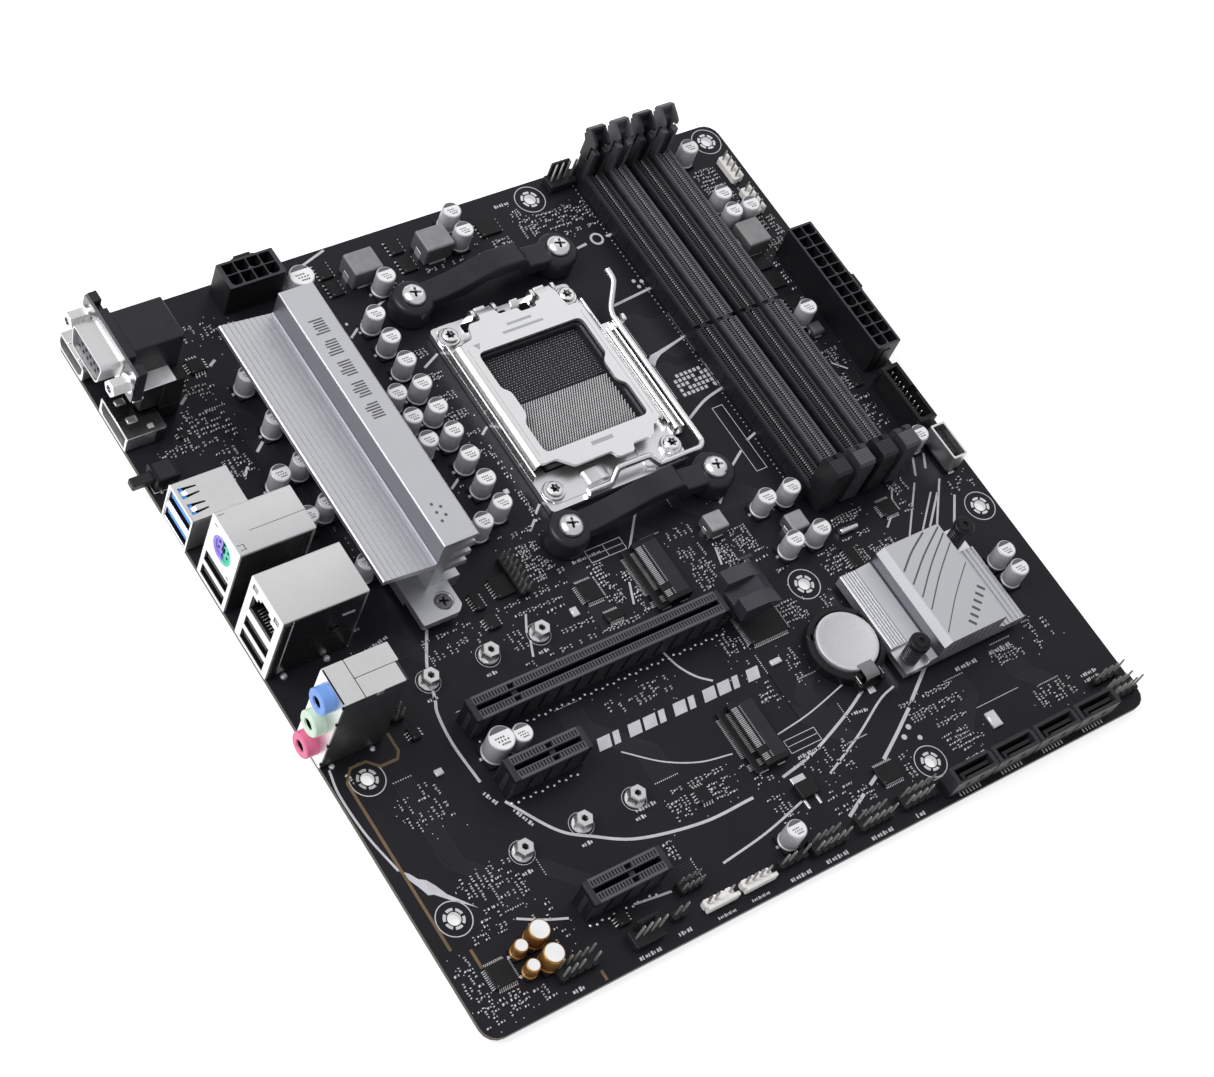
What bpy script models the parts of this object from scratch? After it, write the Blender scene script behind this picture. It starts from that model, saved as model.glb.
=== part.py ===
"""Micro-ATX computer motherboard, built as an assembly of separate pieces.

Frame: origin at the bottom centre of the whole assembly, +Z up out of the populated side,
-X towards the rear connector edge, +Y towards the processor (top) edge.
Plan positions are given the way board drawings give them: millimetres from the rear edge
and millimetres from the top edge. Heights are millimetres above the populated face.
"""
import math

import bmesh
import bpy
from mathutils import Matrix, Vector

MM = 0.001
GAP = 0.3                      # clearance left between touching pieces

# Board
BOARD = 243.84                 # micro-ATX edge length
THICK = 1.6
CORNER_R = 5.0
HOLE_R = 1.98
PAD_R = 4.0
PAD_H = 0.05
HOLES = [(165.10, 6.35), (237.49, 6.35), (237.49, 163.83), (165.10, 163.83),
         (165.10, 229.87), (10.16, 163.83), (10.16, 209.55)]
TAIL_LEN = 2.3                 # soldered lead tails under the board
TAILS = [(16.0, 15.0), (16.0, 36.0), (4.0, 90.0), (20.0, 100.0), (4.0, 112.0), (22.0, 123.0),
         (4.0, 146.0), (17.0, 153.0), (54.0, 5.0), (65.0, 9.0), (235.0, 58.0), (239.0, 80.0),
         (235.0, 103.0), (235.0, 125.0), (166.0, 239.5), (224.0, 239.5), (50.0, 162.0),
         (122.0, 162.0), (60.0, 222.5), (95.0, 238.0), (195.4, 142.0), (213.9, 60.0)]

# Processor socket
CPU_X, CPU_Y = 130.4, 76.2
COOLER_DX, COOLER_DY = 54.0, 90.0
TORX_DX, TORX_DY = 43.8, 60.4
FRAME_W = (104.5, 156.0)
FRAME_H = (40.9, 112.4)
FRAME_TOP = 2.6
PLATE_Z = (6.2, 7.4)
PLATE_AXIS = (42.4, 5.2)       # from the top edge, height
LEVER_AXIS = (111.2, 4.0)
WIRE_R = 1.1
WIRE_SIDES = 10

# Memory slots
DIMM_X0 = 186.2
DIMM_PITCH = 9.24
DIMM_HALF = 3.2
DIMM_Y = (6.9, 145.0)
DIMM_TOP = 7.5
DIMM_KEY = 74.1
DIMM_CARD = 0.8                # half the width of the card groove
LATCH_PIVOT = (4.6, 2.9)

# Expansion slots
PCIE_Y = (161.9, 182.2, 222.7)
PCIE_W = 7.4
PCIE_TOP = 11.0
PCIE_CARD = 0.9                # half the width of the card groove
PCIE_LATCH_PIVOT = (136.4, 4.0)

# Rear connectors
PORT_X = -0.5                  # their faces stand just past the board edge
OVERHANG = 6.4                 # the foremost shell's reach past the board edge
VGA_Y = 25.6
VGA_Z = 25.8
FLASH_Y, FLASH_Z = 56.3, 3.0
AUDIO_Y = 149.5

# Cooling
CHIPSET_X = (173.1, 220.9)
CHIPSET_Y = (168.4, 204.3)
PUSH_PINS = [(177.4, 200.0), (216.6, 172.6)]
VRM_Y = (27.8, 121.4)

CELL = (162.6, 187.3)          # coin cell centre
CHOKES = [(96.4, 13.1, 10.2, 8.6, 7.6), (122.6, 13.1, 10.2, 8.6, 7.6),
          (225.3, 48.1, 9.0, 10.0, 7.2)]        # centre, width, depth, height
SATA_X0 = 162.2
SATA_PITCH = 16.75


def px(x):
    """World X from the distance to the rear edge."""
    return (x - (BOARD - OVERHANG) / 2) * MM


def py(y):
    """World Y from the distance to the top edge."""
    return (BOARD / 2 - y) * MM


def pz(z):
    """World Z from the height above the populated face."""
    return (z + THICK + TAIL_LEN) * MM


# ---------------------------------------------------------------- shapes

def box(x0, x1, y0, y1, z0, z1):
    """Block between two distances from the rear edge, the top edge and two heights."""
    pts = [(x0, y0), (x1, y0), (x1, y1), (x0, y1)]
    return prism_z(pts, z0, z1)


def prism_z(pts, z0, z1, top=None):
    """Outline in plan, drawn up; top is an optional second outline for the upper end."""
    top = top or pts
    low = [(px(x), py(y), pz(z0)) for x, y in pts]
    high = [(px(x), py(y), pz(z1)) for x, y in top]
    return loft([low, high])


def prism_y(pts, y0, y1):
    """Outline in X and height, drawn along Y."""
    rings = [[(px(x), py(y), pz(z)) for x, z in pts] for y in (y0, y1)]
    return loft(rings)


def prism_x(pts, x0, x1):
    """Outline in Y and height, drawn along X."""
    rings = [[(px(x), py(y), pz(z)) for y, z in pts] for x in (x0, x1)]
    return loft(rings)


def loft(rings):
    """Closed skin through rings that have the same number of points."""
    n = len(rings[0])
    verts = [p for ring in rings for p in ring]
    faces = [tuple(range(n)), tuple((len(rings) - 1) * n + i for i in range(n))[::-1]]
    for k in range(len(rings) - 1):
        for i in range(n):
            j = (i + 1) % n
            faces.append((k * n + i, k * n + j, k * n + n + j, k * n + n + i))
    return verts, faces


def circle(cx, cy, r, n, turn=0.0):
    """Outline of a round shape."""
    return [(cx + r * math.cos(turn + 2 * math.pi * i / n),
             cy + r * math.sin(turn + 2 * math.pi * i / n)) for i in range(n)]


def disc(cx, cy, r, z0, z1, n=24, r2=None, turn=0.0):
    top = circle(cx, cy, r2, n, turn) if r2 else None
    return prism_z(circle(cx, cy, r, n, turn), z0, z1, top)


def stack(cx, cy, levels, n=24):
    """Turned body: a list of (radius, height) from the bottom up."""
    rings = [[(px(x), py(y), pz(z)) for x, y in circle(cx, cy, r, n)] for r, z in levels]
    return loft(rings)


def rounded(x0, x1, y0, y1, r, n=4):
    """Rectangle with rounded corners, as an outline."""
    pts = []
    corners = [(x1 - r, y1 - r, 0), (x0 + r, y1 - r, 90),
               (x0 + r, y0 + r, 180), (x1 - r, y0 + r, 270)]
    for cx, cy, start in corners:
        for i in range(n + 1):
            a = math.radians(start + 90.0 * i / n)
            pts.append((cx + r * math.cos(a), cy + r * math.sin(a)))
    return pts


def tube(path, r, sides):
    """Round wire along a path of (from rear, from top, height) points."""
    pts = [Vector((px(x), py(y), pz(z))) for x, y, z in path]
    tangents = []
    for i in range(len(pts)):
        a = pts[max(i - 1, 0)]
        b = pts[min(i + 1, len(pts) - 1)]
        tangents.append((b - a).normalized())
    side = tangents[0].orthogonal().normalized()
    rings = []
    for i, (p, t) in enumerate(zip(pts, tangents)):
        if i:
            side = tangents[i - 1].rotation_difference(t) @ side
        side = (side - side.dot(t) * t).normalized()
        up = t.cross(side)
        rings.append([tuple(p + r * MM * (math.cos(a) * side + math.sin(a) * up))
                      for a in (2 * math.pi * k / sides for k in range(sides))])
    return loft(rings)


# ---------------------------------------------------------------- objects

def material(name, rgb, rough, metal):
    mat = bpy.data.materials.get(name)
    if mat:
        return mat
    mat = bpy.data.materials.new(name)
    mat.use_nodes = True
    shader = mat.node_tree.nodes["Principled BSDF"]
    shader.inputs["Base Color"].default_value = (*rgb, 1.0)
    shader.inputs["Roughness"].default_value = rough
    shader.inputs["Metallic"].default_value = metal
    mat.diffuse_color = (*rgb, 1.0)
    return mat


def skin(shapes, name):
    """One mesh object from a list of closed shapes."""
    bm = bmesh.new()
    for verts, faces in shapes:
        new = [bm.verts.new(v) for v in verts]
        for f in faces:
            bm.faces.new([new[i] for i in f])
    bmesh.ops.recalc_face_normals(bm, faces=bm.faces)
    mesh = bpy.data.meshes.new(name)
    bm.to_mesh(mesh)
    bm.free()
    obj = bpy.data.objects.new(name, mesh)
    bpy.context.scene.collection.objects.link(obj)
    return obj


def combine(obj, tools):
    """Join and cut a body with (operation, object) pairs, leaving plain geometry."""
    for op, tool in tools:
        mod = obj.modifiers.new(op, "BOOLEAN")
        mod.operation = op
        mod.solver = "EXACT"
        mod.object = tool
        tool.hide_render = True
        tool.display_type = "WIRE"
    bpy.context.view_layer.update()
    graph = bpy.context.evaluated_depsgraph_get()
    mesh = bpy.data.meshes.new_from_object(obj.evaluated_get(graph))
    old = obj.data
    obj.modifiers.clear()
    obj.data = mesh
    bpy.data.meshes.remove(old)
    for _, tool in tools:
        data = tool.data
        bpy.data.objects.remove(tool)
        bpy.data.meshes.remove(data)


def tidy(obj, flat_deg=0.2):
    """Merge doubled points and flat neighbours left by the Booleans."""
    bm = bmesh.new()
    bm.from_mesh(obj.data)
    bmesh.ops.remove_doubles(bm, verts=bm.verts, dist=1e-7)
    bmesh.ops.dissolve_limit(bm, angle_limit=math.radians(flat_deg), verts=bm.verts, edges=bm.edges)
    bmesh.ops.recalc_face_normals(bm, faces=bm.faces)
    bm.to_mesh(obj.data)
    bm.free()


def part(name, adds, cuts=(), mat=None, pivot=None, smooth=None, keep_faces=False):
    """A finished piece: the first shape, joined with the rest and cut by the cutters."""
    obj = skin(adds[:1], name)
    tools = [("UNION", skin([s], name + "_add")) for s in adds[1:]]
    tools += [("DIFFERENCE", skin(group, name + "_cut")) for group in cuts]
    if tools:
        combine(obj, tools)
    if not keep_faces:
        tidy(obj)
    obj.data.name = name
    if pivot:
        origin = Vector(pivot)
        obj.data.transform(Matrix.Translation(-origin))
        obj.location = origin
    obj.data.materials.clear()
    obj.data.materials.append(mat)
    if smooth:
        obj.data.shade_smooth()
        obj.data.set_sharp_from_angle(angle=math.radians(smooth))
    return obj


# ---------------------------------------------------------------- board

def board(mat):
    obj = skin([prism_z(rounded(0, BOARD, 0, BOARD, CORNER_R), -THICK, 0)], "pcb")
    pads = [disc(x, y, PAD_R, -THICK - PAD_H, PAD_H, 24) for x, y in HOLES]
    holes = [disc(x, y, HOLE_R, -THICK - 1, 1, 24) for x, y in HOLES]
    tails = [disc(x, y, 0.5, -THICK - TAIL_LEN, -THICK + 0.4, 6, 1.0) for x, y in TAILS]
    combine(obj, [("UNION", skin(pads, "pads")), ("UNION", skin(tails, "tails")),
                  ("DIFFERENCE", skin(holes, "holes"))])
    obj.data.materials.clear()
    obj.data.materials.append(mat)


# ---------------------------------------------------------------- processor socket

def backplate(mat):
    z = (-THICK - TAIL_LEN, -THICK - GAP)
    plate = prism_z(rounded(CPU_X - 33, CPU_X + 33, CPU_Y - 51, CPU_Y + 51, 5), *z)
    window = prism_z(rounded(CPU_X - 18, CPU_X + 18, CPU_Y - 18, CPU_Y + 18, 3), z[0] - 1, z[1] + 1)
    ends = [box(CPU_X - 20, CPU_X + 20, CPU_Y - 60, CPU_Y - 36, z[0] - 1, z[1] + 1),
            box(CPU_X - 20, CPU_X + 20, CPU_Y + 36, CPU_Y + 60, z[0] - 1, z[1] + 1)]
    part("cpu_backplate", [plate], [[window], ends], mat)


def socket_body(mat):
    outer = box(CPU_X - 19.9, CPU_X + 19.9, CPU_Y - 22.8, CPU_Y + 23.0, GAP, 5.6)
    well = box(CPU_X - 18.2, CPU_X + 18.2, CPU_Y - 18.8, CPU_Y + 18.8, 3.2, 6.6)
    part("socket_body", [outer], [[well]], mat)


def socket_frame(mat):
    x0, x1 = FRAME_W
    y0, y1 = FRAME_H
    ring = prism_z(rounded(x0, x1, y0, y1, 1.5, 2), GAP, FRAME_TOP)
    left = box(x0, x0 + 0.6, 49, 101, 1.0, 5.8)
    right = box(x1 - 0.7, x1, 49, 100, 1.0, 5.2)
    lugs = [box(a, a + 1.1, y0, y0 + 3.0, 1.0, 6.9) for a in (117.8, 125.7, 140.0, 147.9)]
    hook = box(x1 - 1.0, 164.9, 59.0, 62.0, 1.5, FRAME_TOP)
    post = box(163.9, 164.9, 59.0, 62.0, 1.5, 5.8)
    opening = box(CPU_X - 20.3, CPU_X + 20.3, CPU_Y - 23.2, CPU_Y + 23.4, -1, 4)
    part("socket_frame", [ring, left, right, *lugs, hook, post], [[opening]], mat)


def plate_window():
    """Processor window: rounded, narrowed by a tab on each side."""
    x0, x1 = CPU_X - 19.2, CPU_X + 19.6
    y0, y1 = CPU_Y - 19.8, CPU_Y + 19.6
    pts = rounded(x0, x1, y0, y1, 2.6, 4)
    left = [(x0, CPU_Y + 7.6), (x0 + 2.2, CPU_Y + 5.4), (x0 + 2.2, CPU_Y - 3.6), (x0, CPU_Y - 5.8)]
    right = [(x1, CPU_Y - 5.0), (x1 - 2.4, CPU_Y - 2.8), (x1 - 2.4, CPU_Y + 5.0), (x1, CPU_Y + 7.2)]
    return pts[:10] + left + pts[10:] + right


def load_plate(mat):
    z0, z1 = PLATE_Z
    outline = [(105.5, 52.0), (112.6, 51.2), (114.4, 46.0), (146.6, 46.0), (148.4, 51.2), (154.7, 51.2),
               (154.7, 98.4), (149.2, 99.4), (147.0, 103.0), (139.0, 103.0), (138.0, 105.6),
               (132.0, 105.6), (131.0, 103.0), (117.6, 103.0), (113.4, 98.8), (105.5, 98.8)]
    sheet = prism_z(outline, z0, z1)
    lips = [box(105.5, 106.5, 52.6, 98.2, 4.9, 7.0), box(153.7, 154.7, 51.8, 97.8, 4.9, 7.0)]
    ay, az = PLATE_AXIS
    knuckle = [(ay + 1.3 * math.cos(math.radians(a)), az + 1.3 * math.sin(math.radians(a)))
               for a in range(90, 331, 30)]
    arm = [(47.2, z1 - 0.05), (44.6, z1 - 0.05)] + knuckle + [(45.6, z0 + 0.05), (47.2, z0 + 0.05)]
    arms = [prism_x(arm, a, a + 6.2) for a in (119.2, 141.4)]
    window = prism_z(plate_window(), z0 - 1, z1 + 1)
    pivot = (0.0, py(ay), pz(az))
    part("load_plate", [sheet, *lips, *arms], [[window]], mat, pivot)


def lever_path():
    ay, az = LEVER_AXIS
    path = [(167.8, 44.2, 8.2), (168.0, 47.4, 7.6), (167.2, 49.6, 7.0), (163.4, 55.0, 4.8),
            (162.3, 58.0, 4.1), (162.2, 61.0, az)]
    for i in range(6):
        a = math.radians(90.0 * i / 5)
        path.append((159.2 + 3.0 * math.cos(a), ay - 3.0 + 3.0 * math.sin(a), az))
    path += [(145.2, ay, az), (144.0, ay - 0.4, az + 0.4), (141.8, ay - 2.2, az + 2.2),
             (140.6, ay - 2.6, az + 2.6), (130.4, ay - 2.6, az + 2.6), (129.2, ay - 2.2, az + 2.2),
             (127.0, ay - 0.4, az + 0.4), (125.8, ay, az), (118.0, ay, az)]
    return path


def load_lever(mat):
    ay, az = LEVER_AXIS
    pivot = (0.0, py(ay), pz(az))
    part("load_lever", [tube(lever_path(), WIRE_R, WIRE_SIDES)], (), mat, pivot, 50, True)


def socket_screws(mat):
    spots = [(sx, sy) for sy in (-1, 1) for sx in (-1, 1)]
    for i, (sx, sy) in enumerate(spots, 1):
        x = CPU_X + sx * TORX_DX / 2
        y = CPU_Y + sy * TORX_DY / 2
        head = stack(x, y, [(3.6, FRAME_TOP + GAP), (3.6, 4.6), (3.1, 5.3)], 20)
        star = disc(x, y, 1.7, 4.0, 6.0, 6)
        part("socket_screw_%d" % i, [head], [[star]], mat, None, 40)


def cooler_bracket(name, y, mat):
    ends = (CPU_X - COOLER_DX / 2, CPU_X + COOLER_DX / 2)
    arm = [(ends[0], 3.4), (ends[0] + 18, 5.2), (128.6, 9.0), (140.2, 9.0), (143.4, 4.4), (ends[1], 4.0),
           (ends[1], 8.4), (144.4, 9.4), (141.2, 14.2), (130.2, 14.2), (122.0, 11.4), (112.0, 8.8),
           (ends[0], 8.4)]
    beam = prism_y(arm, y - 3.9, y + 3.9)
    posts = [stack(x, y, [(6.8, GAP), (6.8, 7.9), (6.2, 8.5)], 24) for x in ends]
    part(name, [posts[0], beam, posts[1]], (), mat, None, 35)


def bracket_screws(mat):
    spots = [(sx, sy) for sy in (-1, 1) for sx in (-1, 1)]
    for i, (sx, sy) in enumerate(spots, 1):
        x = CPU_X + sx * COOLER_DX / 2
        y = CPU_Y + sy * COOLER_DY / 2
        head = stack(x, y, [(3.9, 8.5 + GAP), (3.7, 9.8), (2.7, 10.7)], 20)
        cross = [box(x - 2.0, x + 2.0, y - 0.45, y + 0.45, 9.6, 12),
                 box(x - 0.45, x + 0.45, y - 2.0, y + 2.0, 9.6, 12)]
        part("bracket_screw_%d" % i, [head], [[cross[0]], [cross[1]]], mat, None, 40)


# ---------------------------------------------------------------- cooling

def vrm_heatsink(mat):
    """Drawn aluminium section: base, web, ribbed shelf to the rear, finned crown."""
    section = [(46.7, 2.0), (64.6, 2.0), (64.6, 7.2), (57.6, 7.2), (57.6, 13.2), (64.8, 13.2), (64.8, 15.4),
               (57.6, 15.4), (57.6, 18.0), (65.0, 18.0), (65.0, 20.2), (57.6, 20.2), (57.6, 22.8),
               (65.2, 22.8), (65.2, 25.0), (57.6, 25.0), (57.6, 27.0), (65.4, 27.0), (65.4, 28.4),
               (64.8, 29.0), (53.6, 29.0), (53.6, 19.6), (35.2, 22.2), (35.2, 20.4), (49.0, 18.0),
               (53.6, 17.2), (53.6, 6.0), (46.7, 6.0)]
    body = prism_y(section, *VRM_Y)
    foot = box(46.7, 60.8, VRM_Y[1] - 3, 131.5, 3.4, 6.0)
    recess = disc(56.4, 126.4, 3.1, 4.8, 7.0, 24)
    part("vrm_heatsink", [body, foot], [[recess]], mat)


def heatsink_screw(mat):
    head = stack(56.4, 126.4, [(2.7, 5.1), (2.7, 5.6), (2.4, 5.9)], 20)
    cross = disc(56.4, 126.4, 0.9, 5.4, 7.0, 6)
    part("heatsink_screw", [head], [[cross]], mat, None, 40)


def chipset_heatsink(mat):
    x0, x1 = CHIPSET_X
    section = [(x0, 2.0), (x1, 2.0), (x1, 5.6), (219.0, 6.0), (211.4, 6.0), (210.6, 7.4), (209.2, 7.4),
               (209.2, 13.6), (187.2, 13.6), (185.0, 11.4), (185.0, 6.4), (183.6, 6.8), (x0 + 5, 6.0),
               (x0, 5.6)]
    body = prism_y(section, *CHIPSET_Y)
    (ax, ay), (bx, by) = PUSH_PINS
    pocket = [prism_z(rounded(x0 - 2, ax + 4.2, ay - 4.2, 206, 1.5, 2), 4.4, 9),
              prism_z(rounded(bx - 4.2, x1 + 2, 166, by + 4.2, 1.5, 2), 4.4, 9)]
    bores = [disc(x, y, 2.1, 0, 9, 20) for x, y in PUSH_PINS]
    part("chipset_heatsink", [body], [pocket, bores], mat)


def chipset_chip(mat):
    carrier = box(187.0, 207.0, 176.0, 196.6, GAP, 1.0)
    die = box(192, 202, 181.3, 191.3, 0.8, 1.7)
    part("chipset_chip", [carrier, die], (), mat)


def push_pins(mat):
    for i, (x, y) in enumerate(PUSH_PINS, 1):
        body = stack(x, y, [(1.5, GAP), (1.5, 11.4), (3.3, 12.0), (3.3, 14.2), (2.6, 14.9)], 20)
        part("push_pin_%d" % i, [body], (), mat, None, 40)


# ---------------------------------------------------------------- slots

def dimm_slot(i, x, mat):
    y0, y1 = DIMM_Y
    w = DIMM_HALF
    body = box(x - w, x + w, y0, y1, GAP, DIMM_TOP)
    tower = box(x - w + 0.1, x + w - 0.1, 137.0, y1 - 0.1, 2.0, 21.5)
    guides = [box(x + a, x + b, y0 + 0.1, 9.3, 5.0, 18.0) for a, b in ((-w + 0.1, -1.0), (1.0, w - 0.1))]
    cheeks = [box(x + a, x + b, 2.6, y0 + 0.5, GAP + 0.1, 6.0) for a, b in ((-w + 0.1, -2.6), (2.6, w - 0.1))]
    runs = ((9.3, DIMM_KEY - DIMM_CARD), (DIMM_KEY + DIMM_CARD, 139.2))
    groove = [box(x - DIMM_CARD, x + DIMM_CARD, a, b, 2.4, 30) for a, b in runs]
    part("dimm_slot_%d" % i, [body, tower, *guides, *cheeks], [groove], mat)


def dimm_latch(i, x, mat):
    cy, cz = LATCH_PIVOT
    foot = [(cy + 1.9 * math.cos(math.radians(a)), cz + 1.9 * math.sin(math.radians(a)))
            for a in range(180, 361, 30)]
    stem = prism_x(foot + [(6.5, 13.0), (2.7, 13.0)], x - 2.3, x + 2.3)
    head = prism_x([(6.5, 11.8), (6.5, 18.6), (8.4, 19.2), (8.2, 20.8), (3.4, 24.0), (1.6, 22.8),
                    (1.4, 20.2), (2.7, 18.2), (2.7, 11.8)], x - 3.0, x + 3.0)
    pocket = prism_x([(9.5, 21.4), (9.5, 25.0), (3.9, 25.0), (3.9, 20.6), (6.6, 18.9)], x - 2.0, x + 2.0)
    pivot = (px(x), py(cy), pz(cz))
    part("dimm_latch_%d" % i, [stem, head], [[pocket]], mat, pivot)


def pcie_slot(name, x0, x1, y, key, mat, tail):
    w = PCIE_W / 2
    body = box(x0, x1, y - w, y + w, GAP, PCIE_TOP)
    adds = [body]
    if tail:
        adds.append(box(x1 - 1, x1 + 2.6, y - w + 0.4, y + w - 0.4, GAP + 0.1, 3.0))
    half = PCIE_CARD
    slot = [box(a, b, y - half, y + half, 3.0, 14) for a, b in ((x0 + 1.8, key - half), (key + half, x1 - 1.8))]
    step = [box(x0 + 1.2, x1 - 1.2, y - 1.6, y + 1.6, 9.8, 14)]
    part(name, adds, [slot, step], mat)


def pcie_latch(mat):
    cx, cz = PCIE_LATCH_PIVOT
    y = PCIE_Y[0]
    foot = [(cx + 1.9 * math.cos(math.radians(a)), cz + 1.9 * math.sin(math.radians(a)))
            for a in range(150, 361, 30)]
    stem = prism_y(foot + [(cx + 1.9, 9.0), (cx - 1.6, 9.0)], y - 3.6, y + 3.6)
    roof = [(cx - 2.8, 7.6), (cx + 3.0, 6.8), (cx + 11.6, 9.2), (cx + 11.6, 10.6), (cx + 6.0, 13.2),
            (cx - 2.8, 13.6)]
    hood = prism_y(roof, y - 7.4, y + 7.4)
    throat = [box(cx - 8, cx + 1.6, y - 2.6, y + 2.6, 9.6, 16)]
    pivot = (px(cx), py(y), pz(cz))
    part("pcie_latch", [stem, hood], [throat], mat, pivot)


def m2_socket(i, x, y, mat):
    """Edge connector whose mouth faces the rear of the board."""
    half = 10.8
    side = [(x, GAP), (x + 11.4, GAP), (x + 11.4, 4.4), (x + 5.6, 4.4), (x + 3.0, 3.6), (x + 3.0, 1.4),
            (x, 1.4)]
    body = prism_y(side, y - half, y + half)
    mouth = box(x + 2, x + 8.6, y - half + 1.2, y + half - 1.2, 1.4, 2.9)
    part("m2_socket_%d" % i, [body], [[mouth]], mat)


# ---------------------------------------------------------------- battery

def battery(holder_mat, cell_mat):
    x, y = CELL
    ring = stack(x, y, [(12.6, GAP), (12.6, 3.6), (12.0, 4.3)], 32)
    ears = box(x - 5.0, x + 5.0, y + 9, y + 14.6, GAP + 0.1, 3.6)
    well = disc(x, y, 10.4, 1.4, 9.0, 32)
    slot = box(x - 3.4, x + 3.4, y + 6, y + 16, 1.4, 9.0)
    flat = box(CHIPSET_X[0] - 0.4, x + 20, y - 15, y + 15, -1, 9)
    part("battery_holder", [ring, ears], [[well], [slot], [flat]], holder_mat, None, 35)
    body = stack(x, y, [(9.2, 1.8), (9.2, 2.4), (10.0, 2.6), (10.0, 4.8), (9.8, 5.0)], 32)
    part("coin_cell", [body], (), cell_mat, None, 35)


# ---------------------------------------------------------------- connectors

def power_plug(name, x0, x1, y0, y1, cols, rows, nub, mat):
    """Shrouded power socket: a block of square cells open at the top."""
    pitch = 4.2
    body = box(x0, x1, y0, y1, GAP, 13.0)
    cx = (x0 + x1) / 2 - pitch * (cols - 1) / 2
    cy = (y0 + y1) / 2 - pitch * (rows - 1) / 2
    cells = []
    for c in range(cols):
        for r in range(rows):
            ax, ay = cx + c * pitch, cy + r * pitch
            cells.append(box(ax - 1.75, ax + 1.75, ay - 1.75, ay + 1.75, 3.5, 15))
    part(name, [body, nub], [cells], mat)


def d_outline(y, z, w, h, slant):
    """D-shaped face: wide side up."""
    return [(y - w, z + h), (y + w, z + h), (y + w - slant, z - h), (y - w + slant, z - h)]


def vga_port(mat):
    y, z = VGA_Y, VGA_Z
    flange = box(0.4, 4.0, y - 15.4, y + 15.4, z - 6.2, z + 6.2)
    shell = prism_x(d_outline(y, z, 8.6, 4.2, 1.3), -OVERHANG, 1.0)
    body = box(3.5, 20.1, y - 7.3, y + 7.3, z - 7.5, z + 6.2 - 0.1)
    column = box(12.8, 20.0, y - 12.4, y + 12.4, GAP, 19.0)
    posts = [prism_x(circle(y + s * 12.5, z, 2.8, 6), -5.8, 1.0) for s in (-1, 1)]
    face = prism_x(d_outline(y, z, 8.1, 3.7, 1.3), -8.0, -5.2)
    bores = [prism_x(circle(y + s * 12.5, z, 1.3, 8), -8.0, -2.0) for s in (-1, 1)]
    part("vga_port", [flange, shell, body, column, *posts], [[face, *bores]], mat)


def metal_port(name, x1, y0, y1, z1, mouths, mat):
    """Stamped shell with rectangular mouths (y0, y1, z0, z1, depth) towards the rear."""
    body = box(PORT_X, x1, y0, y1, GAP, z1)
    cuts = [box(PORT_X - 2, PORT_X + d, a, b, c, e) for a, b, c, e, d in mouths]
    part(name, [body], [cuts], mat)


def audio_stack(mat):
    y = AUDIO_Y
    body = box(PORT_X, 20.0, y - 6.15, y + 6.15, GAP, 35.0)
    barrels = [prism_x(circle(y, z, 4.0, 20), -4.3, PORT_X + 0.5) for z in (6.0, 18.0, 30.0)]
    bores = [prism_x(circle(y, z, 1.8, 12), -6.0, 10.0) for z in (6.0, 18.0, 30.0)]
    part("audio_stack", [body, *barrels], [bores], mat)


def flashback(switch_mat, button_mat):
    """Rear push switch: square body and a sliding plunger."""
    y, z = FLASH_Y, FLASH_Z
    body = box(1.4, 8.6, y - 3.4, y + 3.4, GAP, 5.4)
    bore = box(0.0, 5.2, y - 2.0, y + 2.0, z - 1.6, z + 1.6)
    part("flashback_switch", [body], [[bore]], switch_mat)
    plunger = box(-5.4, 4.4, y - 1.65, y + 1.65, z - 1.25, z + 1.25)
    part("flashback_button", [plunger], (), button_mat, (px(4.4), py(y), pz(z)))


def sata_port(i, x, mat):
    """Upright port: a shell round a well, with an L-shaped tongue standing in it."""
    outline = [(x, 236.4), (x + 15.0, 236.4), (x + 16.2, 237.6), (x + 16.2, 242.1), (x, 242.1)]
    body = prism_z(outline, GAP, 9.0)
    well = box(x + 1.4, x + 14.8, 237.6, 240.9, 2.6, 12)
    tongue = [box(x + 2.6, x + 13.6, 239.0, 240.2, 2.0, 8.4), box(x + 2.6, x + 3.8, 239.0, 241.6, 2.0, 8.4)]
    port = part("sata_port_%d" % i, [body], [[well]], mat)
    combine(port, [("UNION", skin([t], "tongue")) for t in tongue])
    tidy(port)
    port.data.materials.clear()
    port.data.materials.append(mat)


def usb3_header(mat):
    body = box(231.4, 238.4, 111.2, 133.6, GAP, 9.0)
    well = box(232.6, 237.2, 112.6, 132.2, 1.6, 12)
    key = box(236.0, 240.0, 120.6, 123.4, 5.0, 12)
    part("usb3_header", [body], [[well], [key]], mat)


def usbc_header(mat):
    body = box(233.6, 239.4, 136.0, 149.4, GAP, 8.6)
    well = box(234.4, 238.6, 136.9, 148.5, 1.6, 12)
    part("usbc_header", [body], [[well]], mat)


def fan_header(mat):
    base = box(172.6, 182.8, 1.2, 6.8, GAP, 3.2)
    wall = box(174.2, 181.2, 1.2, 2.2, GAP + 0.1, 8.6)
    pins = [box(173.6 + 2.54 * k, 174.24 + 2.54 * k, 3.9, 4.54, 3.0, 11.4) for k in range(4)]
    part("cpu_fan_header", [base, wall, *pins], (), mat)


def choke(i, x, y, w, d, h, mat):
    """Moulded inductor, slightly narrowed to its top."""
    low = rounded(x - w / 2, x + w / 2, y - d / 2, y + d / 2, 0.8, 2)
    top = rounded(x - w / 2 + 0.3, x + w / 2 - 0.3, y - d / 2 + 0.3, y + d / 2 - 0.3, 0.8, 2)
    part("choke_%d" % i, [prism_z(low, GAP, h, top)], (), mat)


# ---------------------------------------------------------------- assembly

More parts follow.
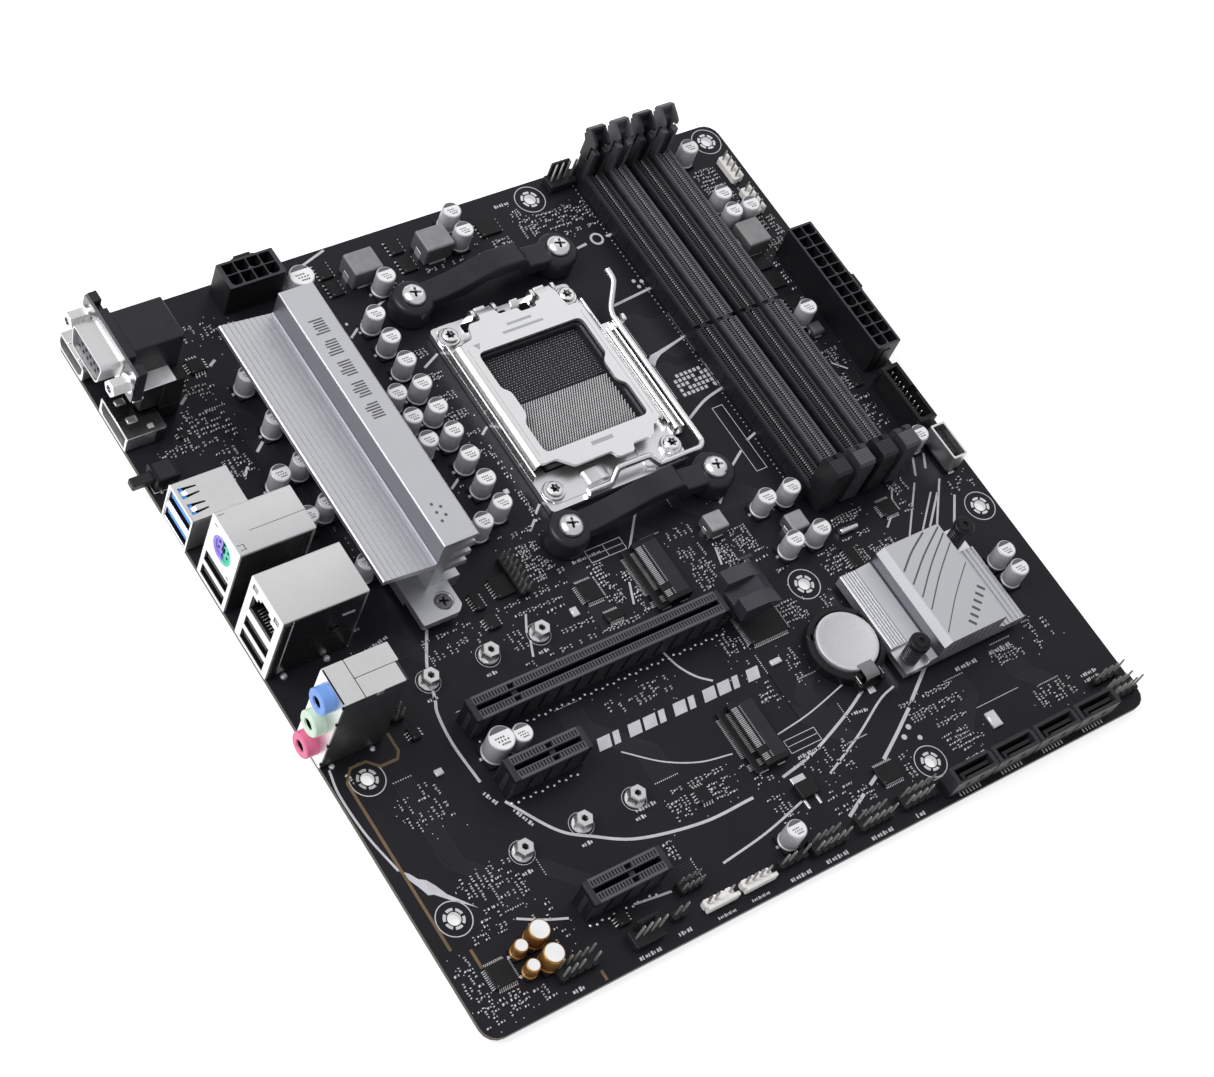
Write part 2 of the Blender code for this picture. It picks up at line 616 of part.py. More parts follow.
def clear_scene():
    for obj in list(bpy.data.objects):
        bpy.data.objects.remove(obj)


def rear_ports(shell):
    metal_port("hdmi_port", 12.2, 3.1, 18.1, 6.2, [(4.0, 17.2, 1.1, 5.4, 9.0)], shell)
    metal_port("displayport_port", 12.2, 28.7, 44.4, 6.6, [(29.5, 43.6, 1.2, 5.8, 9.0)], shell)
    usb3 = [(67.9, 79.7, 1.6, 6.4, 12.0), (67.9, 79.7, 9.2, 14.0, 12.0)]
    metal_port("usb3_stack", 16.9, 67.2, 80.4, 15.6, usb3, shell)
    ps2 = [(88.4, 100.8, 1.6, 6.4, 12.0), (88.4, 100.8, 8.4, 13.2, 12.0)]
    metal_port("ps2_usb_stack", 23.3, 87.0, 102.2, 29.8, ps2, shell)
    lan = [(111.0, 123.4, 1.6, 6.4, 12.0), (111.0, 123.4, 8.4, 13.2, 12.0), (111.2, 123.2, 16.4, 26.4, 13.0)]
    metal_port("lan_usb_stack", 26.5, 108.6, 125.6, 30.0, lan, shell)


def build():
    clear_scene()
    black = material("black_plastic", (0.012, 0.012, 0.014), 0.45, 0.0)
    grey = material("grey_plastic", (0.05, 0.05, 0.055), 0.45, 0.0)
    smoke = material("smoke_plastic", (0.05, 0.055, 0.065), 0.25, 0.0)
    steel = material("plated_steel", (0.72, 0.72, 0.71), 0.28, 1.0)
    shell = material("port_shell", (0.72, 0.72, 0.71), 0.3, 1.0)
    bright = material("bright_nickel", (0.82, 0.82, 0.81), 0.18, 1.0)
    alloy = material("satin_aluminium", (0.74, 0.74, 0.76), 0.38, 1.0)
    ferrite = material("ferrite_grey", (0.22, 0.22, 0.23), 0.55, 0.0)
    contact = material("socket_plastic", (0.03, 0.03, 0.035), 0.5, 0.0)

    board(material("solder_mask", (0.018, 0.017, 0.02), 0.42, 0.0))
    backplate(material("backplate_steel", (0.35, 0.35, 0.36), 0.4, 1.0))
    socket_body(contact)
    socket_frame(steel)
    load_plate(bright)
    load_lever(bright)
    socket_screws(bright)
    cooler_bracket("cooler_bracket_upper", CPU_Y - COOLER_DY / 2, black)
    cooler_bracket("cooler_bracket_lower", CPU_Y + COOLER_DY / 2, black)
    bracket_screws(bright)
    vrm_heatsink(alloy)
    heatsink_screw(bright)
    chipset_heatsink(alloy)
    chipset_chip(contact)
    push_pins(black)
    for i in range(4):
        x = DIMM_X0 + i * DIMM_PITCH
        shade = grey if i % 2 else black
        dimm_slot(i + 1, x, shade)
        dimm_latch(i + 1, x, shade)
    pcie_slot("pcie_x16_slot", 42.4, 131.0, PCIE_Y[0], 57.2, grey, True)
    pcie_latch(smoke)
    pcie_slot("pcie_x1_slot_1", 42.2, 68.2, PCIE_Y[1], 57.0, grey, False)
    pcie_slot("pcie_x1_slot_2", 42.2, 68.2, PCIE_Y[2], 57.0, grey, False)
    m2_socket(1, 117.0, 142.5, black)
    m2_socket(2, 112.8, 199.8, black)
    battery(black, bright)
    long_nub = box(241.0, 243.2, 78.0, 83.6, 8.0, 12.6)
    power_plug("power_24pin", 232.2, 241.8, 55.0, 106.6, 2, 12, long_nub, black)
    short_nub = box(56.6, 62.2, 0.8, 3.0, 8.0, 12.6)
    power_plug("power_8pin", 49.8, 69.0, 2.2, 11.8, 4, 2, short_nub, black)
    vga_port(black)
    rear_ports(shell)
    audio_stack(grey)
    flashback(black, black)
    for i in range(4):
        sata_port(i + 1, SATA_X0 + i * SATA_PITCH, grey)
    usb3_header(black)
    usbc_header(shell)
    fan_header(black)
    for i, spec in enumerate(CHOKES, 1):
        choke(i, *spec, ferrite)


build()
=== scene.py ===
"""Looks of the micro-ATX motherboard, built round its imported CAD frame.

Plan positions are millimetres from the board's rear edge (x) and top edge (y), and heights
are millimetres above the populated face, as on a board drawing. place() turns them into
the frame's metres. A piece that stands for a CAD node starts from span(node), or from the sizes
that the node was drawn with. Pieces are named in English words, and none carries lettering.
"""
import math
import random

import bmesh
import bpy
from mathutils import Matrix, Vector
from mathutils.geometry import tessellate_polygon


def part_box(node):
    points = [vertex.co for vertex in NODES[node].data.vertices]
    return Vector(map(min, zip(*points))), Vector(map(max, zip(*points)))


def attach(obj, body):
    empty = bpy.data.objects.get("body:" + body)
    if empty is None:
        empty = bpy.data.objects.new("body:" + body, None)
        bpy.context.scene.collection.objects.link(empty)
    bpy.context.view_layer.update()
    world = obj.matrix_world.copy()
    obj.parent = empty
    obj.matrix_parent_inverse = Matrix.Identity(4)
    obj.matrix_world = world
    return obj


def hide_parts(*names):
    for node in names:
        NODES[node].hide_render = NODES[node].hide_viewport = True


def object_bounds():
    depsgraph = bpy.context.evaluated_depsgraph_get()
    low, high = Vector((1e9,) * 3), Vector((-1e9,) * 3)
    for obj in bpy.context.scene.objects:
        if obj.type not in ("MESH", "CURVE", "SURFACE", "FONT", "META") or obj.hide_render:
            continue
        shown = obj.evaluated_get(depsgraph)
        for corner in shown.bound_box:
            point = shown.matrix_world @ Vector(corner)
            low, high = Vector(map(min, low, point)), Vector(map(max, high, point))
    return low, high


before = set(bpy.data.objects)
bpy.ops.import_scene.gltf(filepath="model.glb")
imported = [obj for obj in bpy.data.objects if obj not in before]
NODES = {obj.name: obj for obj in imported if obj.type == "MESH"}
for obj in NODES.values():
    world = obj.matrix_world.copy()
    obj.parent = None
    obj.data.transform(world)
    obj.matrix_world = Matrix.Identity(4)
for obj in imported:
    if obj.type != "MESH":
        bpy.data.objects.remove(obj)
CAD_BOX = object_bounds()

MM = 0.001
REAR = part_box("pcb")[0].x
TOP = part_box("pcb")[1].y
PAD_STEP = 0.05                # the hole pads stand this far proud, in mm
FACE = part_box("pcb")[1].z - PAD_STEP * MM
BOARD = 243.84                 # side of the square board
UNDER = -1.6                   # height of its underside
HAIR = 0.02                    # keeps two faces out of one plane, and looks inside their CAD node
INK = 0.03                     # thickness of printed lines
random.seed(7)


def place(x, y, z):
    return (REAR + x * MM, TOP - y * MM, FACE + z * MM)


def span(node):
    """A node's limits in board millimetres: x0, x1, y0, y1, z0, z1."""
    lo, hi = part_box(node)
    return ((lo.x - REAR) / MM, (hi.x - REAR) / MM, (TOP - hi.y) / MM, (TOP - lo.y) / MM,
            (lo.z - FACE) / MM, (hi.z - FACE) / MM)


# ---------------------------------------------------------------- shapes

# How a point (u, v) of an outline, w along the named axis, becomes (x, y, z)
PUT = {"x": lambda u, v, w: (w, u, v), "y": lambda u, v, w: (u, w, v), "z": lambda u, v, w: (u, v, w)}


def slab(x0, x1, y0, y1, z0, z1, c=0.0):
    """Block, with its edges chamfered by c."""
    if not c:
        verts = [(x, y, z) for z in (z0, z1) for x, y in ((x0, y0), (x1, y0), (x1, y1), (x0, y1))]
        return verts, [(3, 2, 1, 0), (4, 5, 6, 7), (0, 1, 5, 4), (1, 2, 6, 5), (2, 3, 7, 6), (3, 0, 4, 7)]
    ends = ((x0, x1), (y0, y1), (z0, z1))
    verts = []
    for corner in range(8):
        bits = [corner >> k & 1 for k in range(3)]
        for axis in range(3):
            inset = [0 if k == axis else (-c if bits[k] else c) for k in range(3)]
            verts.append(tuple(ends[k][bits[k]] + inset[k] for k in range(3)))
    faces = [(3 * corner, 3 * corner + 1, 3 * corner + 2) for corner in range(8)]
    for axis in range(3):
        u, w = (axis + 1) % 3, (axis + 2) % 3
        for side in (0, 1):
            faces.append([3 * (side << axis | a << u | b << w) + axis for a, b in ((0, 0), (1, 0), (1, 1), (0, 1))])
            for b in (0, 1):
                low = side << u | b << w
                high = low | 1 << axis
                faces.append([3 * low + u, 3 * high + u, 3 * high + w, 3 * low + w])
    return verts, faces


def loft(rings):
    """Closed skin through rings that have the same number of points."""
    n = len(rings[0])
    verts = [p for ring in rings for p in ring]
    faces = [tuple(range(n)), tuple((len(rings) - 1) * n + i for i in range(n))]
    for k in range(len(rings) - 1):
        for i in range(n):
            j = (i + 1) % n
            faces.append((k * n + i, k * n + j, k * n + n + j, k * n + n + i))
    return verts, faces


def prism(axis, outline, a, b, top=None):
    """Outline drawn from a to b along an axis; it lies in (x, y), (x, z) or (y, z)."""
    return loft([[PUT[axis](u, v, w) for u, v in ring] for ring, w in ((outline, a), (top or outline, b))])


def rect(x0, x1, y0, y1):
    return [(x0, y0), (x1, y0), (x1, y1), (x0, y1)]


def circle(cx, cy, r, n=24, start=0.0, sweep=360.0):
    """Points round a circle, or along an arc with both its ends."""
    steps = n if sweep == 360.0 else n - 1
    return [(cx + r * math.cos(math.radians(start + sweep * i / steps)),
             cy + r * math.sin(math.radians(start + sweep * i / steps))) for i in range(n)]


def turned(cu, cv, profile, n=24, axis="z"):
    """Turned body about an axis, from a list of (radius, position along the axis)."""
    return loft([[PUT[axis](u, v, w) for u, v in circle(cu, cv, r, n)] for r, w in profile])


def hollow(cu, cv, profile, n=24, axis="z"):
    """Turned ring: the profile closes on itself, so the middle stays open."""
    verts, _ = turned(cu, cv, profile, n, axis)
    m = len(profile)
    faces = []
    for k in range(m):
        for i in range(n):
            j = (i + 1) % n
            a, b = k * n, (k + 1) % m * n
            faces.append((a + i, a + j, b + j, b + i))
    return verts, faces


def rounded(x0, x1, y0, y1, r, n=4):
    """Rectangle with rounded corners, as an outline."""
    spots = [(x1 - r, y1 - r, 0), (x0 + r, y1 - r, 90), (x0 + r, y0 + r, 180), (x1 - r, y0 + r, 270)]
    return [p for cx, cy, a in spots for p in circle(cx, cy, r, n + 1, a, 90.0)]


def framed(outer, inner, z0, z1, axis="z"):
    """Flat ring between two outlines with the same number of points."""
    n = len(outer)
    verts = [PUT[axis](u, v, w) for w in (z0, z1) for ring in (outer, inner) for u, v in ring]
    faces = []
    for i in range(n):
        j = (i + 1) % n
        a, b, c, d = i, j, n + j, n + i
        faces += [(a, b, c, d), (2 * n + a, 2 * n + b, 2 * n + c, 2 * n + d),
                  (a, b, 2 * n + b, 2 * n + a), (d, c, 2 * n + c, 2 * n + d)]
    return verts, faces


def ring(x, y, wide, thin, n, a, b, axis="z"):
    """Flat round ring between two radii, from a to b along an axis."""
    return framed(circle(x, y, wide, n), circle(x, y, thin, n), a, b, axis)


def smooth_line(points, steps=6):
    """Catmull-Rom curve through points of any dimension."""
    pts = [Vector(p) for p in points]
    pts = [2 * pts[0] - pts[1], *pts, 2 * pts[-1] - pts[-2]]
    out = []
    for i in range(1, len(pts) - 2):
        a, b, c, d = pts[i - 1:i + 3]
        for k in range(steps):
            t = k / steps
            out.append(0.5 * (2 * b + (c - a) * t + (2 * a - 5 * b + 4 * c - d) * t * t
                              + (3 * b - a - 3 * c + d) * t * t * t))
    return [tuple(p) for p in out] + [tuple(pts[-2])]


def wire(path, r, sides=8):
    """Round wire along a path of points."""
    pts = [Vector(p) for p in path]
    rings, side = [], None
    for i, p in enumerate(pts):
        t = (pts[min(i + 1, len(pts) - 1)] - pts[max(i - 1, 0)]).normalized()
        side = t.orthogonal() if side is None else side - side.dot(t) * t
        side.normalize()
        up = t.cross(side)
        rings.append([tuple(p + r * (math.cos(a) * side + math.sin(a) * up))
                      for a in (2 * math.pi * k / sides for k in range(sides))])
    return loft(rings)


def ribbon(points, width, z=0.0, h=0.03):
    """Flat strip lying on the board along a line of (x, y) points."""
    pts = [Vector(p) for p in points]
    rings = []
    for i, p in enumerate(pts):
        t = (pts[min(i + 1, len(pts) - 1)] - pts[max(i - 1, 0)]).normalized()
        off = Vector((-t.y, t.x)) * width / 2
        a, b = p + off, p - off
        rings.append([(a.x, a.y, z), (a.x, a.y, z + h), (b.x, b.y, z + h), (b.x, b.y, z)])
    return loft(rings)


class Piece:
    """Shapes in board millimetres, gathered into one object that rides on a body."""

    def __init__(self, name, body="board"):
        self.name = name
        self.body = body
        self.verts = []
        self.faces = []
        self.slots = []
        self.mats = []

    def add(self, shape, mat, spot=None):
        """spot is (x, y, z, turn in degrees) for a shape drawn about its own origin."""
        verts, faces = shape
        if spot:
            x, y, z, turn = spot
            c, s = math.cos(math.radians(turn)), math.sin(math.radians(turn))
            verts = [(x + c * a - s * b, y + s * a + c * b, z + h) for a, b, h in verts]
        if mat not in self.mats:
            self.mats.append(mat)
        k = len(self.verts)
        self.verts += verts
        self.faces += [[i + k for i in f] for f in faces]
        self.slots += [self.mats.index(mat)] * len(faces)

    def slabs(self, mat, c, *rows):
        """Blocks of one material, all chamfered by c."""
        for row in rows:
            self.add(slab(*row, c), mat)

    def make(self, smooth=32, bevel=0.0, segments=2, stands_for=()):
        mesh = bpy.data.meshes.new(self.name)
        mesh.from_pydata([place(*v) for v in self.verts], [], self.faces)
        for mat in self.mats:
            mesh.materials.append(mat)
        mesh.polygons.foreach_set("material_index", self.slots)
        bm = bmesh.new()
        bm.from_mesh(mesh)
        bmesh.ops.recalc_face_normals(bm, faces=bm.faces)
        bm.to_mesh(mesh)
        bm.free()
        mesh.shade_smooth()
        mesh.set_sharp_from_angle(angle=math.radians(smooth))
        obj = bpy.data.objects.new(self.name, mesh)
        bpy.context.scene.collection.objects.link(obj)
        round_edges(obj, bevel, segments)
        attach(obj, self.body)
        if stands_for:
            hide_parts(*stands_for)


def round_edges(obj, width, segments=2):
    """Rounds the edges sharper than 35 degrees, if the width (in mm) isn't zero."""
    if width:
        mod = obj.modifiers.new("edges", "BEVEL")
        mod.width = width * MM
        mod.segments = segments
        mod.limit_method = "ANGLE"
        mod.angle_limit = math.radians(35)


def soften(node, mat, bevel=0.0):
    """Gives a CAD node its finish, and rounds its edges without touching its mesh."""
    obj = NODES[node]
    obj.data.materials.clear()
    obj.data.materials.append(mat)
    weld = obj.modifiers.new("weld", "WELD")
    weld.merge_threshold = 0.000001
    round_edges(obj, bevel)


# ---------------------------------------------------------------- finishes

def finish(name, color, rough, metal=0.0, scale=2.0, tone=0.12, gloss=0.08, bump=0.05, stretch=(1, 1, 1),
           **fixed):
    """Principled finish whose colour, gloss and height vary with grain; scale is in grains per mm."""
    mat = bpy.data.materials.new(name)
    mat.use_nodes = True
    tree = mat.node_tree
    shader = tree.nodes["Principled BSDF"]
    shader.inputs["Metallic"].default_value = metal
    for socket, value in fixed.items():
        shader.inputs[socket.replace("_", " ")].default_value = value
    coords = tree.nodes.new("ShaderNodeTexCoord")
    mapping = tree.nodes.new("ShaderNodeMapping")
    mapping.inputs["Scale"].default_value = [s / MM for s in stretch]
    tree.links.new(coords.outputs["Object"], mapping.inputs["Vector"])
    fine = noise(tree, mapping, scale, 3)
    wide = noise(tree, mapping, scale * 0.06, 2)
    both = tree.nodes.new("ShaderNodeMath")
    both.operation = "ADD"
    tree.links.new(fine.outputs["Fac"], both.inputs[0])
    tree.links.new(wide.outputs["Fac"], both.inputs[1])
    blend = ranged(tree, both.outputs[0], 0.7, 1.3, 0.0, 1.0)
    mix = tree.nodes.new("ShaderNodeMix")
    mix.data_type = "RGBA"
    mix.inputs["A"].default_value = (*[c * (1 - tone) for c in color], 1)
    mix.inputs["B"].default_value = (*[min(c * (1 + tone), 1) for c in color], 1)
    tree.links.new(blend.outputs[0], mix.inputs["Factor"])
    tree.links.new(mix.outputs["Result"], shader.inputs["Base Color"])
    shine = ranged(tree, both.outputs[0], 0.7, 1.3, rough - gloss, rough + gloss)
    tree.links.new(shine.outputs[0], shader.inputs["Roughness"])
    if bump:
        relief = tree.nodes.new("ShaderNodeBump")
        relief.inputs["Strength"].default_value = bump
        relief.inputs["Distance"].default_value = 0.1 * MM
        tree.links.new(fine.outputs["Fac"], relief.inputs["Height"])
        tree.links.new(relief.outputs["Normal"], shader.inputs["Normal"])
    mat["tree_mix"] = mix.name
    return mat


def noise(tree, mapping, scale, detail):
    node = tree.nodes.new("ShaderNodeTexNoise")
    node.inputs["Scale"].default_value = scale
    node.inputs["Detail"].default_value = detail
    tree.links.new(mapping.outputs["Vector"], node.inputs["Vector"])
    return node


def ranged(tree, source, a, b, c, d):
    node = tree.nodes.new("ShaderNodeMapRange")
    for k, v in zip(("From Min", "From Max", "To Min", "To Max"), (a, b, c, d)):
        node.inputs[k].default_value = v
    tree.links.new(source, node.inputs["Value"])
    return node


def mask_finish():
    """Near-black solder mask on top and bottom, bare laminate on the cut edge."""
    mat = finish("solder_mask", (0.0088, 0.008, 0.0112), 0.42, scale=1.5, tone=0.1, gloss=0.05, bump=0.04,
                 Specular_IOR_Level=0.22)
    tree = mat.node_tree
    shader = tree.nodes["Principled BSDF"]
    geometry = tree.nodes.new("ShaderNodeNewGeometry")
    split = tree.nodes.new("ShaderNodeSeparateXYZ")
    tree.links.new(geometry.outputs["True Normal"], split.inputs[0])
    side = tree.nodes.new("ShaderNodeMath")
    side.operation = "ABSOLUTE"
    tree.links.new(split.outputs["Z"], side.inputs[0])
    edge = ranged(tree, side.outputs[0], 0.4, 0.6, 1.0, 0.0)
    mix = tree.nodes.new("ShaderNodeMix")
    mix.data_type = "RGBA"
    mix.inputs["B"].default_value = (0.07, 0.055, 0.042, 1)
    tree.links.new(edge.outputs[0], mix.inputs["Factor"])
    tree.links.new(tree.nodes[mat["tree_mix"]].outputs["Result"], mix.inputs["A"])
    tree.links.new(mix.outputs["Result"], shader.inputs["Base Color"])
    return mat


MASK = mask_finish()
SILK = finish("board_print", (0.47, 0.47, 0.5), 0.6, scale=6, tone=0.12)
TIN = finish("solder_tin", (0.72, 0.72, 0.73), 0.38, 0.8, scale=3, tone=0.1, gloss=0.08, bump=0.04)
LEAD = finish("lead_tin", (0.68, 0.68, 0.69), 0.38, 0.8, scale=8, tone=0.1, gloss=0.08)
COPPER = finish("bare_trace", (0.13, 0.085, 0.04), 0.4, scale=4, tone=0.2)
NICKEL = finish("bright_nickel", (0.84, 0.84, 0.845), 0.26, 1.0, scale=0.8, tone=0.03, gloss=0.03, bump=0.004)
PLATE = finish("satin_plate", (0.86, 0.86, 0.865), 0.33, 1.0, scale=0.5, tone=0.02, gloss=0.03, bump=0.003)
STEEL = finish("plated_steel", (0.78, 0.78, 0.79), 0.3, 1.0, scale=0.6, tone=0.04, gloss=0.04, bump=0.004)
SHELL = finish("tinned_shell", (0.79, 0.79, 0.79), 0.36, 1.0, scale=0.8, tone=0.02, gloss=0.03, bump=0.003)
ALLOY = finish("satin_aluminium", (0.63, 0.635, 0.66), 0.45, 1.0, scale=2, tone=0.015, gloss=0.02, bump=0.005)
# dark copy of the aluminium: painted shade on the heatsinks' upright walls turned from the light
WALL_SHADE = finish("shaded_aluminium", (0.15, 0.15, 0.168), 0.45, 1.0, scale=3, tone=0.08, gloss=0.04, bump=0.02,
              stretch=(1, 0.05, 1))
GROOVE = finish("groove_shadow", (0.46, 0.46, 0.49), 0.5, 0.9, scale=3, tone=0.1, bump=0.01)
# pale non-metal copy of the aluminium: painted highlight on the chipset heatsink's bevel
SLOPE_HIGHLIGHT = finish("slope_painted_highlight", (0.5, 0.505, 0.53), 0.6, 0.0, scale=2, tone=0.02, gloss=0.02, bump=0.005)
# brighter milled aluminium, used as painted highlight on the groove edges and the bright bands of the heatsinks
MILLED_HIGHLIGHT = finish("milled_aluminium_and_highlight", (0.8, 0.8, 0.82), 0.34, 1.0, scale=4, tone=0.05, gloss=0.08, bump=0.06,
             stretch=(1, 0.1, 1))
PRINT = finish("dark_print", (0.07, 0.07, 0.08), 0.55, scale=6, tone=0.2)
BLACK = finish("black_plastic", (0.007, 0.007, 0.0082), 0.42, scale=5, tone=0.15, gloss=0.06, bump=0.08,
               Specular_IOR_Level=0.25)
SATIN = finish("satin_black", (0.0155, 0.0155, 0.018), 0.34, scale=4, tone=0.12, gloss=0.05, bump=0.06,
               Specular_IOR_Level=0.3)
PIT = finish("contact_shadow", (0.003, 0.003, 0.003), 0.7, scale=4, tone=0.3, Specular_IOR_Level=0.1)
DARK_SLOT = finish("slot_black", (0.011, 0.011, 0.0125), 0.45, scale=5, tone=0.12, bump=0.08,
                   Specular_IOR_Level=0.25)
GREY_SLOT = finish("slot_grey", (0.065, 0.065, 0.074), 0.45, scale=5, tone=0.1, bump=0.08,
                   Specular_IOR_Level=0.35)
MID_SLOT = finish("slot_mid", (0.034, 0.034, 0.04), 0.45, scale=5, tone=0.1, bump=0.08,
                  Specular_IOR_Level=0.35)
SMOKE = finish("smoke_plastic", (0.03, 0.031, 0.038), 0.16, scale=0.3, tone=0.1, gloss=0.02, bump=0, Alpha=0.92)
FERRITE = finish("ferrite_grey", (0.2, 0.198, 0.203), 0.6, scale=7, tone=0.15, gloss=0.08, bump=0.06)
CHOKE_SIDE = finish("ferrite_side", (0.075, 0.074, 0.078), 0.6, scale=7, tone=0.15, gloss=0.08, bump=0.06)
PALE_BLOCK = finish("ferrite_pale", (0.27, 0.27, 0.275), 0.55, scale=7, tone=0.15, gloss=0.08, bump=0.06)
CAN = finish("capacitor_can", (0.5, 0.5, 0.53), 0.5, 0.45, scale=1.5, tone=0.04, gloss=0.04, bump=0.01)
CAN_TOP = finish("capacitor_top", (0.8, 0.8, 0.8), 0.5, 0.35, scale=4, tone=0.05, bump=0.04)
CAN_MARK = finish("capacitor_mark", (0.1, 0.1, 0.11), 0.5, scale=5, tone=0.15)
GOLD_CAN = finish("gold_can", (0.36, 0.18, 0.05), 0.38, 0.7, scale=2, tone=0.08, gloss=0.05, bump=0.01)
CHIP = finish("chip_black", (0.0085, 0.0085, 0.0095), 0.5, scale=6, tone=0.2, bump=0.05, Specular_IOR_Level=0.22)
CERAMIC = finish("chip_ceramic", (0.06, 0.048, 0.04), 0.5, scale=6, tone=0.2)
PAD = finish("chip_ends", (0.62, 0.62, 0.64), 0.42, 0.5, scale=6, tone=0.2, bump=0.05)
NYLON = finish("white_nylon", (0.72, 0.71, 0.68), 0.5, scale=3, tone=0.06)
CELL = finish("coin_cell", (0.66, 0.66, 0.675), 0.5, 0.75, scale=0.8, tone=0.04, gloss=0.05, bump=0.02)
BLUE, PURPLE, TEAL, SKY, MINT, PINK = (
    finish(name, color, rough, scale=4, tone=0.08) for name, color, rough in (
        ("usb_blue", (0.035, 0.23, 0.68), 0.45), ("jack_purple", (0.24, 0.18, 0.62), 0.4),
        ("jack_teal", (0.05, 0.5, 0.36), 0.4), ("jack_blue", (0.13, 0.27, 0.62), 0.42),
        ("jack_mint", (0.5, 0.62, 0.5), 0.42), ("jack_pink", (0.62, 0.12, 0.24), 0.42)))
# darker copy of the shell steel: painted shade on port sides, lids, inner springs and plates in shadow
SHADED_SHELL = finish("shaded_shell", (0.22, 0.22, 0.225), 0.25, 1.0, scale=0.6, tone=0.08, gloss=0.03, bump=0.003)
VGA_GREY = finish("vga_face_grey", (0.05, 0.05, 0.065), 0.45, scale=4, tone=0.1)
AUDIO_GREY = finish("audio_body_grey", (0.02, 0.02, 0.022), 0.4, scale=4, tone=0.1)
LENS = finish("lamp_window", (0.32, 0.32, 0.31), 0.2, scale=4, tone=0.1, Transmission_Weight=0.3)
# black spring steel, also used as painted shade on contacts deep in the slot grooves and the network jack
SPRING_AND_SHADE = finish("black_spring_and_painted_shade", (0.05, 0.05, 0.055), 0.25, 0.8, scale=4, tone=0.1)
# grey marks: the etched marks on the load plate, and painted shade lines in the creases of its rolled edges
MARK_AND_SHADE_LINE = finish("etched_mark_and_shade_line", (0.5, 0.5, 0.51), 0.5, 0.9, scale=4, tone=0.06)
CONTACT = finish("contact_bright", (0.82, 0.82, 0.83), 0.4, 0.5, scale=6, tone=0.1)
# darker copy of the contact finish: painted shade
SHADED_CONTACT = finish("contact_painted_shade", (0.42, 0.42, 0.43), 0.4, 0.5, scale=6, tone=0.1)
PIN = finish("header_pin", (0.42, 0.41, 0.39), 0.35, 0.75, scale=6, tone=0.1)
# lighter copies of the slot plastics: painted highlight on rails, rungs, rims and tops
RUNG = finish("slot_rung", (0.08, 0.08, 0.09), 0.45, scale=5, tone=0.08, bump=0.02, Specular_IOR_Level=0.3)
DARK_RUNG = finish("slot_rung_dark", (0.024, 0.024, 0.027), 0.45, scale=5, tone=0.08, bump=0.02,
                   Specular_IOR_Level=0.3)
TRACE = finish("mask_over_trace", (0.021, 0.0195, 0.025), 0.4, scale=2, tone=0.1, bump=0.01,
               Specular_IOR_Level=0.3)
FRAME_GREY = finish("backplate_steel", (0.3, 0.3, 0.31), 0.4, 1.0, scale=1.5, tone=0.08)


# ---------------------------------------------------------------- board and print

HOLES = [(165.10, 6.35), (237.49, 6.35), (237.49, 163.83), (165.10, 163.83),
         (165.10, 229.87), (10.16, 163.83), (10.16, 209.55)]
STANDOFFS = [(41.5, 144.8), (61.8, 144.8), (79.4, 144.8), (37.5, 201.2), (57.4, 201.2), (75.7, 201.2)]

# Printed lines: (width, points), each smoothed through its points
ORBITS = [
    (0.9, [(50, 130), (43.5, 141), (40.5, 150), (38.5, 155), (37.5, 165), (38.3, 178)]),
    (0.9, [(41.5, 186), (50, 199.5), (58, 205.5), (70, 212), (90, 216), (108, 216)]),
    (0.9, [(120, 214.5), (133, 212), (150, 206), (160, 201.5)]),
    (0.7, [(110.5, 165.5), (112, 171), (115, 176), (119, 179.5)]),
    (0.45, [(80.5, 187.2), (90, 195), (100, 199.8), (110.5, 201.8)]),
    (0.45, [(126.5, 202.5), (140, 200.8), (156.5, 197)]),
    (0.7, [(88, 229), (105, 226.8), (122, 223)]),
    (0.7, [(134, 219.7), (150, 213), (163, 206.5), (170, 204.5)]),
    (1.1, [(131, 233.5), (139.5, 229.5)]),
    (1.1, [(143, 228), (147.5, 226)]),
    (1.1, [(152, 223), (160, 218.5), (170, 212.5)]),
    (1.1, [(172, 211), (184, 203)]),
    (0.7, [(2, 157), (0.7, 165), (1.3, 178), (3.8, 191)]),
    (0.7, [(25.5, 217), (32, 220.5), (38.7, 223.3)]),
    (0.7, [(57.5, 228), (69.5, 229.5)]),
]
DASHES = [
    (0.9, [(22.5, 35.5), (26, 33)]), (0.9, [(37, 26.5), (39.5, 25)]), (0.9, [(27.5, 64.5), (30, 62)]),
    (0.9, [(35, 58.5), (38.3, 56)]), (0.8, [(82, 33), (90, 28), (97, 25), (106, 21.5)]),
    (0.8, [(82, 3.5), (91, 0.7)]), (0.8, [(82, 92), (87, 89)]), (0.8, [(96, 114), (99.8, 111)]),
    (0.8, [(101, 109.5), (104, 107)]), (0.8, [(101, 79), (104, 77)]), (0.8, [(97.5, 51), (104, 48)]),
    (0.7, [(79.5, 137.5), (76.3, 143)]), (0.7, [(76, 145.5), (73.8, 150.5)]),
    (0.7, [(129.8, 121.5), (120.5, 132)]), (0.7, [(114.5, 141), (111.5, 148)]),
    (0.7, [(146.5, 141.5), (144.8, 147.5)]), (0.8, [(157, 129), (162, 125)]),
    (0.8, [(169, 119), (175, 115.5)]), (0.8, [(179, 113), (184, 111.5)]),
    (0.9, [(166, 99), (175, 95), (184, 93)]), (0.9, [(167, 53), (184, 51.3)]),
    (0.9, [(169, 29), (173, 28.5)]), (0.9, [(181, 28.2), (184.5, 28)]), (0.6, [(224, 99), (228, 103)]),
    (0.7, [(232.8, 113), (233.3, 120), (232.5, 127.5)]),
]
